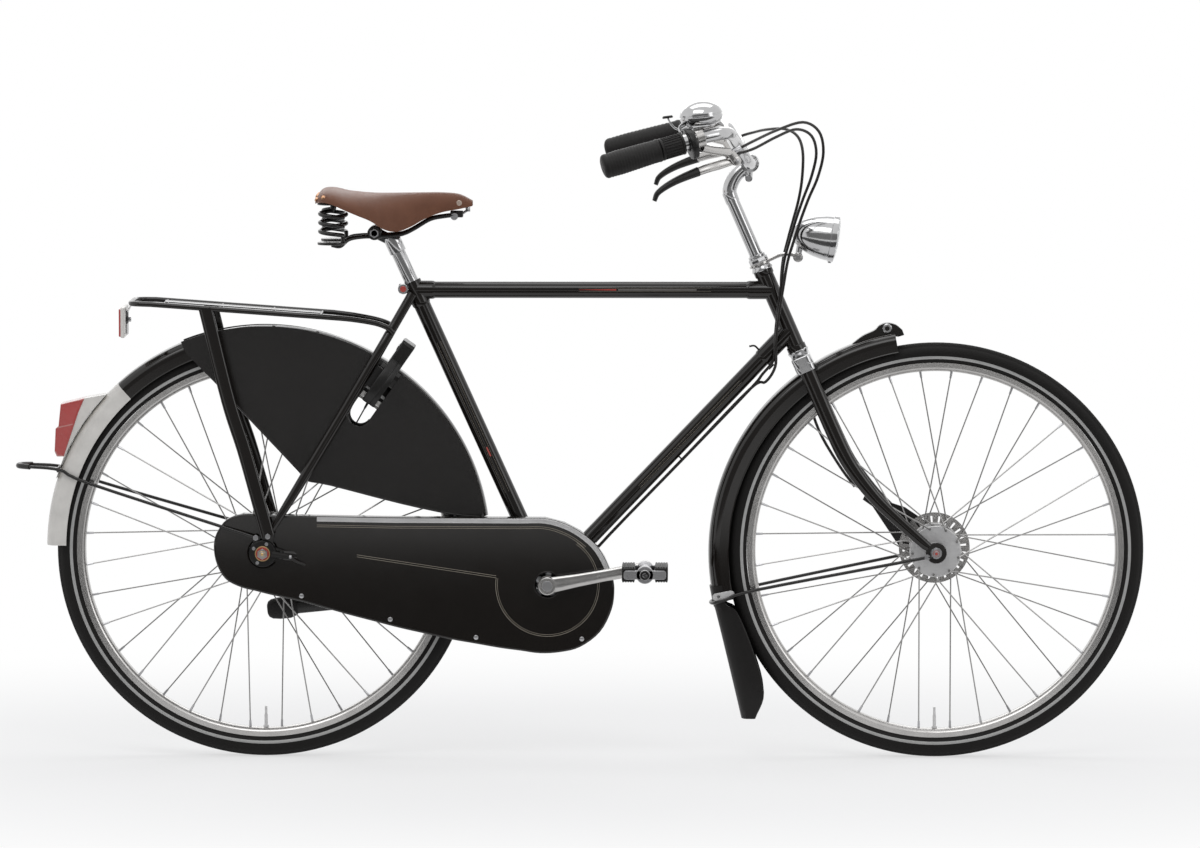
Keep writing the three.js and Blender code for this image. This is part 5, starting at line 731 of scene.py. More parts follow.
def seat_stay(bm, side):
    top = seat_point(SEAT_TUBE_LENGTH - 22)
    top.x -= TUBE_RADIUS / 2
    foot = around(REAR_AXLE, DROPOUT_RADIUS * 2, 72)
    points = []
    for share, out in zip(SEAT_STAY_ALONG, SEAT_STAY_SPREAD):
        bow = math.sin(math.pi * share) * 8.2
        point = top.lerp(foot, share) + at(bow / 2, 0, bow / 4)
        point.y = side * lerp(17, DROPOUT_INNER + 4.2, out)
        points.append(point)
    points = rounded(points, 4)
    high = spread([8.2, 8.2, 8.2, 5.6], len(points))
    wide = spread([7, 7, 7, 4.6], len(points))
    sweep(bm, points, list(zip(wide, high)), 20)


def dropout(bm, side):
    eye = on_centre(REAR_AXLE, REAR_RADIUS, REAR_STAY[:1])[0]
    y0, y1 = sorted((side * DROPOUT_INNER, side * (DROPOUT_INNER + DROPOUT_THICK)))
    across(bm, REAR_AXLE, y0, y1, DROPOUT_RADIUS, 40, bevel=0.8)
    reach = DROPOUT_RADIUS * 2.1
    root = DROPOUT_RADIUS * 0.96
    for arm_end, half in ((around(REAR_AXLE, reach, 72), 9), (around(REAR_AXLE, reach, -6), 9.3), (eye, 6)):
        along = (at(arm_end.x, 0, arm_end.z) - REAR_AXLE).normalized()
        beside = at(-along.z, 0, along.x)
        corners = [REAR_AXLE + beside * root, arm_end + beside * half,
                   arm_end - beside * half, REAR_AXLE - beside * root]
        plate(bm, flat(corners), y0 + 0.1, y1 - 0.1, bevel=0.7)
    across(bm, eye, side * DROPOUT_INNER, side * 74.1, 3.4, 20, bevel=0.5)


def kick_pivot():
    return at(BOTTOM_BRACKET.x - STAND_BACK, 50, chain_stay_point(1, STAND_BACK / CHAIN_STAY_LENGTH).z - 58)


def stand_mount(bm):
    x = BOTTOM_BRACKET.x - STAND_BACK
    stay_z = chain_stay_point(1, STAND_BACK / CHAIN_STAY_LENGTH).z
    block(bm, at(x - 18, 33, stay_z - 67), at(x + 18, 44, stay_z), bevel=2)
    block(bm, at(x - 20, 31, stay_z - 13), at(x + 20, 47, stay_z + 11), bevel=3)
    pivot = kick_pivot()
    outward = at(0, cos(STAND_TILT), sin(STAND_TILT))
    rod(bm, pivot - outward * 18, pivot, 11, 32, bevel=0.8)
    rod(bm, pivot - outward * 18, pivot + outward * 15.2, 5, 20)
    rod(bm, pivot + outward * 14.6, pivot + outward * 17.6, 9, 6, index=1, bevel=0.8)


def frame_piece():
    bm = bmesh.new()
    band = HEAD_RADIUS + LUG_GROW
    profile = [(HEAD_BORE, -HEAD_HALF - 1), (band, -HEAD_HALF), (band, -HEAD_HALF + 8),
               (band - 0.5, -HEAD_HALF + 9.4), (HEAD_RADIUS, -HEAD_HALF + 9.8),
               (HEAD_RADIUS, HEAD_HALF - 9.8), (band - 0.5, HEAD_HALF - 9.4), (band, HEAD_HALF - 8),
               (band, HEAD_HALF), (HEAD_BORE, HEAD_HALF + 1)]
    turned(bm, profile, head_point(0, 0, 0), STEER_UP, steps=48)
    for end in SIDES:
        cup = [(HEAD_BORE, 0), (CUP_RADIUS - 0.6, 0), (CUP_RADIUS, 0.8), (CUP_RADIUS, 2.2),
               (CUP_RADIUS - 1.4, 5.4), (CUP_RADIUS - 2.6, CUP_HEIGHT - 1), (CUP_RADIUS - 2.8, CUP_HEIGHT),
               (HEAD_BORE, CUP_HEIGHT)]
        turned(bm, cup, head_point(0, 0, end * HEAD_HALF), STEER_UP * end, steps=48, index=1)
    lugged(bm, TOP_TUBE_FRONT, TOP_TUBE_REAR, LUG_LENGTH, LUG_LENGTH * 0.8)
    lugged(bm, DOWN_TUBE_TOP, BOTTOM_BRACKET, LUG_LENGTH * 1.6, LUG_LENGTH)
    lugged(bm, BOTTOM_BRACKET, SEAT_TUBE_TOP, LUG_LENGTH, 44)
    across(bm, BOTTOM_BRACKET, -34, 34, 20.7, 48, bevel=1)
    for side in SIDES:
        chain_stay(bm, side)
        seat_stay(bm, side)
        dropout(bm, side)
    bridge = chain_stay_point(1, 101 / CHAIN_STAY_LENGTH / 1.6)
    across(bm, bridge, -bridge.y, bridge.y, TUBE_RADIUS / 2, 24)
    ear = SEAT_TUBE_TOP - SEAT_UP * 13
    ear.x -= 19.2
    block(bm, at(ear.x - 8, -8, ear.z - 8), at(ear.x + 14, 8, ear.z + 8), bevel=2.4)
    across(bm, ear, -16, 16, 5, 24, index=1, bevel=0.8)
    across(bm, ear, -17.5, -12, 9, 32, index=1, bevel=0.8)
    across(bm, ear, -18.4, -17, 5.4, 28, index=2, bevel=0.5)
    tip = down_point(0.9, -TUBE_RADIUS - 16)
    peg = [down_point(0.9, -TUBE_RADIUS + 2), down_point(0.9, -TUBE_RADIUS - 10), tip - DOWN_ALONG * 7]
    sweep(bm, rounded(peg, 4), 1.7, 12)
    for share in (0.16, 0.52, 0.89):
        clip = down_point(share, CABLE_UNDER)
        rod(bm, down_point(share, TUBE_RADIUS - 1), clip, 1.4, 12)
        rod(bm, clip - DOWN_ALONG * 6, clip + DOWN_ALONG * 6, 1.4, 12, bevel=0.4)
    stand_mount(bm)
    piece("lugged_frame", bm, [ENAMEL, CHROME, RED_PAINT], "frame_body", "frame")


def on_tube(bm, start, end, side, near, far, turn, half_near, half_far, index):
    """A painted strip on a round tube between two shares of it, its half width in degrees at each end."""
    along = (end - start).normalized()
    out = at(0, side, 0)
    up = along.cross(out)
    if up.z < 0:
        up = -up
    verts = bmesh.ops.create_grid(bm, x_segments=14, y_segments=4, size=0.5)["verts"]
    for v in verts:
        share = v.co.x + 0.5
        angle = turn + v.co.y * 2 * lerp(half_near, half_far, share)
        away = out * cos(angle) + up * sin(angle)
        v.co = start.lerp(end, lerp(near, far, share)) + away * (TUBE_RADIUS + PAINT_LIFT)
    paint({f for v in verts for f in v.link_faces}, index)


def tube_lines():
    """The thin lines and the short dart that a bicycle of this kind carries on its tubes."""
    bm = bmesh.new()
    top = (TOP_TUBE_REAR, TOP_TUBE_FRONT)
    down = (DOWN_TUBE_TOP, BOTTOM_BRACKET)
    seat = (BOTTOM_BRACKET, SEAT_TUBE_TOP)
    for side in SIDES:
        on_tube(bm, *top, side, 0.46, 0.565, 4, 0.8, 5.5, 0)
        on_tube(bm, *top, side, 0.57, 0.79, 4, 5.5, 5.5, 1)
        for tube, near, far, turn, half in ((top, 0.46, 0.83, -8, 0.7), (top, 0.46, 0.83, 16, 0.7),
                                            (down, 0.2, 0.62, -9, 0.8), (down, 0.2, 0.62, 9, 0.8),
                                            (seat, 0.3, 0.8, -14, 0.7), (seat, 0.3, 0.8, 14, 0.7)):
            on_tube(bm, *tube, side, near, far, turn, half, half, 2)
        on_tube(bm, *seat, side, 0.42, 0.45, 0, 5, 5, 0)
    piece("tube_lines", bm, [RED_PAINT, GREY_LINE, GOLD_LINE], "frame_body")


frame_piece()
tube_lines()

# Fork, crown cover, stem and handlebar

BLADE_RAKE = [0.02, 0.02, 0.015, 0.06, 0.24, 0.45, 0.81, 0.9]
BLADE_DROP = [0, 0.11, 0.37, 0.51, 0.66, 0.77, 0.93, 0.965]
BLADE_OUT = [0, 0.08, 0.33, 0.5, 0.7, 0.85, 1, 1]
CROWN_TOP = 86
CROWN_BOTTOM = 100


def rounded_rectangle(half_x, half_y, r, steps=6):
    points = []
    for corner, (right, front) in enumerate(((1, 1), (-1, 1), (-1, -1), (1, -1))):
        cx, cy = right * (half_x - r), front * (half_y - r)
        turns = [90 * corner + 90 * i / steps for i in range(steps + 1)]
        points += [(cx + r * cos(t), cy + r * sin(t)) for t in turns]
    return points


def fork_piece():
    bm = bmesh.new()
    for side in SIDES:
        points = []
        for rake, drop, out in zip(BLADE_RAKE, BLADE_DROP, BLADE_OUT):
            up = lerp(-CROWN_TOP - 1.2, -FORK_DROP, drop)
            points.append(head_point(rake * FORK_RAKE, side * lerp(39, 53.5, out), up))
        points = rounded(points, 4)
        high = spread([13.5, 13.5, 10.5, 7.5], len(points))
        wide = spread([8.5, 8.5, 6.5, 5], len(points))
        sweep(bm, points, list(zip(wide, high)), 24)
        y0, y1 = sorted((side * 50, side * 56))
        across(bm, FRONT_AXLE, y0, y1, 18, 48, bevel=1.2)
    slab(bm, head_point, rounded_rectangle(15, 46, 7), -CROWN_BOTTOM, -CROWN_TOP, 2)
    rod(bm, head_point(0, 0, -97), head_point(0, 0, 105), 12.4, 32, index=1)
    piece("fork_blades", bm, [ENAMEL, CHROME], "steering_body", "fork")


def crown_cover_piece():
    bm = bmesh.new()
    slab(bm, head_point, rounded_rectangle(17.1, 51.7, 8.8, 8), -104, -84.2, 2.6)
    for side in SIDES:
        skirt = [(x, side * 41.15 + y) for x, y in rounded_rectangle(17.1, 10.5, 8)]
        slab(bm, head_point, skirt, -112, -100, 1)
    piece("fork_crown_cap", bm, CHROME, "steering_body", "fork_crown_cover")


BAR_OUT = [1, 0.844, 0.791, 0.68, 0.53, 0.32, 0.2, 0.081, 0]
BAR_BACK = [1, 0.227, 0.11, 0.051, 0.038, 0.025, 0.014, 0, 0]
BAR_UP = [1, 0.785, 0.725, 0.655, 0.532, 0.276, 0.095, 0, 0]
CLAMP_FORWARD = 53
CLAMP_UP = 252
BAR_SWEEP = 220.5
BAR_HALF = 297
BAR_RISE = 104.9


def bar_point(side, i):
    forward, up = CLAMP_FORWARD - BAR_BACK[i] * BAR_SWEEP, CLAMP_UP + BAR_UP[i] * BAR_RISE
    return head_point(forward, side * BAR_OUT[i] * BAR_HALF, up)


def handlebar_piece():
    bm = bmesh.new()
    bend = [bar_point(-1, i) for i in range(1, 9)] + [bar_point(1, i) for i in range(7, 0, -1)]
    sweep(bm, [bar_point(-1, 0), *rounded(bend, 6), bar_point(1, 0)], 11.1, 32, wide=at(0, 1, 0))
    centre = bar_point(1, 8)
    across(bm, centre, -24, 24, 12.7, 40, bevel=1)
    piece("swept_handlebar", bm, CHROME, "steering_body", "handlebar")


def stem_piece():
    bm = bmesh.new()
    centre = head_point(CLAMP_FORWARD, 0, CLAMP_UP)
    bend = ((0, -0.2), (0, 0), (0.07, 0.35), (0.42, 0.75), (0.85, 0.95))
    neck = [head_point(f * CLAMP_FORWARD, 0, lerp(210, CLAMP_UP, u)) for f, u in bend]
    rod(bm, head_point(0, 0, 100), head_point(0, 0, 214), 11.1, 36)
    sweep(bm, rounded(neck, 6), 12, 32)
    rod(bm, head_point(0, 0, 205), head_point(0, 0, 222), 12, 36, bevel=2.5)
    rod(bm, head_point(0, 0, 220), head_point(0, 0, 227), 5, 6, bevel=0.6, index=1)
    across(bm, centre, -18, 18, 16, 48, bevel=2)
    lug = head_point(41, 0, 229)
    across(bm, lug, -12, 12, 6.4, 28, bevel=1)
    across(bm, lug, -13.2, -11.5, 5, 6, index=1, bevel=0.4)
    sweep(bm, [lug, head_point(45, 0, 238), centre], [(11, 6.4), (12, 7), (14, 8)], 20)
    piece("quill_stem", bm, [CHROME, ZINC], "steering_body", "stem")


fork_piece()
crown_cover_piece()
handlebar_piece()
stem_piece()

# Grips and controls, each in a frame that runs in along its grip

REACH = 158
HANDS = {-1: "right", 1: "left"}
LEVER_PIVOT = (1.44, 0.235, -0.344)
LEVER_PATH = [(0, 0, 0), (-0.19, -0.05, 0.005), (-0.4, -0.11, 0.008), (-0.72, -0.146, -0.02),
              (-0.93, -0.141, -0.08), (-1, -0.123, -0.158)]
LEVER_WIDE = [4.1, 5, 6.7, 7, 7, 6]
LEVER_THICK = [7, 8.6, 8.4, 6.4, 5, 3.8]
LEVER_COATED = 0.42
BRACKET_ARM = [(1.07, 0.02, -0.1), (1.18, 0.08, -0.155), (1.39, 0.2, -0.245)]
BRAKE_BOSS = [(1.434, 0.231, -0.249), (1.54, 0.249, -0.232)]
SHIFT_TUBE = [(0.99, 0.15, -0.05), (1.5, 0.372, -0.266)]
BELL_RADIUS = 36
BELL_PIN = 22
BELL_TILT = 8.5
BELL_PLACE = (1.197, 0.151, 0.218)
BELL_PROFILE = [(0, -0.5), (0.55, -0.5), (0.8, -0.42), (0.95, -0.26), (1, -0.1), (1, -0.06), (1, -0.03),
                (0.968, -0.02), (0.968, 0.02), (1, 0.03), (1, 0.07), (0.92, 0.28), (0.82, 0.41),
                (0.67, 0.53), (0.5, 0.61), (0.33, 0.67), (0.16, 0.7), (0, 0.71)]


def grip_matrix(side):
    along = (bar_point(side, 1) - bar_point(side, 0)).normalized()
    left = (at(0, 1, 0) - along * along.y).normalized()
    made = Matrix((along, left, along.cross(left))).transposed().to_4x4()
    made.translation = bar_point(side, 0)
    return made


GRIP = {side: grip_matrix(side) for side in SIDES}


def grip_at(side, along, left=0.0, up=0.0):
    return GRIP[side] @ at(along, left, up)


def step_in_grip(side, shares):
    return GRIP[side].to_3x3() @ (at(shares[0], -side * shares[1], shares[2]) * REACH)


def in_grip(side, shares):
    return GRIP[side].translation + step_in_grip(side, shares)


def grip_piece(side, length):
    bm = bmesh.new()
    name = f"grip_{HANDS[side]}"
    stations = [0, 0.02, 0.05, 0.3, 0.65, 0.93, 0.97, 1]
    sizes = [0.7, 0.93, 1, 1.03, 0.98, 0.93, 0.97, 0.9]
    points, radii = [], []
    count = 60
    for i in range(count + 1):
        share = i / count
        for a, b, sa, sb in zip(stations, stations[1:], sizes, sizes[1:]):
            if a <= share <= b:
                size = lerp(sa, sb, (share - a) / (b - a))
        rib = 0.97 if 0.08 < share < 0.9 and i % 3 == 0 else 1
        points.append(grip_at(side, -4 + share * (length + 4)))
        radii.append((17 * size * rib, 20.5 * size * rib))
    wide = GRIP[side].to_3x3() @ at(0, 1, 0)
    sweep(bm, points, radii, 32, wide=wide)
    piece(f"{name}_ribbed", bm, RUBBER, "steering_body", name, crease=50)


def sleeve_piece():
    bm = bmesh.new()
    origin, along = grip_at(-1, 0), GRIP[-1].to_3x3() @ at(1, 0, 0)
    profile = [(11.4, 99.4), (18.4, 99.4), (19, 100), (19, 103), (18.4, 103.6), (17.2, 104), (17.2, 135),
               (18.4, 135.4), (19, 136), (19, 139), (18.4, 139.6), (11.4, 139.6)]
    turned(bm, profile, origin, along, steps=48)
    for i in range(24):
        left, up = 17.4 * cos(i * 15), 17.4 * sin(i * 15)
        rod(bm, grip_at(-1, 104.5, left, up), grip_at(-1, 134.5, left, up), 1.1, 8, bevel=0.4)
    piece("twist_sleeve_ribbed", bm, RUBBER, "twist_grip_body", "twist_sleeve")


def shifter_piece():
    bm = bmesh.new()
    origin, along = grip_at(-1, 0, 0, -5), GRIP[-1].to_3x3() @ at(1, 0, 0)
    profile = [(11.6, 148), (23, 148), (25.4, 149), (26, 150.6), (26, 156.8), (25.4, 158.4), (23, 159.4),
               (11.6, 159.4)]
    turned(bm, profile, origin, along, steps=56)
    lid = [(0, 159.2), (13, 159.2), (13, 159.8), (12, 160.2), (0, 160.4)]
    turned(bm, lid, origin, along, steps=40, index=1)
    start, end = (in_grip(-1, s) for s in SHIFT_TUBE)
    rod(bm, start, end, 4.5, 20, bevel=0.6)
    rod(bm, start.lerp(end, 0.72), start.lerp(end, 1.12), 5.6, 20, end_radius=3.6, bevel=0.6)
    piece("shifter_drum", bm, [PLASTIC, ZINC], "steering_body", "shifter_housing")


def lever_axis(side):
    pivot, mid = step_in_grip(side, LEVER_PATH[0]), step_in_grip(side, LEVER_PATH[3])
    turn = GRIP[side].to_3x3()
    place_there = turn.inverted() @ (step_in_grip(side, LEVER_PIVOT) + mid)
    along = (turn.inverted() @ (mid - pivot)).normalized()
    to_bar = at(0, -place_there.y, -place_there.z).normalized()
    return (turn @ (along.cross(to_bar) * -side)).normalized()


def lever_piece(side):
    bm = bmesh.new()
    name = f"brake_lever_{HANDS[side]}"
    pivot, axis = in_grip(side, LEVER_PIVOT), lever_axis(side)
    points = rounded([pivot + step_in_grip(side, s) for s in LEVER_PATH], 6)
    sizes = list(zip(spread(LEVER_WIDE, len(points)), spread(LEVER_THICK, len(points))))
    bare = int(len(points) * LEVER_COATED)
    rod(bm, pivot - axis * 4.4, pivot + axis * 4.4, 8.5, 32, index=1, bevel=0.8)
    inner = [(w - 0.8, t - 0.8) for w, t in sizes[:bare + 2]]
    sweep(bm, points[:bare + 2], inner, 24, wide=at(0, 1, 0), index=1)
    sweep(bm, points[bare:], sizes[bare:], 24, wide=at(0, 1, 0))
    piece(f"{name}_coated", bm, [PLASTIC, POLISHED], f"{HANDS[side]}_lever_body", name)


def bracket_piece(side):
    bm = bmesh.new()
    name = f"brake_bracket_{HANDS[side]}"
    pivot, axis = in_grip(side, LEVER_PIVOT), lever_axis(side)
    along = GRIP[side].to_3x3() @ at(1, 0, 0)
    clamp = [(11.5, 162), (16, 162), (16.5, 162.6), (16.5, 175.4), (16, 176), (11.5, 176)]
    turned(bm, clamp, grip_at(side, 0), along, steps=40)
    arm = rounded([in_grip(side, s) for s in BRACKET_ARM], 5)
    sweep(bm, arm, (8.6, 7.6), 24, wide=at(0, 1, 0))
    back = in_grip(side, BRACKET_ARM[-1])
    for out in SIDES:
        cheek = [back + axis * out * 7, back.lerp(pivot, 0.5) + axis * out * 7, pivot + axis * out * 7]
        sweep(bm, cheek, [(7.2, 1.7), (7.8, 1.7), (7.8, 1.7)], 16, wide=(pivot - back).cross(axis))
        rod(bm, pivot + axis * out * 5.3, pivot + axis * out * 9, 7.8, 28, bevel=0.8)
    rod(bm, pivot - axis * 10, pivot + axis * 10, 2.5, 16, index=1, bevel=0.4)
    rod(bm, pivot - axis * 10.6, pivot - axis * 8.8, 4.4, 6, index=1, bevel=0.4)
    start, end = (in_grip(side, s) for s in BRAKE_BOSS)
    rod(bm, start, end, 4.8, 24, bevel=0.8, index=1)
    piece(f"{name}_cast", bm, [POLISHED, ZINC], "steering_body", name)


def bell_frame():
    turn = GRIP[-1].to_3x3()
    up = turn @ at(sin(BELL_TILT), 0, cos(BELL_TILT))
    back = turn @ at(-cos(BELL_TILT), 0, sin(BELL_TILT))
    return in_grip(-1, BELL_PLACE), up, back


def bell_piece():
    bm = bmesh.new()
    centre, up, back = bell_frame()
    turned(bm, [(r * BELL_RADIUS, h * BELL_RADIUS) for r, h in BELL_PROFILE], centre, up, steps=64)
    along = GRIP[-1].to_3x3() @ at(1, 0, 0)
    clamp = [(11.4, 140.2), (14.2, 140.2), (14.6, 140.6), (14.6, 147), (14.2, 147.4), (11.4, 147.4)]
    turned(bm, clamp, grip_at(-1, 0), along, steps=36)
    stalk = [grip_at(-1, 143.8, 0.1 * BELL_RADIUS, 0.36 * BELL_RADIUS),
             grip_at(-1, 143.8, 0.25 * BELL_RADIUS, 0.72 * BELL_RADIUS),
             centre + back * BELL_RADIUS / 2 - up * 6]
    sweep(bm, rounded(stalk, 5), (5, 2.2), 20)
    pin = centre + back * BELL_PIN
    rod(bm, pin - up * 9, pin - up * 23, 2.2, 16, bevel=0.3)
    piece("domed_bell", bm, CHROME, "steering_body", "bell")


def bell_lever_piece():
    bm = bmesh.new()
    centre, up, back = bell_frame()
    pivot = centre + back * BELL_PIN - up * 23
    path = [centre + (back * s + up * r) * BELL_RADIUS for s, r in ((1.2, -0.48), (1.45, -0.25), (1.6, 0.1))]
    rod(bm, pivot, pivot + up * 4.4, 5.3, 24, bevel=0.5)
    points = rounded([pivot + up * 2.5, *path], 6)
    sweep(bm, points, (3.4, 1.6), 16)
    turned(bm, [(0, -0.4), (8, -0.4), (9, 0.4), (9, 2.4), (7.6, 4), (0, 4)], path[-1], up, steps=36, index=1)
    piece("bell_thumb_lever", bm, [CHROME, PLASTIC], "bell_lever_body", "bell_lever")


grip_piece(-1, 99)
grip_piece(1, 139)
sleeve_piece()
shifter_piece()
bell_piece()
bell_lever_piece()
for hand_side in SIDES:
    lever_piece(hand_side)
    bracket_piece(hand_side)

# Headlamp on its bracket

LAMP_FALL = 32.9
LAMP_RADIUS = 40.3
LAMP_LONG = 75
LAMP_TAIL = head_point(73.6, 0, 114)
LAMP_PIVOT = head_point(64.3, 0, 71.2)
LAMP_ALONG = cos(LAMP_FALL) * STEER_FORWARD - sin(LAMP_FALL) * STEER_UP
LAMP_OUTSIDE = [(0, 0), (0.2, 0.004), (0.34, 0.035), (0.5, 0.11), (0.66, 0.24), (0.78, 0.37),
                (0.87, 0.52), (0.94, 0.7), (0.965, 0.8), (0.965, 0.86), (1, 0.87), (1, 0.985), (0.99, 1)]


def headlamp_piece():
    bm = bmesh.new()
    outside = [(r * LAMP_RADIUS, d * LAMP_LONG) for r, d in LAMP_OUTSIDE]
    inside = [(38, 75), (38, 69.8), (36, 64), (31, 50), (24, 38), (14, 29), (5, 26), (0, 26)]
    turned(bm, outside + inside, LAMP_TAIL, LAMP_ALONG, steps=64)
    turned(bm, [(0, 26), (3, 27), (4.5, 34), (3.4, 39), (0, 41)], LAMP_TAIL, LAMP_ALONG, steps=24, index=1)
    root = LAMP_TAIL + LAMP_ALONG * (LAMP_PIVOT - LAMP_TAIL).dot(LAMP_ALONG)
    rod(bm, LAMP_PIVOT, root.lerp(LAMP_PIVOT, 0.2), 5.5, 24)
    across(bm, LAMP_PIVOT, -6, 6, 8.6, 32, bevel=0.8)
    screw = LAMP_TAIL + LAMP_ALONG * 70
    under = at(0, 1, 0).cross(LAMP_ALONG)
    if under.z > 0:
        under = -under
    rod(bm, screw + under * 38, screw + under * 42.4, 3, 20, index=1, bevel=0.8)
    piece("headlamp_shell", bm, [CHROME, ZINC], "headlamp_body", "headlamp")


def lens_piece():
    bm = bmesh.new()
    profile = [(0, 70.6), (37.7, 70.6), (37.7, 75), (33, 77), (28, 78), (22, 78.8), (15, 79.5),
               (8, 79.9), (0, 80)]
    turned(bm, profile, LAMP_TAIL, LAMP_ALONG, steps=64)
    piece("headlamp_glass", bm, LAMP_GLASS, "headlamp_body", "headlamp_lens")


def lamp_bracket_piece():
    bm = bmesh.new()
    strap = [head_point(14.9, 0, 86.6), head_point(38.6, 0, 86.6), head_point(54, 0, 80.9), LAMP_PIVOT]
    sweep(bm, rounded(strap, 5), (9, 3.4), 20, wide=at(0, 1, 0), power=0.7)
    washer = [(12.7, 84.6), (18.6, 84.6), (19, 85), (19, 88.2), (18.6, 88.6), (12.7, 88.6)]
    turned(bm, washer, head_point(0, 0, 0), STEER_UP, steps=48)
    rod(bm, head_point(0, 0, 88.4), head_point(0, 0, 98), 16.5, 8, bevel=1, index=1)
    rod(bm, head_point(0, 0, 97.5), head_point(0, 0, 103.5), 14.6, 36, bevel=1.4, index=1)
    for out in SIDES:
        y0, y1 = sorted((out * 6.3, out * 10))
        across(bm, LAMP_PIVOT, y0, y1, 7, 28, bevel=0.6)
    across(bm, LAMP_PIVOT, -13, 13, 2.8, 20, index=1, bevel=0.4)
    across(bm, LAMP_PIVOT, -13.4, -10, 5, 6, index=1, bevel=0.5)
    slots = [POLISHED, CHROME]
    piece("headlamp_bracket_strap", bm, slots, "steering_body", "headlamp_bracket")


headlamp_piece()
lens_piece()
lamp_bracket_piece()


# Mudguards, their stays, the flap and the lamps at the back

GUARD_SIDE = 35
GUARD_SECTION = [(27, -GUARD_SIDE), (27, -19.5), (26.6, -14.6), (25.1, -10.1), (21, -5.4), (15.1, -2.3),
                 (7.6, -0.6), (0, 0)]
CREST = [(111.4, 0.994), (111.2, 1.0), (108, 1.018), (104.8, 1.027), (103.4, 1.042), (101.5, 1.046),
         (99.5, 1.032), (98, 1.004), (97.7, 0.98), (99.2, 0.976), (101.5, 0.985), (106, 0.99)]
STRAP_TURN = 191.4
STRAP_RADIUS = 366.5
FRONT_STAY = [(-0.0402, -0.1543, -0.0169), (-0.0791, -0.152, -0.0259), (-0.7925, -0.0934, -0.1699),
              (-0.9274, -0.0868, -0.214), (-0.9663, -0.0845, -0.227), (-0.9905, -0.0571, -0.2338),
              (-0.9994, 0, -0.2361)]
FLAP_ROWS = [(-0.9779, -0.2724, 1.3, 1.12), (-0.9377, -0.4345, 1.704, 1.222), (-0.8911, -0.6291, 1.778, 1.333),
             (-0.8625, -0.751, 0.815, 1.111)]
TAIL_LENS = [(-0.9135, 0.6592), (-0.806, 0.6855), (-0.832, 0.627), (-0.901, 0.4233), (-0.9318, 0.4233),
             (-0.9423, 0.4469), (-0.9371, 0.5491), (-0.924, 0.5596)]
LENS_STEP = 0.554
WHITE_FROM = 132.6
REFLECTOR_FRONT = REAR_AXLE.x - 236.5


def guard_centre(wheel, sizes):
    return at(wheel.x + sizes["x"], 0, wheel.z + sizes["z"])


def arc(bm, profile, centre, start, end, steps, index=0, closed=True):
    """A profile of (radius, Y) carried round a centre between two turns, its ends closed."""
    before = set(bm.faces)
    verts = [bm.verts.new(around(centre, r, start, y)) for r, y in profile]
    edges = [bm.edges.new(pair) for pair in zip(verts, verts[1:])]
    if closed:
        edges.append(bm.edges.new((verts[-1], verts[0])))
    made = bmesh.ops.spin(bm, geom=verts + edges, axis=(0, -1, 0), cent=centre,
                          angle=math.radians(end - start), steps=steps)
    if closed:
        last = [g for g in made["geom_last"] if isinstance(g, bmesh.types.BMEdge)]
        bmesh.ops.edgeloop_fill(bm, edges=edges)
        bmesh.ops.edgeloop_fill(bm, edges=last)
    paint((f for f in bm.faces if f not in before), index)


def mirrored_section(section):
    return section + [(-y, d) for y, d in reversed(section[:-1])]


def guard_piece(end, wheel, sizes, body):
    """A mudguard with rolled hems and thin lines; the rear one has a white tail, the front one its crest."""
    bm = bmesh.new()
    centre = guard_centre(wheel, sizes)
    radius, start, stop = sizes["radius"], sizes["start"], sizes["end"]
    outer = mirrored_section(GUARD_SECTION)
    inner = mirrored_section([(y - 1.4 * (1 if y > 0 else 0), d - (1.3 if i else 0))
                              for i, (y, d) in enumerate(GUARD_SECTION)])
    profile = [(radius + d, y) for y, d in outer] + [(radius + d, y) for y, d in reversed(inner)]
    arc(bm, profile, centre, start, stop, 120)
    for side in SIDES:
        hem = [(radius - GUARD_SIDE + 1 + 1.2 * cos(t), side * (26.2 + 1.2 * sin(t)))
               for t in range(0, 360, 45)]
        arc(bm, hem, centre, start, stop, 120)
        line = [(radius - 2.9, side * 17.2), (radius - 2.3, side * 15.9)]
        line = [(r + 0.25, y + side * 0.1) for r, y in line]
        line_end = WHITE_FROM if end == "rear" else stop
        arc(bm, line, centre, start + 1, line_end - 1, 110, index=2, closed=False)
    if end == "rear":
        for face in bm.faces:
            middle = face.calc_center_median() - centre
            turn = math.degrees(math.atan2(middle.z, middle.x)) % 360
            if turn > WHITE_FROM and face.material_index == 0:
                face.material_index = 1
    else:
        crest(bm)
    slots = [ENAMEL, WHITE_ENAMEL, GREY_LINE, CHROME, BRUSHED]
    piece(f"{end}_mudguard_rolled", bm, slots, body, f"{end}_mudguard")


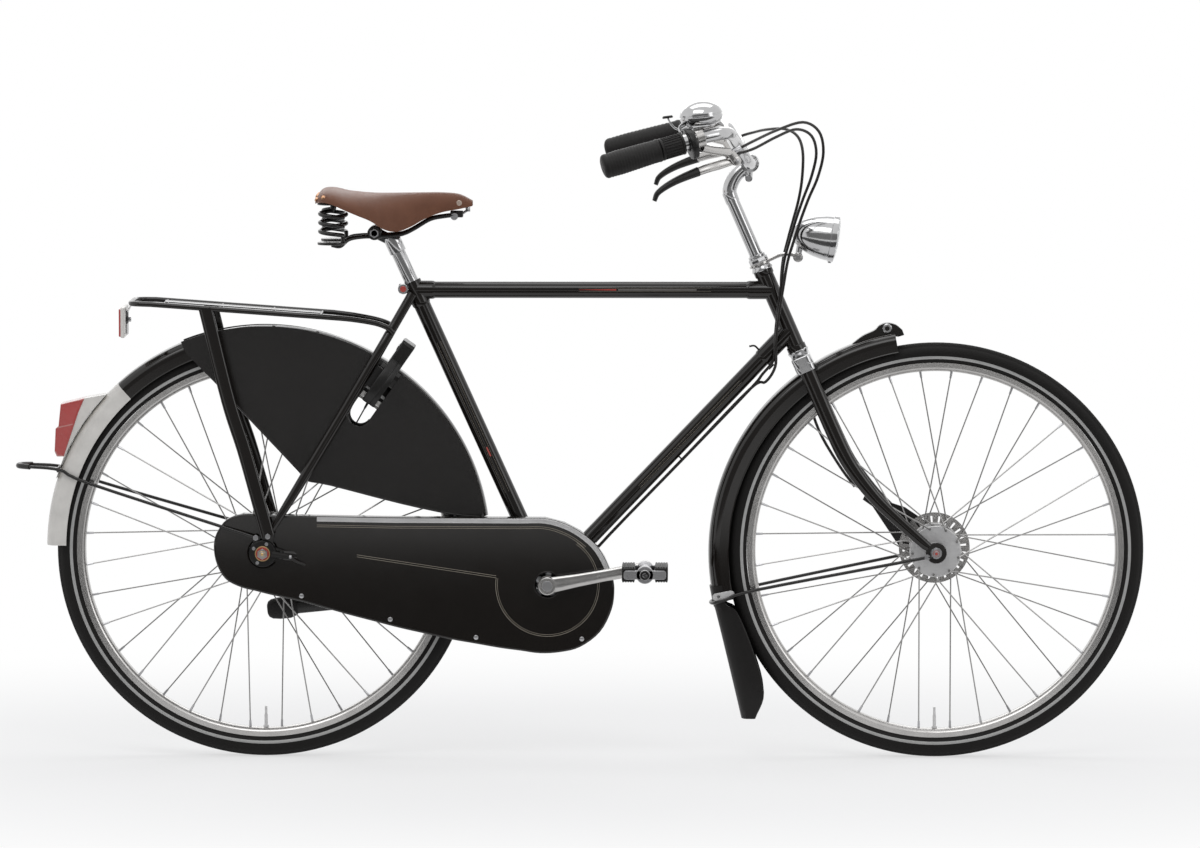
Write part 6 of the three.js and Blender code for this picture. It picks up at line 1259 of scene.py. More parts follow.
def crest(bm):
    """The raised nose of the front mudguard with its round boss, and the bright strap at its foot."""
    centre = guard_centre(FRONT_AXLE, FRONT_GUARD)
    points = [around(centre, FRONT_RADIUS * r, t) for t, r in CREST]
    smooth = rounded(points[1:8], 4) + points[8:] + points[:1]
    plate(bm, flat(smooth), -9, 9, bevel=4, segments=4)
    eye = around(centre, FRONT_RADIUS * 1.022, 101.7)
    across(bm, eye, -11, 11, 8.5, 36, index=3, bevel=1.6)
    across(bm, eye, -11.6, 11.6, 4.2, 28, bevel=0.5)
    out, along = at(cos(STRAP_TURN), 0, sin(STRAP_TURN)), at(-sin(STRAP_TURN), 0, cos(STRAP_TURN))
    for side in SIDES:
        y0, y1 = sorted((side * 27.2, side * 31))
        outline = [centre + out * (STRAP_RADIUS + u) + along * v for u, v in rounded_rectangle(19, 6.2, 6)]
        plate(bm, flat(outline), y0, y1, index=4, bevel=0.5)
        bolt = around(centre, 375, STRAP_TURN)
        across(bm, bolt, *sorted((side * 30.6, side * 33)), 3.2, 6, index=3, bevel=0.4)


def front_stay_piece():
    front = both_sides(on_centre(FRONT_AXLE, FRONT_RADIUS, FRONT_STAY))
    bm = bmesh.new()
    sweep(bm, rounded(front, 5), 2.8, 20)
    for side in SIDES:
        p = at(front[0].x, side * abs(front[0].y), front[0].z)
        across(bm, p, p.y - 3.2, p.y + 3.2, 5.2, 6, index=1, bevel=0.6)
    piece("front_stay_loop", bm, [BLACK_STEEL, ZINC], "steering_body", "front_mudguard_stay")


def rear_stay_piece():
    rear = both_sides(on_centre(REAR_AXLE, REAR_RADIUS, REAR_STAY))
    bm = bmesh.new()
    sweep(bm, rounded(rear, 5), 2.8, 20)
    loop = [p for p in rear if p.x < rear[2].x - 13.5]
    sweep(bm, rounded(loop, 8), 4.7, 24)
    x = rear[2].x - 4.9
    block(bm, at(x - 1.2, -29.5, rear[2].z - 4), at(x + 1.2, 29.5, rear[2].z + 4), bevel=0.5)
    for side in SIDES:
        p = at(rear[0].x, side * abs(rear[0].y), rear[0].z)
        across(bm, p, p.y - 3, p.y + 3, 5.2, 6, index=1, bevel=0.6)
        rod(bm, at(x - 3.2, side * 20, rear[2].z), at(x + 0.5, side * 20, rear[2].z), 3, 12, index=1, bevel=0.6)
    piece("rear_stay_loop", bm, [BLACK_STEEL, ZINC], "frame_body", "rear_mudguard_stay")


def loft(bm, rings, index=0):
    """A closed skin over rings of points, with as many points in each."""
    before = set(bm.faces)
    rows = len(rings[0]) + 1
    verts = bmesh.ops.create_grid(bm, x_segments=len(rings) - 1, y_segments=rows - 1, size=0.5)["verts"]
    verts = sorted(verts, key=lambda v: (round(v.co.x, 5), round(v.co.y, 5)))
    for i, ring in enumerate(rings):
        for k, point in enumerate([*ring, ring[0]]):
            verts[i * rows + k].co = point
    bmesh.ops.remove_doubles(bm, verts=verts, dist=0.0005)
    rims = list({e for f in bm.faces if f not in before for e in f.edges if e.is_boundary})
    if rims:
        bmesh.ops.edgeloop_fill(bm, edges=rims)
    paint((f for f in bm.faces if f not in before), index)


def flap_piece():
    bm = bmesh.new()
    centre = guard_centre(FRONT_AXLE, FRONT_GUARD)

    def lap(turn):
        ring = []
        for grow in (2.3, 0.3):
            half = [(y + grow * (1 if y > 0 else 0), d + (grow if d > -15 else 0))
                    for y, d in GUARD_SECTION[1:]]
            row = [around(centre, FRONT_RADIUS + d, turn, y) for y, d in mirrored_section(half)]
            ring += row if grow > 1 else row[::-1]
        return ring

    def row(forward, up, deep, wide):
        x, z = FRONT_AXLE.x + forward * FRONT_RADIUS, FRONT_AXLE.z + up * FRONT_RADIUS
        shape = [(1, 1), (1, 0.68), (0.98, 0.35), (0.8, 0.14), (0.55, 0.03), (0.28, 0.004), (0, 0)]
        ring = []
        for inward in (0, 2):
            half = [(w * wide * 27 - (inward if w else 0), d * deep * 27 + inward) for w, d in shape]
            points = [at(x + d, y, z) for y, d in half] + [at(x + d, -y, z) for y, d in reversed(half[:-1])]
            ring += points if inward == 0 else points[::-1]
        return ring

    rings = [lap(188.6), lap(193.6)] + [row(*r) for r in FLAP_ROWS]
    columns = [rounded([ring[k] for ring in rings], 5) for k in range(len(rings[0]))]
    loft(bm, [[c[i] for c in columns] for i in range(len(columns[0]))])
    piece("flared_mudflap", bm, FLAP, "steering_body", "front_mudflap")


def tail_lamp_piece():
    bm = bmesh.new()
    lens = outline_on(REAR_AXLE, REAR_RADIUS, TAIL_LENS)
    centre = guard_centre(REAR_AXLE, REAR_GUARD)
    seat = flat(around(centre, REAR_RADIUS + 0.5, t) for t in (136.5, 140, 144, 148, 152, 156, 159, 162))
    plate(bm, [lens[1], *seat, lens[3], lens[2]], -25, 25, index=2, bevel=2, segments=3)
    plate(bm, lens, -28, 28, bevel=3, segments=4)
    step = REAR_AXLE.z + REAR_RADIUS * LENS_STEP
    for face in bm.faces:
        if face.material_index == 0 and face.calc_center_median().z < step - 24:
            face.material_index = 1
    back, front = lens[7][0] - 1.2, lens[2][0] - 10
    ridge = [(back, step - 1), (front, step + 5), (front, step + 7), (back, step + 1.5)]
    plate(bm, ridge, -28.6, 28.6, index=1, bevel=0.5)
    piece("tail_lamp_lens", bm, [RED_LENS, PALE_LENS, WHITE_ENAMEL], "frame_body", "tail_lamp")


def reflector_piece():
    bm = bmesh.new()
    x0, x1, z0, z1 = REFLECTOR_FRONT - 10, REFLECTOR_FRONT, REAR_AXLE.z + 366.5, REAR_AXLE.z + 418.5
    block(bm, at(x0 + 3, -45, z0), at(x1, 45, z1), index=1, bevel=2.4)
    block(bm, at(x0, -43, z0 + 2), at(x0 + 5, 43, z1 - 2.5), bevel=1.5)
    block(bm, at(x1 - 1, -9, z0 + 22), at(x1 + 3, 9, z1 - 8), index=2, bevel=1)
    rod(bm, at(x1, 0, z0 + 29), at(x1 + 8, 0, z0 + 29), 4, 24, index=3, bevel=0.8)
    slots = [RED_LENS, WHITE_ENAMEL, PLASTIC, ZINC]
    piece("rear_reflector_plate", bm, slots, "frame_body", "rear_reflector")


guard_piece("front", FRONT_AXLE, FRONT_GUARD, "steering_body")
guard_piece("rear", REAR_AXLE, REAR_GUARD, "frame_body")
front_stay_piece()
rear_stay_piece()
flap_piece()
tail_lamp_piece()
reflector_piece()

# Saddle

SADDLE_LONG = 265
SADDLE_HIGH = 72
SADDLE_WIDE = 105
SADDLE_BASE = seat_point(630)
SPRING_X = SADDLE_BASE.x - 107.5
SPRING_OUT = 55
COIL_RADIUS = 19.5
STATIONS = [0, 0.038, 0.106, 0.197, 0.279, 0.362, 0.445, 0.525, 0.611, 0.702, 0.808, 0.92, 1.005]
TOPS = [0.79, 0.98, 1.01, 0.94, 0.905, 0.885, 0.885, 0.89, 0.895, 0.9, 0.9, 0.86, 0.71]
SKIRTS = [0.667, 0.708, 0.681, 0.542, 0.417, 0.278, 0.069, 0.007, 0.111, 0.292, 0.438, 0.514, 0.583]
WIDTHS = [0.55, 0.76, 0.924, 0.99, 1, 0.895, 0.714, 0.552, 0.41, 0.295, 0.229, 0.2, 0.143]
RAIL = [(-0.4049, -0.2075, 0.0275), (-0.3502, -0.1887, 0.02), (-0.2974, -0.1547, 0.0615),
        (-0.2181, -0.1019, 0.0747), (-0.1389, -0.083, 0.0766), (-0.003, -0.0792, 0.0842),
        (0.0611, -0.0717, 0.0974), (0.1253, -0.0604, 0.1294), (0.2234, -0.0453, 0.186),
        (0.3177, -0.0358, 0.2049), (0.3932, -0.0321, 0.2125)]
COPPER_HEAD = [(0, 2.4), (2.4, 2), (4, 0.9), (4.4, -1), (0, -1)]
NOSE_RIVET = [(0, 1.6), (2, 1.2), (3, 0.2), (3.2, -1.4), (0, -1.4)]
SKIRT_RIVET = [(0, 1.5), (2.2, 1.1), (3.6, 0), (3.8, -1.5), (0, -1.5)]
PALE_HEAD = [(0, 1.2), (3.6, 1), (4.8, 0), (4.8, -2), (0, -2)]
LEATHER_THICK = 4.5
LEATHER_POWER = 0.77


def leather_rows():
    """Smooth rows of (X, top, skirt, half width) from the saddle's back edge to its nose."""
    table = [at(s, t, k) for s, t, k in zip(STATIONS, TOPS, SKIRTS)]
    widths = [at(s, w, 0) for s, w in zip(STATIONS, WIDTHS)]
    first, second = rounded(table, 6), rounded(widths, 6)
    rows = []
    for a, b in zip(first, second):
        x = SADDLE_BASE.x - 135 + a.x * SADDLE_LONG
        base = SADDLE_BASE.z + 30
        rows.append((x, base + a.y * SADDLE_HIGH, base + a.z * SADDLE_HIGH, b.y * SADDLE_WIDE))
    return rows


def leather_piece():
    bm = bmesh.new()
    rings = []
    for x, top, skirt, wide in leather_rows():
        ring = []
        for inward in (0, LEATHER_THICK):
            high, half = top - skirt - inward, wide - inward
            points = []
            for k in range(29):
                turn = -90 + 180 * k / 28
                s = math.copysign(abs(sin(turn)) ** LEATHER_POWER, turn)
                c = abs(cos(turn)) ** LEATHER_POWER
                points.append(at(x, half * s, skirt + high * c))
            ring += points if inward == 0 else points[::-1]
        rings.append(ring)
    loft(bm, rings)
    rows = leather_rows()
    for y in (-60, -36, -12, 12, 36, 60):
        x, top, skirt, wide = rows[3]
        lift = (1 - min(1, abs(y) / wide) ** (1 / LEATHER_POWER * 2)) ** LEATHER_POWER if abs(y) < wide else 0
        z = skirt + (top - skirt) * max(0.1, lift) ** 0.5
        centre = at(x - 2.4, y, z - 3.2)
        turned(bm, COPPER_HEAD, centre, at(-0.8, 0, 0.6), steps=20, index=1)
    x, top, skirt, wide = rows[-4]
    for y in (-5.5, 5.5):
        turned(bm, NOSE_RIVET, at(x, y, top - 2.2), at(0.35, 0, 0.94), steps=20, index=1)
    for y in SIDES:
        x, top, skirt, wide = rows[8]
        turned(bm, SKIRT_RIVET, at(x, y * (wide - 1.6), skirt + 9), at(0, y, 0.25), steps=20, index=1)
        x, top, skirt, wide = rows[-7]
        spot = at(x, y * (wide - 0.6), lerp(skirt, top, 0.42))
        turned(bm, PALE_HEAD, spot, at(0, y, 0.1), steps=24, index=3)
    z = SADDLE_BASE.z + 76
    block(bm, at(SPRING_X - 14, -SPRING_OUT, z), at(SPRING_X + 14, SPRING_OUT, z + 3), index=2)
    block(bm, at(SPRING_X - 14, -SPRING_OUT, z), at(SPRING_X - 11, SPRING_OUT, z + 19), index=2)
    for side in SIDES:
        foot = at(SPRING_X, side * SPRING_OUT, z)
        rod(bm, foot, foot + at(0, 0, 3), 24, 36, index=2, bevel=0.8)
    slots = [LEATHER, COPPER, BLACK_STEEL, RIVET]
    piece("stretched_saddle_leather", bm, slots, "frame_body", "saddle_leather")


def saddle_frame_piece():
    bm = bmesh.new()
    for side in SIDES:
        rail = on_centre(SADDLE_BASE, SADDLE_LONG, [(x, -side * y, z) for x, y, z in RAIL])
        sweep(bm, rounded(rail, 6), 3.5, 20)
        centre = at(SPRING_X, side * SPRING_OUT, SADDLE_BASE.z + 12.5)
        rod(bm, centre - at(0, 0, 4.5), centre, 24, 40, bevel=1)
    clamp = at(SADDLE_BASE.x - 36, 0, SADDLE_BASE.z + 26)
    across(bm, clamp, -27, 27, 12, 36, bevel=1.5)
    across(bm, clamp, -31, 31, 6, 24, index=1, bevel=0.8)
    across(bm, clamp, -31, -26.8, 8.6, 6, index=1, bevel=0.8)
    rod(bm, seat_point(621), seat_point(651), 14.4, 40, index=2, bevel=0.8)
    rod(bm, clamp, seat_point(642), 9.6, 24)
    x, z = SADDLE_BASE.x + RAIL[-1][0] * SADDLE_LONG, SADDLE_BASE.z + RAIL[-1][2] * SADDLE_LONG
    block(bm, at(x - 11, -11, z - 4.2), at(x + 11, 11, z + 7), bevel=2)
    across(bm, at(x - 4, 0, z - 2.5), -12.2, 12.2, 6.4, 32, index=1, bevel=0.9)
    rod(bm, at(x + 9, 0, z + 1.5), at(x + 20, 0, z + 9), 2.2, 20, index=1, bevel=0.5)
    rod(bm, at(x + 19, 0, z + 5.5), at(x + 19, 0, z + 16), 4.6, 6, index=1, bevel=0.6)
    piece("saddle_wire_frame", bm, [BLACK_STEEL, ZINC, CHROME], "frame_body", "saddle_frame")


def spring_piece(side):
    bm = bmesh.new()
    name = f"saddle_spring_{HANDS[side]}"
    foot = at(SPRING_X, side * SPRING_OUT, SADDLE_BASE.z)
    low, high = 12.8 + 10.8, 75.7 - 10.8
    turns = (high - low) / 15
    steps = round(turns * 28)
    coil = []
    for i in range(steps + 1):
        turn = 360 * turns * i / steps
        z = foot.z + low + (high - low) * i / steps
        coil.append(at(foot.x + COIL_RADIUS * cos(turn), foot.y + side * COIL_RADIUS * sin(turn), z))
    first, last = coil[0], coil[-1]
    points = [at(first.x, first.y, foot.z + 12.8), at(first.x, first.y, foot.z + 20), *coil,
              at(last.x, last.y, foot.z + 68.5), at(last.x, last.y, foot.z + 75.7)]
    sweep(bm, points, 3.6, 16, wide=at(0, 1, 0))
    piece(f"{name}_coil", bm, BLACK_STEEL, "frame_body", name)


def seat_post_piece():
    bm = bmesh.new()
    rod(bm, seat_point(SEAT_TUBE_LENGTH - 90), seat_point(644.7), 12.1, 40, bevel=0.8)
    piece("seat_post_tube", bm, CHROME, "frame_body", "seat_post")


leather_piece()
saddle_frame_piece()
for hand_side in SIDES:
    spring_piece(hand_side)
seat_post_piece()

# Luggage carrier

CARRIER = 450
CARRIER_RAIL = [(0.4967, -0.0944, 0.8344), (0.4744, -0.0978, 0.8544), (0.4256, -0.0978, 0.8722),
                (0.3389, -0.1156, 0.8878), (0.2567, -0.1378, 0.8967), (-0.4233, -0.1378, 0.9456),
                (-0.4767, -0.1267, 0.9467), (-0.5007, -0.0889, 0.9471), (-0.5007, 0, 0.9471)]
CARRIER_LEG = [(-0.2144, -0.1378, 0.93), (-0.13, -0.1489, 0.5833), (-0.07, -0.1578, 0.3944),
               (-0.0167, -0.1711, 0.2056), (0.0211, -0.18, 0.0678)]


def carrier_piece():
    bm = bmesh.new()
    rail = on_centre(REAR_AXLE, CARRIER, CARRIER_RAIL)
    front, rear = rail[4], rail[5]
    half = [*rounded(rail[:5], 4)[:-1], front, front.lerp(rear, 0.5), *rounded(rail[5:], 5)]
    sweep(bm, both_sides(half), 4.5, 20)
    for share in (0.06, 0.33, 0.62, 0.93):
        p = front.lerp(rear, share)
        across(bm, p, p.y, -p.y, 3, 16)
    up = at(0, 0, 3.75)
    ends = [at(p.x, 0, p.z) + up for p in (front.lerp(rear, 0.06), front.lerp(rear, 0.93))]
    sweep(bm, ends, (20, 1.5), 4, wide=at(0, 1, 0))
    for side in SIDES:
        leg = rounded(on_centre(REAR_AXLE, CARRIER, [(x, -side * y, z) for x, y, z in CARRIER_LEG]), 6)
        sweep(bm, leg, (5, 12), 20, power=0.7)
        foot = leg[-1]
        across(bm, foot, foot.y - 6.6, foot.y + 6.6, 5, 6, index=1, bevel=0.8)
    end = rail[-1]
    x = REFLECTOR_FRONT + 1.7
    tab = [end, at((end.x + x) / 2, 0, end.z - 9), at(x, 0, end.z - 18), at(x, 0, REAR_AXLE.z + 371)]
    sweep(bm, tab, (15, 1.4), 4, wide=at(0, 1, 0))
    piece("tubular_luggage_carrier", bm, [ENAMEL, ZINC], "frame_body", "luggage_carrier")


carrier_piece()

# Coat guards and ring lock

LOCK_ANGLE = 54.93
LOCK_REACH = 350
LOCK_INNER = 45
LOCK_OUTER = 60
LOCK_OPEN = 130
SHACKLE_RADIUS = 52
SHACKLE_LEVEL = -8.1
COAT_RADIUS = 386
SLOT_RADIUS = 19
SLOT_REACH = 284
COAT_EDGE = [(-0.3484, 0.8847), (-0.193, 0.7241), (-0.0376, 0.5609), (0.1593, 0.351), (0.1878, 0.3148),
             (0.294, 0.294), (0.6049, 0.2137), (0.8355, 0.1645), (0.9598, 0.1528)]
LOCK_ALONG = at(cos(LOCK_ANGLE), 0, sin(LOCK_ANGLE))
LOCK_OUT = at(-sin(LOCK_ANGLE), 0, cos(LOCK_ANGLE))


def lock_at(x, y, z):
    return REAR_AXLE + LOCK_ALONG * x + LOCK_OUT * z + at(0, y, 0)


def coat_guard_piece(side):
    bm = bmesh.new()
    name = f"coat_guard_{HANDS[side]}"
    y0, y1 = sorted((side * 27.3, side * 28.8))
    edge = outline_on(REAR_AXLE, COAT_RADIUS, COAT_EDGE)
    slot = math.degrees(math.asin(SLOT_RADIUS / COAT_RADIUS))

    def round_arc(a, b, steps):
        return flat(around(REAR_AXLE, COAT_RADIUS, lerp(a, b, i / steps)) for i in range(steps + 1))

    turns = range(-90, -271, -15)
    bottom = [lock_at(SLOT_REACH + SLOT_RADIUS * cos(t), 0, SLOT_RADIUS * sin(t)) for t in turns]
    points = edge + round_arc(8.8, LOCK_ANGLE - slot, 30)[1:] + flat(bottom)
    points += round_arc(LOCK_ANGLE + slot, 111.5, 36)
    plate(bm, points, y0, y1, bevel=0.4)
    hem = [at(x, (y0 + y1) / 2, z) for x, z in edge[1:]]
    sweep(bm, rounded(hem, 3), 1.5, 10, wide=at(0, 1, 0))
    rim = [at(p.x, (y0 + y1) / 2, p.z) for p in bottom]
    sweep(bm, rim, 1.5, 10, wide=at(0, 1, 0))
    piece(f"{name}_sheet", bm, VINYL, "frame_body", name)


def ring_band(bm, inner, outer, start, end, low, high, bevel):
    def circle(r):
        return [(LOCK_REACH + r * cos(t), r * sin(t)) for t in (lerp(start, end, i / 40) for i in range(41))]

    slab(bm, lock_at, circle(outer) + circle(inner)[::-1], low, high, bevel)


def ring_lock_piece():
    bm = bmesh.new()
    ring_band(bm, LOCK_INNER, LOCK_OUTER, -LOCK_OPEN, LOCK_OPEN, -3.8, 12, 2)
    ring_band(bm, LOCK_INNER, LOCK_INNER + 2.6, -LOCK_OPEN, LOCK_OPEN, -12, -3, 0.8)
    ring_band(bm, LOCK_OUTER - 3.6, LOCK_OUTER, -LOCK_OPEN, LOCK_OPEN, -12, -3, 1)
    ring_band(bm, LOCK_INNER, LOCK_OUTER, -113, -3, -12, -3, 1.5)
    body = [(LOCK_REACH + x, y) for x, y in ((45.5, -34), (80, -34), (85, -29), (85, 29), (80, 34), (45.5, 34))]
    slab(bm, lock_at, body, -12, 12, 3)
    for side in SIDES:
        y0, y1 = sorted((side * 41, side * 50))
        slab(bm, lock_at, [(336.4, y0), (375, y0), (375, y1), (336.4, y1)], 0, 22.6, 1.5)
    rod(bm, lock_at(418, 0, 11.5), lock_at(418, 0, 13), 7.5, 32, index=1, bevel=0.5)
    rod(bm, lock_at(418, 0, 12.5), lock_at(418, 0, 13.6), 4.6, 28, index=1, bevel=0.4)
    piece("ring_lock_body", bm, [PLASTIC, ZINC], "frame_body", "ring_lock")


def shackle_piece():
    bm = bmesh.new()

    def on_ring(r, turn):
        return lock_at(LOCK_REACH + r * cos(turn), r * sin(turn), SHACKLE_LEVEL)

    bar = [on_ring(SHACKLE_RADIUS, lerp(15, 128, i / 40)) for i in range(41)]
    sweep(bm, bar, 3.2, 20, wide=at(0, 0, 1))
    root, tip = on_ring(SHACKLE_RADIUS, 96), on_ring(68, 96)
    low = LOCK_OUT * -7.5
    rod(bm, root, root + low, 1.8, 16)
    rod(bm, root + low, tip + low, 3, 20, bevel=0.8, index=1)
    piece("lock_shackle_bar", bm, [ZINC, PLASTIC], "lock_shackle_body", "lock_shackle")


for hand_side in SIDES:
    coat_guard_piece(hand_side)
ring_lock_piece()
shackle_piece()

# Axles, hub brakes and the gear changer

AXLE_RADIUS = 4.8
DISC_RADIUS = 61
FORK_OUT = 56.3
DROPOUT_OUT = 71.3
CHANGER_OUT = 79.3
FRONT_ARM = [(-1.959, 1.4836), (-1.7295, 1.4344), (-0.8279, 1.1393), (-0.123, 0.6639),
             (-0.0902, -0.5328), (-0.6639, -0.2049), (-1.0246, 0.0738), (-1.7459, 1.1557),
             (-2.0246, 1.3525)]
REAR_ARM = [(-0.4016, -0.3689), (0.7459, -0.7951), (1.7295, -0.6639), (1.8443, -0.582),
            (1.7295, -0.4672), (0.7459, -0.3525), (-0.1557, 0.2049)]


def axle_piece(end, centre, half, outers, body, cap):
    """An axle with a washer, a nut and a cap on each side, as far out as outers says."""
    bm = bmesh.new()
    across(bm, centre, -half + 1, half - 1, AXLE_RADIUS, 24, bevel=0.6)
    for side in SIDES:
        outer = outers[side]
        out = at(0, side, 0)
        face = at(centre.x, side * outer, centre.z)
        rod(bm, face, face + out * 1.4, 9.6, 36, bevel=0.3)
        rod(bm, face + out * 1.2, face + out * 7, 9.4, 6, bevel=0.8)
        dome = [(0, 10.9), (1.6, 10.6), (3.4, 9.6), (5, 7.6), (6.4, 6), (6.6, 4), (0, 4)]
        turned(bm, dome, face, out, steps=32, index=cap[side])
    piece(f"{end}_axle_fitted", bm, [ZINC, RED_PAINT, BRASS], body, f"{end}_axle")


def slotted_disc(bm, centre, radius, inner, y0, y1, slots):
    """A thin cooling disc with rows of short slots right through it."""
    before = set(bm.faces)
    columns = slots * 4
    rings = [inner, radius - 17, radius - 6, radius - 1, radius]
    verts = bmesh.ops.create_grid(bm, x_segments=columns, y_segments=len(rings) - 1, size=0.5)["verts"]
    for v in verts:
        r = rings[round((v.co.y + 0.5) * (len(rings) - 1))]
        v.co = around(centre, r, 360 * (v.co.x + 0.5), y0)
    bmesh.ops.remove_doubles(bm, verts=verts, dist=0.0005)
    faces = [f for f in bm.faces if f not in before]
    gone = []
    for face in faces:
        offset = face.calc_center_median() - centre
        r = math.hypot(offset.x, offset.z)
        column = int(math.degrees(math.atan2(offset.z, offset.x)) % 360 / (360 / columns))
        if radius - 17 < r < radius - 6 and column % 4 == 1:
            gone.append(face)
    bmesh.ops.delete(bm, geom=gone, context="FACES")
    thicken(bm, [f for f in faces if f.is_valid], (0, y1 - y0, 0))


def hub_brake_piece(end, centre, low, high, radius, disc, arm_at, arm, body):
    """A drum between two values of Y with its vented disc and the black arm that the cable pulls."""
    bm = bmesh.new()
    profile = [(5.2, low), (radius - 2, low), (radius, low + 2), (radius, high - 3), (radius - 4, high),
               (16, high), (14, high - 1.4), (5.2, high - 1.4)]
    turned(bm, profile, centre, at(0, 1, 0), steps=64, index=1)
    slotted_disc(bm, centre, DISC_RADIUS, radius - 2, *disc, 24)
    outline = outline_on(centre, DISC_RADIUS, arm)
    plate(bm, outline, *arm_at, index=2, bevel=0.8)
    x, z = outline[0] if end == "front" else outline[3]
    cx, cz = lerp(x, centre.x, 0.08), lerp(z, centre.z, 0.08)
    across(bm, at(cx, 0, cz), arm_at[0] - 4, arm_at[1] + 4, 4.4, 20, bevel=0.8)
    piece(f"{end}_brake_vented", bm, [POLISHED, BRUSHED, BLACK_STEEL], body, f"{end}_brake")


def gear_changer_piece():
    bm = bmesh.new()
    across(bm, REAR_AXLE, -DROPOUT_OUT - 7.7, -DROPOUT_OUT, 23, 48, bevel=1.6)
    across(bm, REAR_AXLE, -DROPOUT_OUT - 7.9, -DROPOUT_OUT - 7, 13, 40, index=2, bevel=0.3)
    across(bm, REAR_AXLE, -DROPOUT_OUT - 9.6, -DROPOUT_OUT - 7.6, 11.4, 40, index=4, bevel=0.8)
    for x, z in ((6.8, 16.4), (-9, -15.6), (-15, 9)):
        spot = at(REAR_AXLE.x + x, 0, REAR_AXLE.z + z)
        across(bm, spot, -DROPOUT_OUT - 7.9, -DROPOUT_OUT - 6, 3, 20, index=1, bevel=0.3)
    start = at(REAR_AXLE.x + 15.5, -DROPOUT_OUT - 6.7, REAR_AXLE.z)
    end = at(REAR_AXLE.x + 45.5, start.y, REAR_AXLE.z - 5)
    for i in range(6):
        a, b = start.lerp(end, i / 6), start.lerp(end, (i + 1) / 6)
        rod(bm, a, b, 6 - 0.25 * i, 28, end_radius=5.2 - 0.25 * i, index=3)
    rod(bm, end, end.lerp(start, -0.14), 3.2, 20, index=1, bevel=0.4)
    slots = [PLASTIC, ZINC, BRASS, RUBBER, RED_PAINT]
    piece("gear_changer_cassette", bm, slots, "frame_body", "gear_changer")


front_outers, rear_outers = {-1: FORK_OUT, 1: FORK_OUT}, {-1: CHANGER_OUT, 1: DROPOUT_OUT}
axle_piece("front", FRONT_AXLE, FORK_OUT + 11, front_outers, "steering_body", {-1: 1, 1: 1})
axle_piece("rear", REAR_AXLE, CHANGER_OUT + 11, rear_outers, "frame_body", {-1: 2, 1: 1})
hub_brake_piece("front", FRONT_AXLE, 32, 44, 38, (36, 39), (40, 42.7), FRONT_ARM, "steering_body")
hub_brake_piece("rear", REAR_AXLE, 34.5, 58, 45, (38, 41), (50, 53), REAR_ARM, "frame_body")
gear_changer_piece()

# Drive

PEDAL_IN = 97
PEDAL_OUT = 187


def pedal_turn(side):
    return CRANK_ANGLE + (180 if side > 0 else 0)


def crank_piece(side):
    bm = bmesh.new()
    name = f"crank_{HANDS[side]}"
    out = at(cos(pedal_turn(side)), 0, sin(pedal_turn(side)))
    start = at(BOTTOM_BRACKET.x, side * 77, BOTTOM_BRACKET.z)
    end = start + out * CRANK_LENGTH
    stations = [(0, 6.6, 14.6), (0.1, 6.4, 13.6), (0.3, 5.8, 11.6), (0.6, 5.4, 10.4), (0.9, 5.6, 10.6),
                (1, 6.2, 12)]
    points = [start.lerp(end, s[0]) for s in stations]
    sweep(bm, points, [s[1:] for s in stations], 28, wide=at(0, 1, 0), power=0.7)
    for p, r in ((start, 15.8), (end, 13.2)):
        across(bm, p, side * 70, side * 84, r, 44, bevel=2)
    across(bm, start, side * 83, side * 84.6, 9, 32, index=1, bevel=0.5)
    across(bm, end, side * 83.7, side * 193, 5, 24, index=1, bevel=0.6)
    across(bm, end, side * 83.7, side * 96.7, 8, 6, index=1, bevel=0.8)
    across(bm, end, side * 187.3, side * 193, 8, 32, index=2, bevel=1.5)
    if side < 0:
        across(bm, BOTTOM_BRACKET, -70.3, -45.3, 16.5, 36)
        ring = [(66, -48.7), (78, -48.7), (81, -48), (81, -46), (78, -45.3), (66, -45.3)]
        turned(bm, ring, BOTTOM_BRACKET, at(0, 1, 0), steps=80, index=1)
        for i in range(5):
            arm = [around(BOTTOM_BRACKET, r, CRANK_ANGLE + 72 * i, -CHAIN_LINE) for r in (10, 68)]
            sweep(bm, arm, (1.7, 7), 12, wide=at(0, 1, 0), index=1)
    else:
        across(bm, BOTTOM_BRACKET, -76, 70.3, 8, 28, index=1)
    piece(f"{name}_forged", bm, [POLISHED, ZINC, PLASTIC], "crank_body", name)


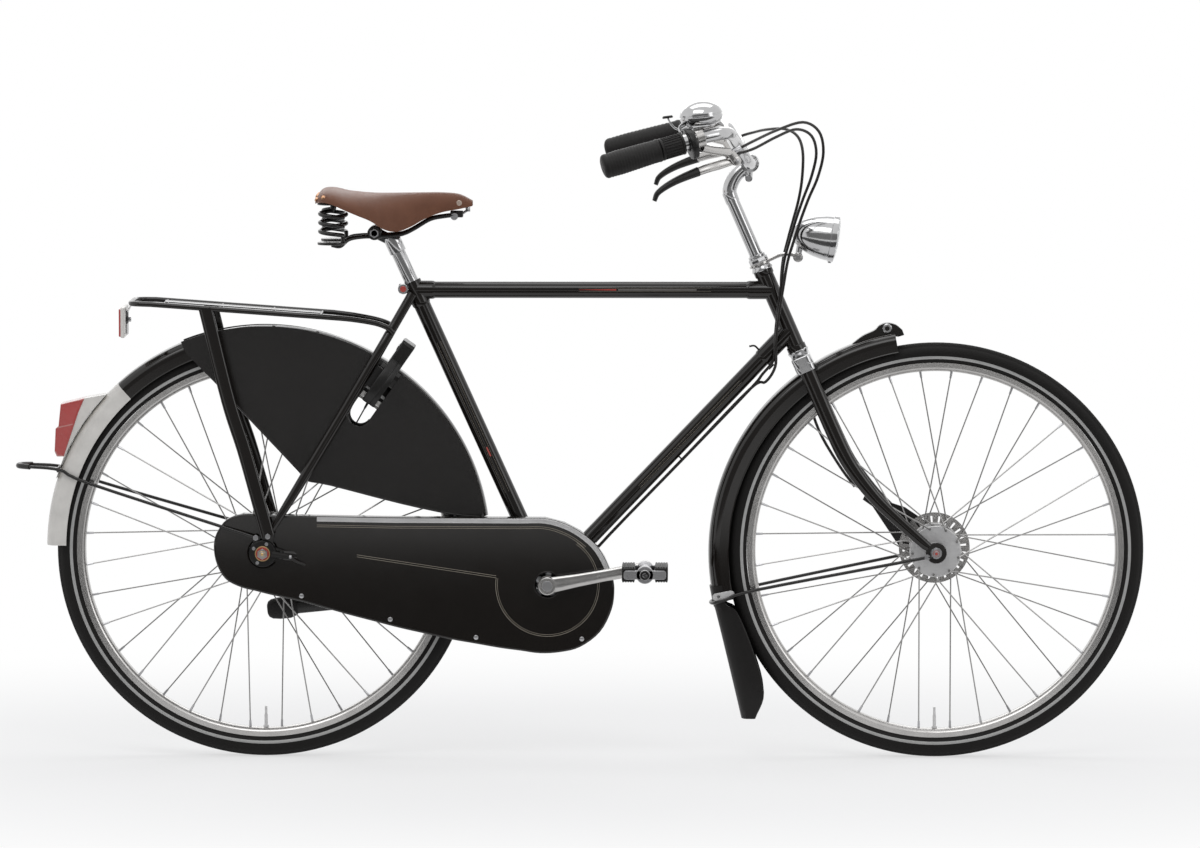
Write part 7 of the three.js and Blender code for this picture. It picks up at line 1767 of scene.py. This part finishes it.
def pedal_piece(side):
    bm = bmesh.new()
    name = f"pedal_{HANDS[side]}"
    centre = around(BOTTOM_BRACKET, CRANK_LENGTH, pedal_turn(side))
    y0, y1 = sorted((side * PEDAL_IN, side * PEDAL_OUT))
    barrel = [(5.3, y0), (14, y0), (15, y0 + 1), (15, y0 + 12), (11, y0 + 16), (11, y1 - 16), (15, y1 - 12),
              (15, y1 - 1), (14, y1), (5.3, y1)]
    turned(bm, barrel, centre, at(0, 1, 0), steps=40, index=1)
    cap = [(0, 0), (8.4, 0), (9, 0.6), (8.2, 2.6), (5, 4), (0, 4.4)]
    turned(bm, cap, at(centre.x, side * PEDAL_OUT, centre.z), at(0, side, 0), steps=36, index=3)
    for end in SIDES:
        x0, x1 = sorted((end * 17, end * 39))
        low, high = at(centre.x + x0, y0 + 3, centre.z - 11.6), at(centre.x + x1, y1 - 3, centre.z + 11.6)
        block(bm, low, high, bevel=2.5)
        for face in SIDES:
            for i in range(5):
                x = centre.x + lerp(x0, x1, (i + 0.5) / 5)
                z0, z1 = sorted((centre.z + face * 10.5, centre.z + face * 13))
                block(bm, at(x - 1.5, y0 + 6, z0), at(x + 1.5, y1 - 6, z1), bevel=0.7)
    outline = outline_on(centre, 1, rounded_rectangle(36, 7.6, 5))
    plate(bm, outline, y0, y0 + 4, index=1, bevel=0.8)
    plate(bm, outline, y1 - 4, y1, index=1, bevel=0.8)
    piece(f"{name}_block", bm, [RUBBER, ZINC, PLASTIC, BRUSHED], f"{HANDS[side]}_pedal_body", name)


def kickstand_piece():
    bm = bmesh.new()
    pivot = kick_pivot()
    outward = at(0, cos(STAND_TILT), sin(STAND_TILT))
    start, end = pivot + outward * 0.3, pivot + outward * 14
    root = start.lerp(end, 0.5)
    along = at(-cos(6), sin(2.3), -sin(6)).normalized()
    toe, heel = root + along * 211, root + along * 263
    turned(bm, [(5.4, 0.3), (12, 0.3), (13, 1.3), (13, 13), (12, 14), (5.4, 14)], pivot, outward, steps=44)
    leg = [root + along * 8, root.lerp(toe, 0.3), root.lerp(toe, 0.7), toe]
    sweep(bm, leg, (6, 12.5), 28, power=0.8)
    shares = [(0, 0.7), (0.06, 0.82), (0.25, 1), (0.6, 1), (0.85, 0.9), (0.96, 0.7), (1, 0.45)]
    sizes = [(9 * (0.6 + 0.4 * r), 19 * r) for s, r in shares]
    sweep(bm, [toe.lerp(heel, s) for s, r in shares], sizes, 28, index=1, power=0.8)
    piece("kickstand_leg", bm, [BLACK_STEEL, RUBBER], "kickstand_body", "kickstand")


for hand_side in SIDES:
    crank_piece(hand_side)
    pedal_piece(hand_side)
kickstand_piece()

# Chain case

CASE_SHARES = [(-1.0644, 0.2472), (-0.9213, 0.2421), (-0.5332, 0.236), (-0.0082, 0.2339),
               (0.0592, 0.2165), (0.1144, 0.1879), (0.1655, 0.1461), (0.2002, 0.096), (0.2247, 0.0368),
               (0.2339, -0.0143), (0.2247, -0.0858), (0.1839, -0.1655), (0.1144, -0.2186),
               (0.0449, -0.237), (-0.0266, -0.2411), (-0.1655, -0.2227), (-0.3412, -0.192),
               (-0.5148, -0.1532), (-0.6885, -0.1083), (-0.8641, -0.0592), (-0.9683, -0.0368),
               (-1.0725, -0.0102), (-1.1256, 0.0184), (-1.1563, 0.0715), (-1.1665, 0.1307),
               (-1.1563, 0.1798), (-1.1216, 0.2268)]
CASE_OUTLINE = on_centre(BOTTOM_BRACKET, CHAIN_STAY_LENGTH, [(x, 0, z) for x, z in CASE_SHARES])
CASE_FACE = -64
PAINTED_FACE = CASE_FACE - 0.15


def smooth_loop(points, per_span):
    """A closed curve; a long straight gets points of its own, so that its ends don't swing out."""
    closer = []
    for a, b in zip(points, points[1:] + points[:1]):
        parts = math.ceil((b - a).length / 45)
        closer += [a.lerp(b, i / parts) for i in range(parts)]
    count = len(closer)
    path = []
    for i in range(count):
        four = [closer[(i + k) % count] for k in (-1, 0, 1, 2)]
        path += rounded(four, per_span)[per_span:2 * per_span]
    return path


def inset(points, distance):
    made = []
    for i, p in enumerate(points):
        a = (p - points[i - 1]).normalized()
        b = (points[(i + 1) % len(points)] - p).normalized()
        made.append(p + at(a.z + b.z, 0, -a.x - b.x).normalized() * distance)
    return made


def run_of(loop, low_x, low_z):
    """The unbroken run of a closed loop that lies beyond both values."""
    inside = [p.x > low_x and p.z > low_z for p in loop]
    first = next(i for i in range(len(loop)) if inside[i] and not inside[i - 1])
    return [p for p, kept in zip(loop[first:] + loop[:first], inside[first:] + inside[:first]) if kept]


def holed_plate(bm, loops, y0, y1, bevel=0.0):
    """The first loop with the others cut out of it, made solid between two values of Y."""
    before = set(bm.faces)
    edges = []
    for loop in loops:
        verts = [bm.verts.new((p.x, y0, p.z)) for p in loop]
        edges += [bm.edges.new((verts[i - 1], verts[i])) for i in range(len(verts))]
    bmesh.ops.triangle_fill(bm, edges=edges, use_beauty=True, normal=(0, 1, 0))
    sheet = [f for f in bm.faces if f not in before]
    moved = set(thicken(bm, sheet, (0, y1 - y0, 0)))
    if bevel:
        rims = [e for e in {e for v in moved for e in v.link_edges}
                if moved.issuperset(e.verts) and abs(e.calc_face_angle(0)) > 1]
        soften(bm, rims, bevel, 4)


def circle_of(centre, radius):
    return [around(centre, radius, 7.5 * i) for i in range(48)]


def flat_ring(bm, centre, radius, wide, y, start, end):
    """A painted line lying flat on the case, part of a circle."""
    verts = bmesh.ops.create_grid(bm, x_segments=72, y_segments=1, size=0.5)["verts"]
    for v in verts:
        v.co = around(centre, radius + v.co.y * wide, lerp(start, end, v.co.x + 0.5), y)


def flat_line(bm, a, b, wide, y):
    across_it = at(a.z - b.z, 0, b.x - a.x).normalized() * wide / 2
    corners = [a + across_it, b + across_it, b - across_it, a - across_it]
    bm.faces.new([bm.verts.new((p.x, y, p.z)) for p in corners])


def chain_case_outer_piece():
    bm = bmesh.new()
    outline = smooth_loop(CASE_OUTLINE, 4)
    holes = [circle_of(BOTTOM_BRACKET, 21), circle_of(REAR_AXLE, 24)]
    holed_plate(bm, [outline, *holes], -59, CASE_FACE, bevel=3.2)
    holed_plate(bm, [inset(outline, 0.1), inset(outline, 2)], -60, -50)
    screws = [(-0.25, 0, -0.185), (-0.55, 0, -0.122), (-0.86, 0, -0.04), (0.12, 0, -0.19)]
    head = [(0, -65.2), (2.4, -64.9), (4, -64.2), (4.2, -63.5), (0, -63.5)]
    for spot in on_centre(BOTTOM_BRACKET, CHAIN_STAY_LENGTH, screws):
        turned(bm, head, spot, at(0, 1, 0), steps=20, index=1)
    piece("chain_case_shell", bm, [CASE_ENAMEL, ZINC], "frame_body", "chain_case_outer")


def case_lines():
    """The thin lines on the case: round the crank, back along the middle and under the bright trim."""
    bm = bmesh.new()
    flat_ring(bm, BOTTOM_BRACKET, 88.5, 0.9, PAINTED_FACE, 172, 415)
    flat_ring(bm, BOTTOM_BRACKET, 85.5, 0.6, PAINTED_FACE, 172, 415)
    for low in (0, 3.4):
        a = at(BOTTOM_BRACKET.x - 87.6, 0, BOTTOM_BRACKET.z + 12.2 + low)
        b = at(BOTTOM_BRACKET.x - 326, 0, BOTTOM_BRACKET.z + 48 + low)
        flat_line(bm, a, b, 0.8, PAINTED_FACE)
    for depth in (15, 18):
        loop = inset(smooth_loop(CASE_OUTLINE, 4), depth)
        edge = run_of(loop, BOTTOM_BRACKET.x - 400, BOTTOM_BRACKET.z + 62)
        for p, q in zip(edge, edge[1:]):
            flat_line(bm, p, q, 0.8, PAINTED_FACE)
    piece("chain_case_lines", bm, [GOLD_LINE], "frame_body")


def chain_case_trim_piece():
    bm = bmesh.new()
    loop = inset(smooth_loop(CASE_OUTLINE, 4), 5)
    middle = run_of(loop, BOTTOM_BRACKET.x - 402, BOTTOM_BRACKET.z + 12)
    path = [at(p.x, PAINTED_FACE - 1, p.z) for p in middle]
    sweep(bm, path, (0.85, 4), 12, wide=at(0, 1, 0), power=0.7)
    piece("chain_case_bright_trim", bm, BRUSHED, "frame_body", "chain_case_trim")


chain_case_outer_piece()
case_lines()
chain_case_trim_piece()

# Pieces shown as they are in the frame

dress(ZINC, "bottom_bracket", "sprocket")
dress(CHAIN_STEEL, "chain")
dress(CASE_ENAMEL, "chain_case_inner")

# Floor and light


def seen_white(tree):
    """1 for the rays that show the background: straight to the camera, in metal or through glass."""
    ray = node(tree, "ShaderNodeLightPath")
    seen = math_node(tree, "MAXIMUM", ray.outputs["Is Camera Ray"], ray.outputs["Is Glossy Ray"])
    return math_node(tree, "MAXIMUM", seen, ray.outputs["Is Transmission Ray"])


def stage_sheet(name, size, turn=Matrix.Identity(4)):
    bm = bmesh.new()
    bmesh.ops.create_grid(bm, x_segments=2, y_segments=2, size=0.5)
    bmesh.ops.transform(bm, matrix=turn @ Matrix.Diagonal((*size, 1, 1)), verts=bm.verts)
    mesh = bpy.data.meshes.new(name)
    bm.to_mesh(mesh)
    bm.free()
    made = bpy.data.objects.new(name, mesh)
    bpy.context.scene.collection.objects.link(made)
    material = bpy.data.materials.new(name)
    material.use_nodes = True
    mesh.materials.append(material)
    return made, material.node_tree


def floor():
    """Pale where the object stands and keeps its shadow, and plain white to the eye further off."""
    _, tree = stage_sheet("pale_floor", (40, 40))
    shader = tree.nodes["Principled BSDF"]
    shader.inputs["Base Color"].default_value = (0.9, 0.9, 0.9, 1)
    shader.inputs["Roughness"].default_value = 0.9
    shader.inputs["Specular IOR Level"].default_value = 0.0
    place_there = node(tree, "ShaderNodeTexCoord").outputs["Object"]
    apart = node(tree, "ShaderNodeSeparateXYZ")
    join(tree, place_there, apart.inputs[0])
    across_x = math_node(tree, "MULTIPLY", apart.outputs["X"], 0.6)
    square = math_node(tree, "ADD", math_node(tree, "POWER", math_node(tree, "ABSOLUTE", across_x), 2.0),
                       math_node(tree, "POWER", math_node(tree, "ABSOLUTE", apart.outputs["Y"]), 2.0))
    far = node(tree, "ShaderNodeMapRange", interpolation_type="SMOOTHSTEP")
    join(tree, math_node(tree, "SQRT", square), far.inputs["Value"])
    far.inputs["From Min"].default_value = 0.5
    far.inputs["From Max"].default_value = 1.6
    far.inputs["To Min"].default_value = 0.6
    white = node(tree, "ShaderNodeEmission")
    share = math_node(tree, "MULTIPLY", far.outputs["Result"], seen_white(tree))
    mix = node(tree, "ShaderNodeMixShader")
    join(tree, share, mix.inputs[0])
    join(tree, shader.outputs[0], mix.inputs[1])
    join(tree, white.outputs[0], mix.inputs[2])
    join(tree, mix.outputs[0], tree.nodes["Material Output"].inputs["Surface"])


def grey_card(name, size, where, toward, level):
    """A plain grey sheet seen in reflections alone, so that gloss black and metal keep their depth."""
    turn = (Vector(toward) - Vector(where)).to_track_quat("-Z", "Y").to_matrix().to_4x4()
    made, tree = stage_sheet(name, size, turn)
    made.location = where
    glow = node(tree, "ShaderNodeEmission")
    glow.inputs["Color"].default_value = (level, level, level, 1)
    join(tree, glow.outputs[0], tree.nodes["Material Output"].inputs["Surface"])
    made.visible_camera = False
    made.visible_diffuse = False
    made.visible_shadow = False
    made.visible_transmission = False


def sky():
    """An even pale light, and white where the background shows."""
    world = bpy.data.worlds.new("studio")
    bpy.context.scene.world = world
    world.use_nodes = True
    tree = world.node_tree
    soft = tree.nodes["Background"]
    soft.inputs["Color"].default_value = (0.95, 0.96, 1, 1)
    soft.inputs["Strength"].default_value = 0.45
    white = node(tree, "ShaderNodeBackground")
    white.inputs["Color"].default_value = (1, 1, 1, 1)
    white.inputs["Strength"].default_value = 1.0
    mix = node(tree, "ShaderNodeMixShader")
    join(tree, seen_white(tree), mix.inputs[0])
    join(tree, soft.outputs[0], mix.inputs[1])
    join(tree, white.outputs[0], mix.inputs[2])
    join(tree, mix.outputs[0], tree.nodes["World Output"].inputs["Surface"])


def lamp(name, where, toward, size, radiance):
    """A softbox of a plain brightness, so that its picture in metal isn't burnt out."""
    light = bpy.data.lights.new(name, "AREA")
    light.shape = "RECTANGLE"
    light.size, light.size_y = size
    light.energy = radiance * math.pi * size[0] * size[1]
    made = bpy.data.objects.new(name, light)
    made.location = where
    made.rotation_euler = (Vector(toward) - Vector(where)).to_track_quat("-Z", "Y").to_euler()
    bpy.context.scene.collection.objects.link(made)


floor()
sky()
grey_card("front_card", (16, 5), (0, -7, 1.7), (0, 0, 0.9), 0.24)
grey_card("low_card", (9, 2.4), (0, -2.2, 0.02), (0, -2.2, 1), 0.1)
lamp("key_softbox", (-1.2, -3.4, 4.6), (0, 0, 0.6), (4.5, 2), 2.0)
lamp("fill_softbox", (4.6, -3.4, 2.6), (0.3, 0, 0.6), (2.2, 2.6), 1.4)
lamp("top_softbox", (0, 0.8, 4.4), (0, 0, 0.5), (4.5, 2), 1.6)
lamp("back_softbox", (-0.5, 4.6, 2.8), (0, 0, 0.7), (4.5, 2.4), 1.3)
bpy.context.scene.view_settings.view_transform = "Standard"
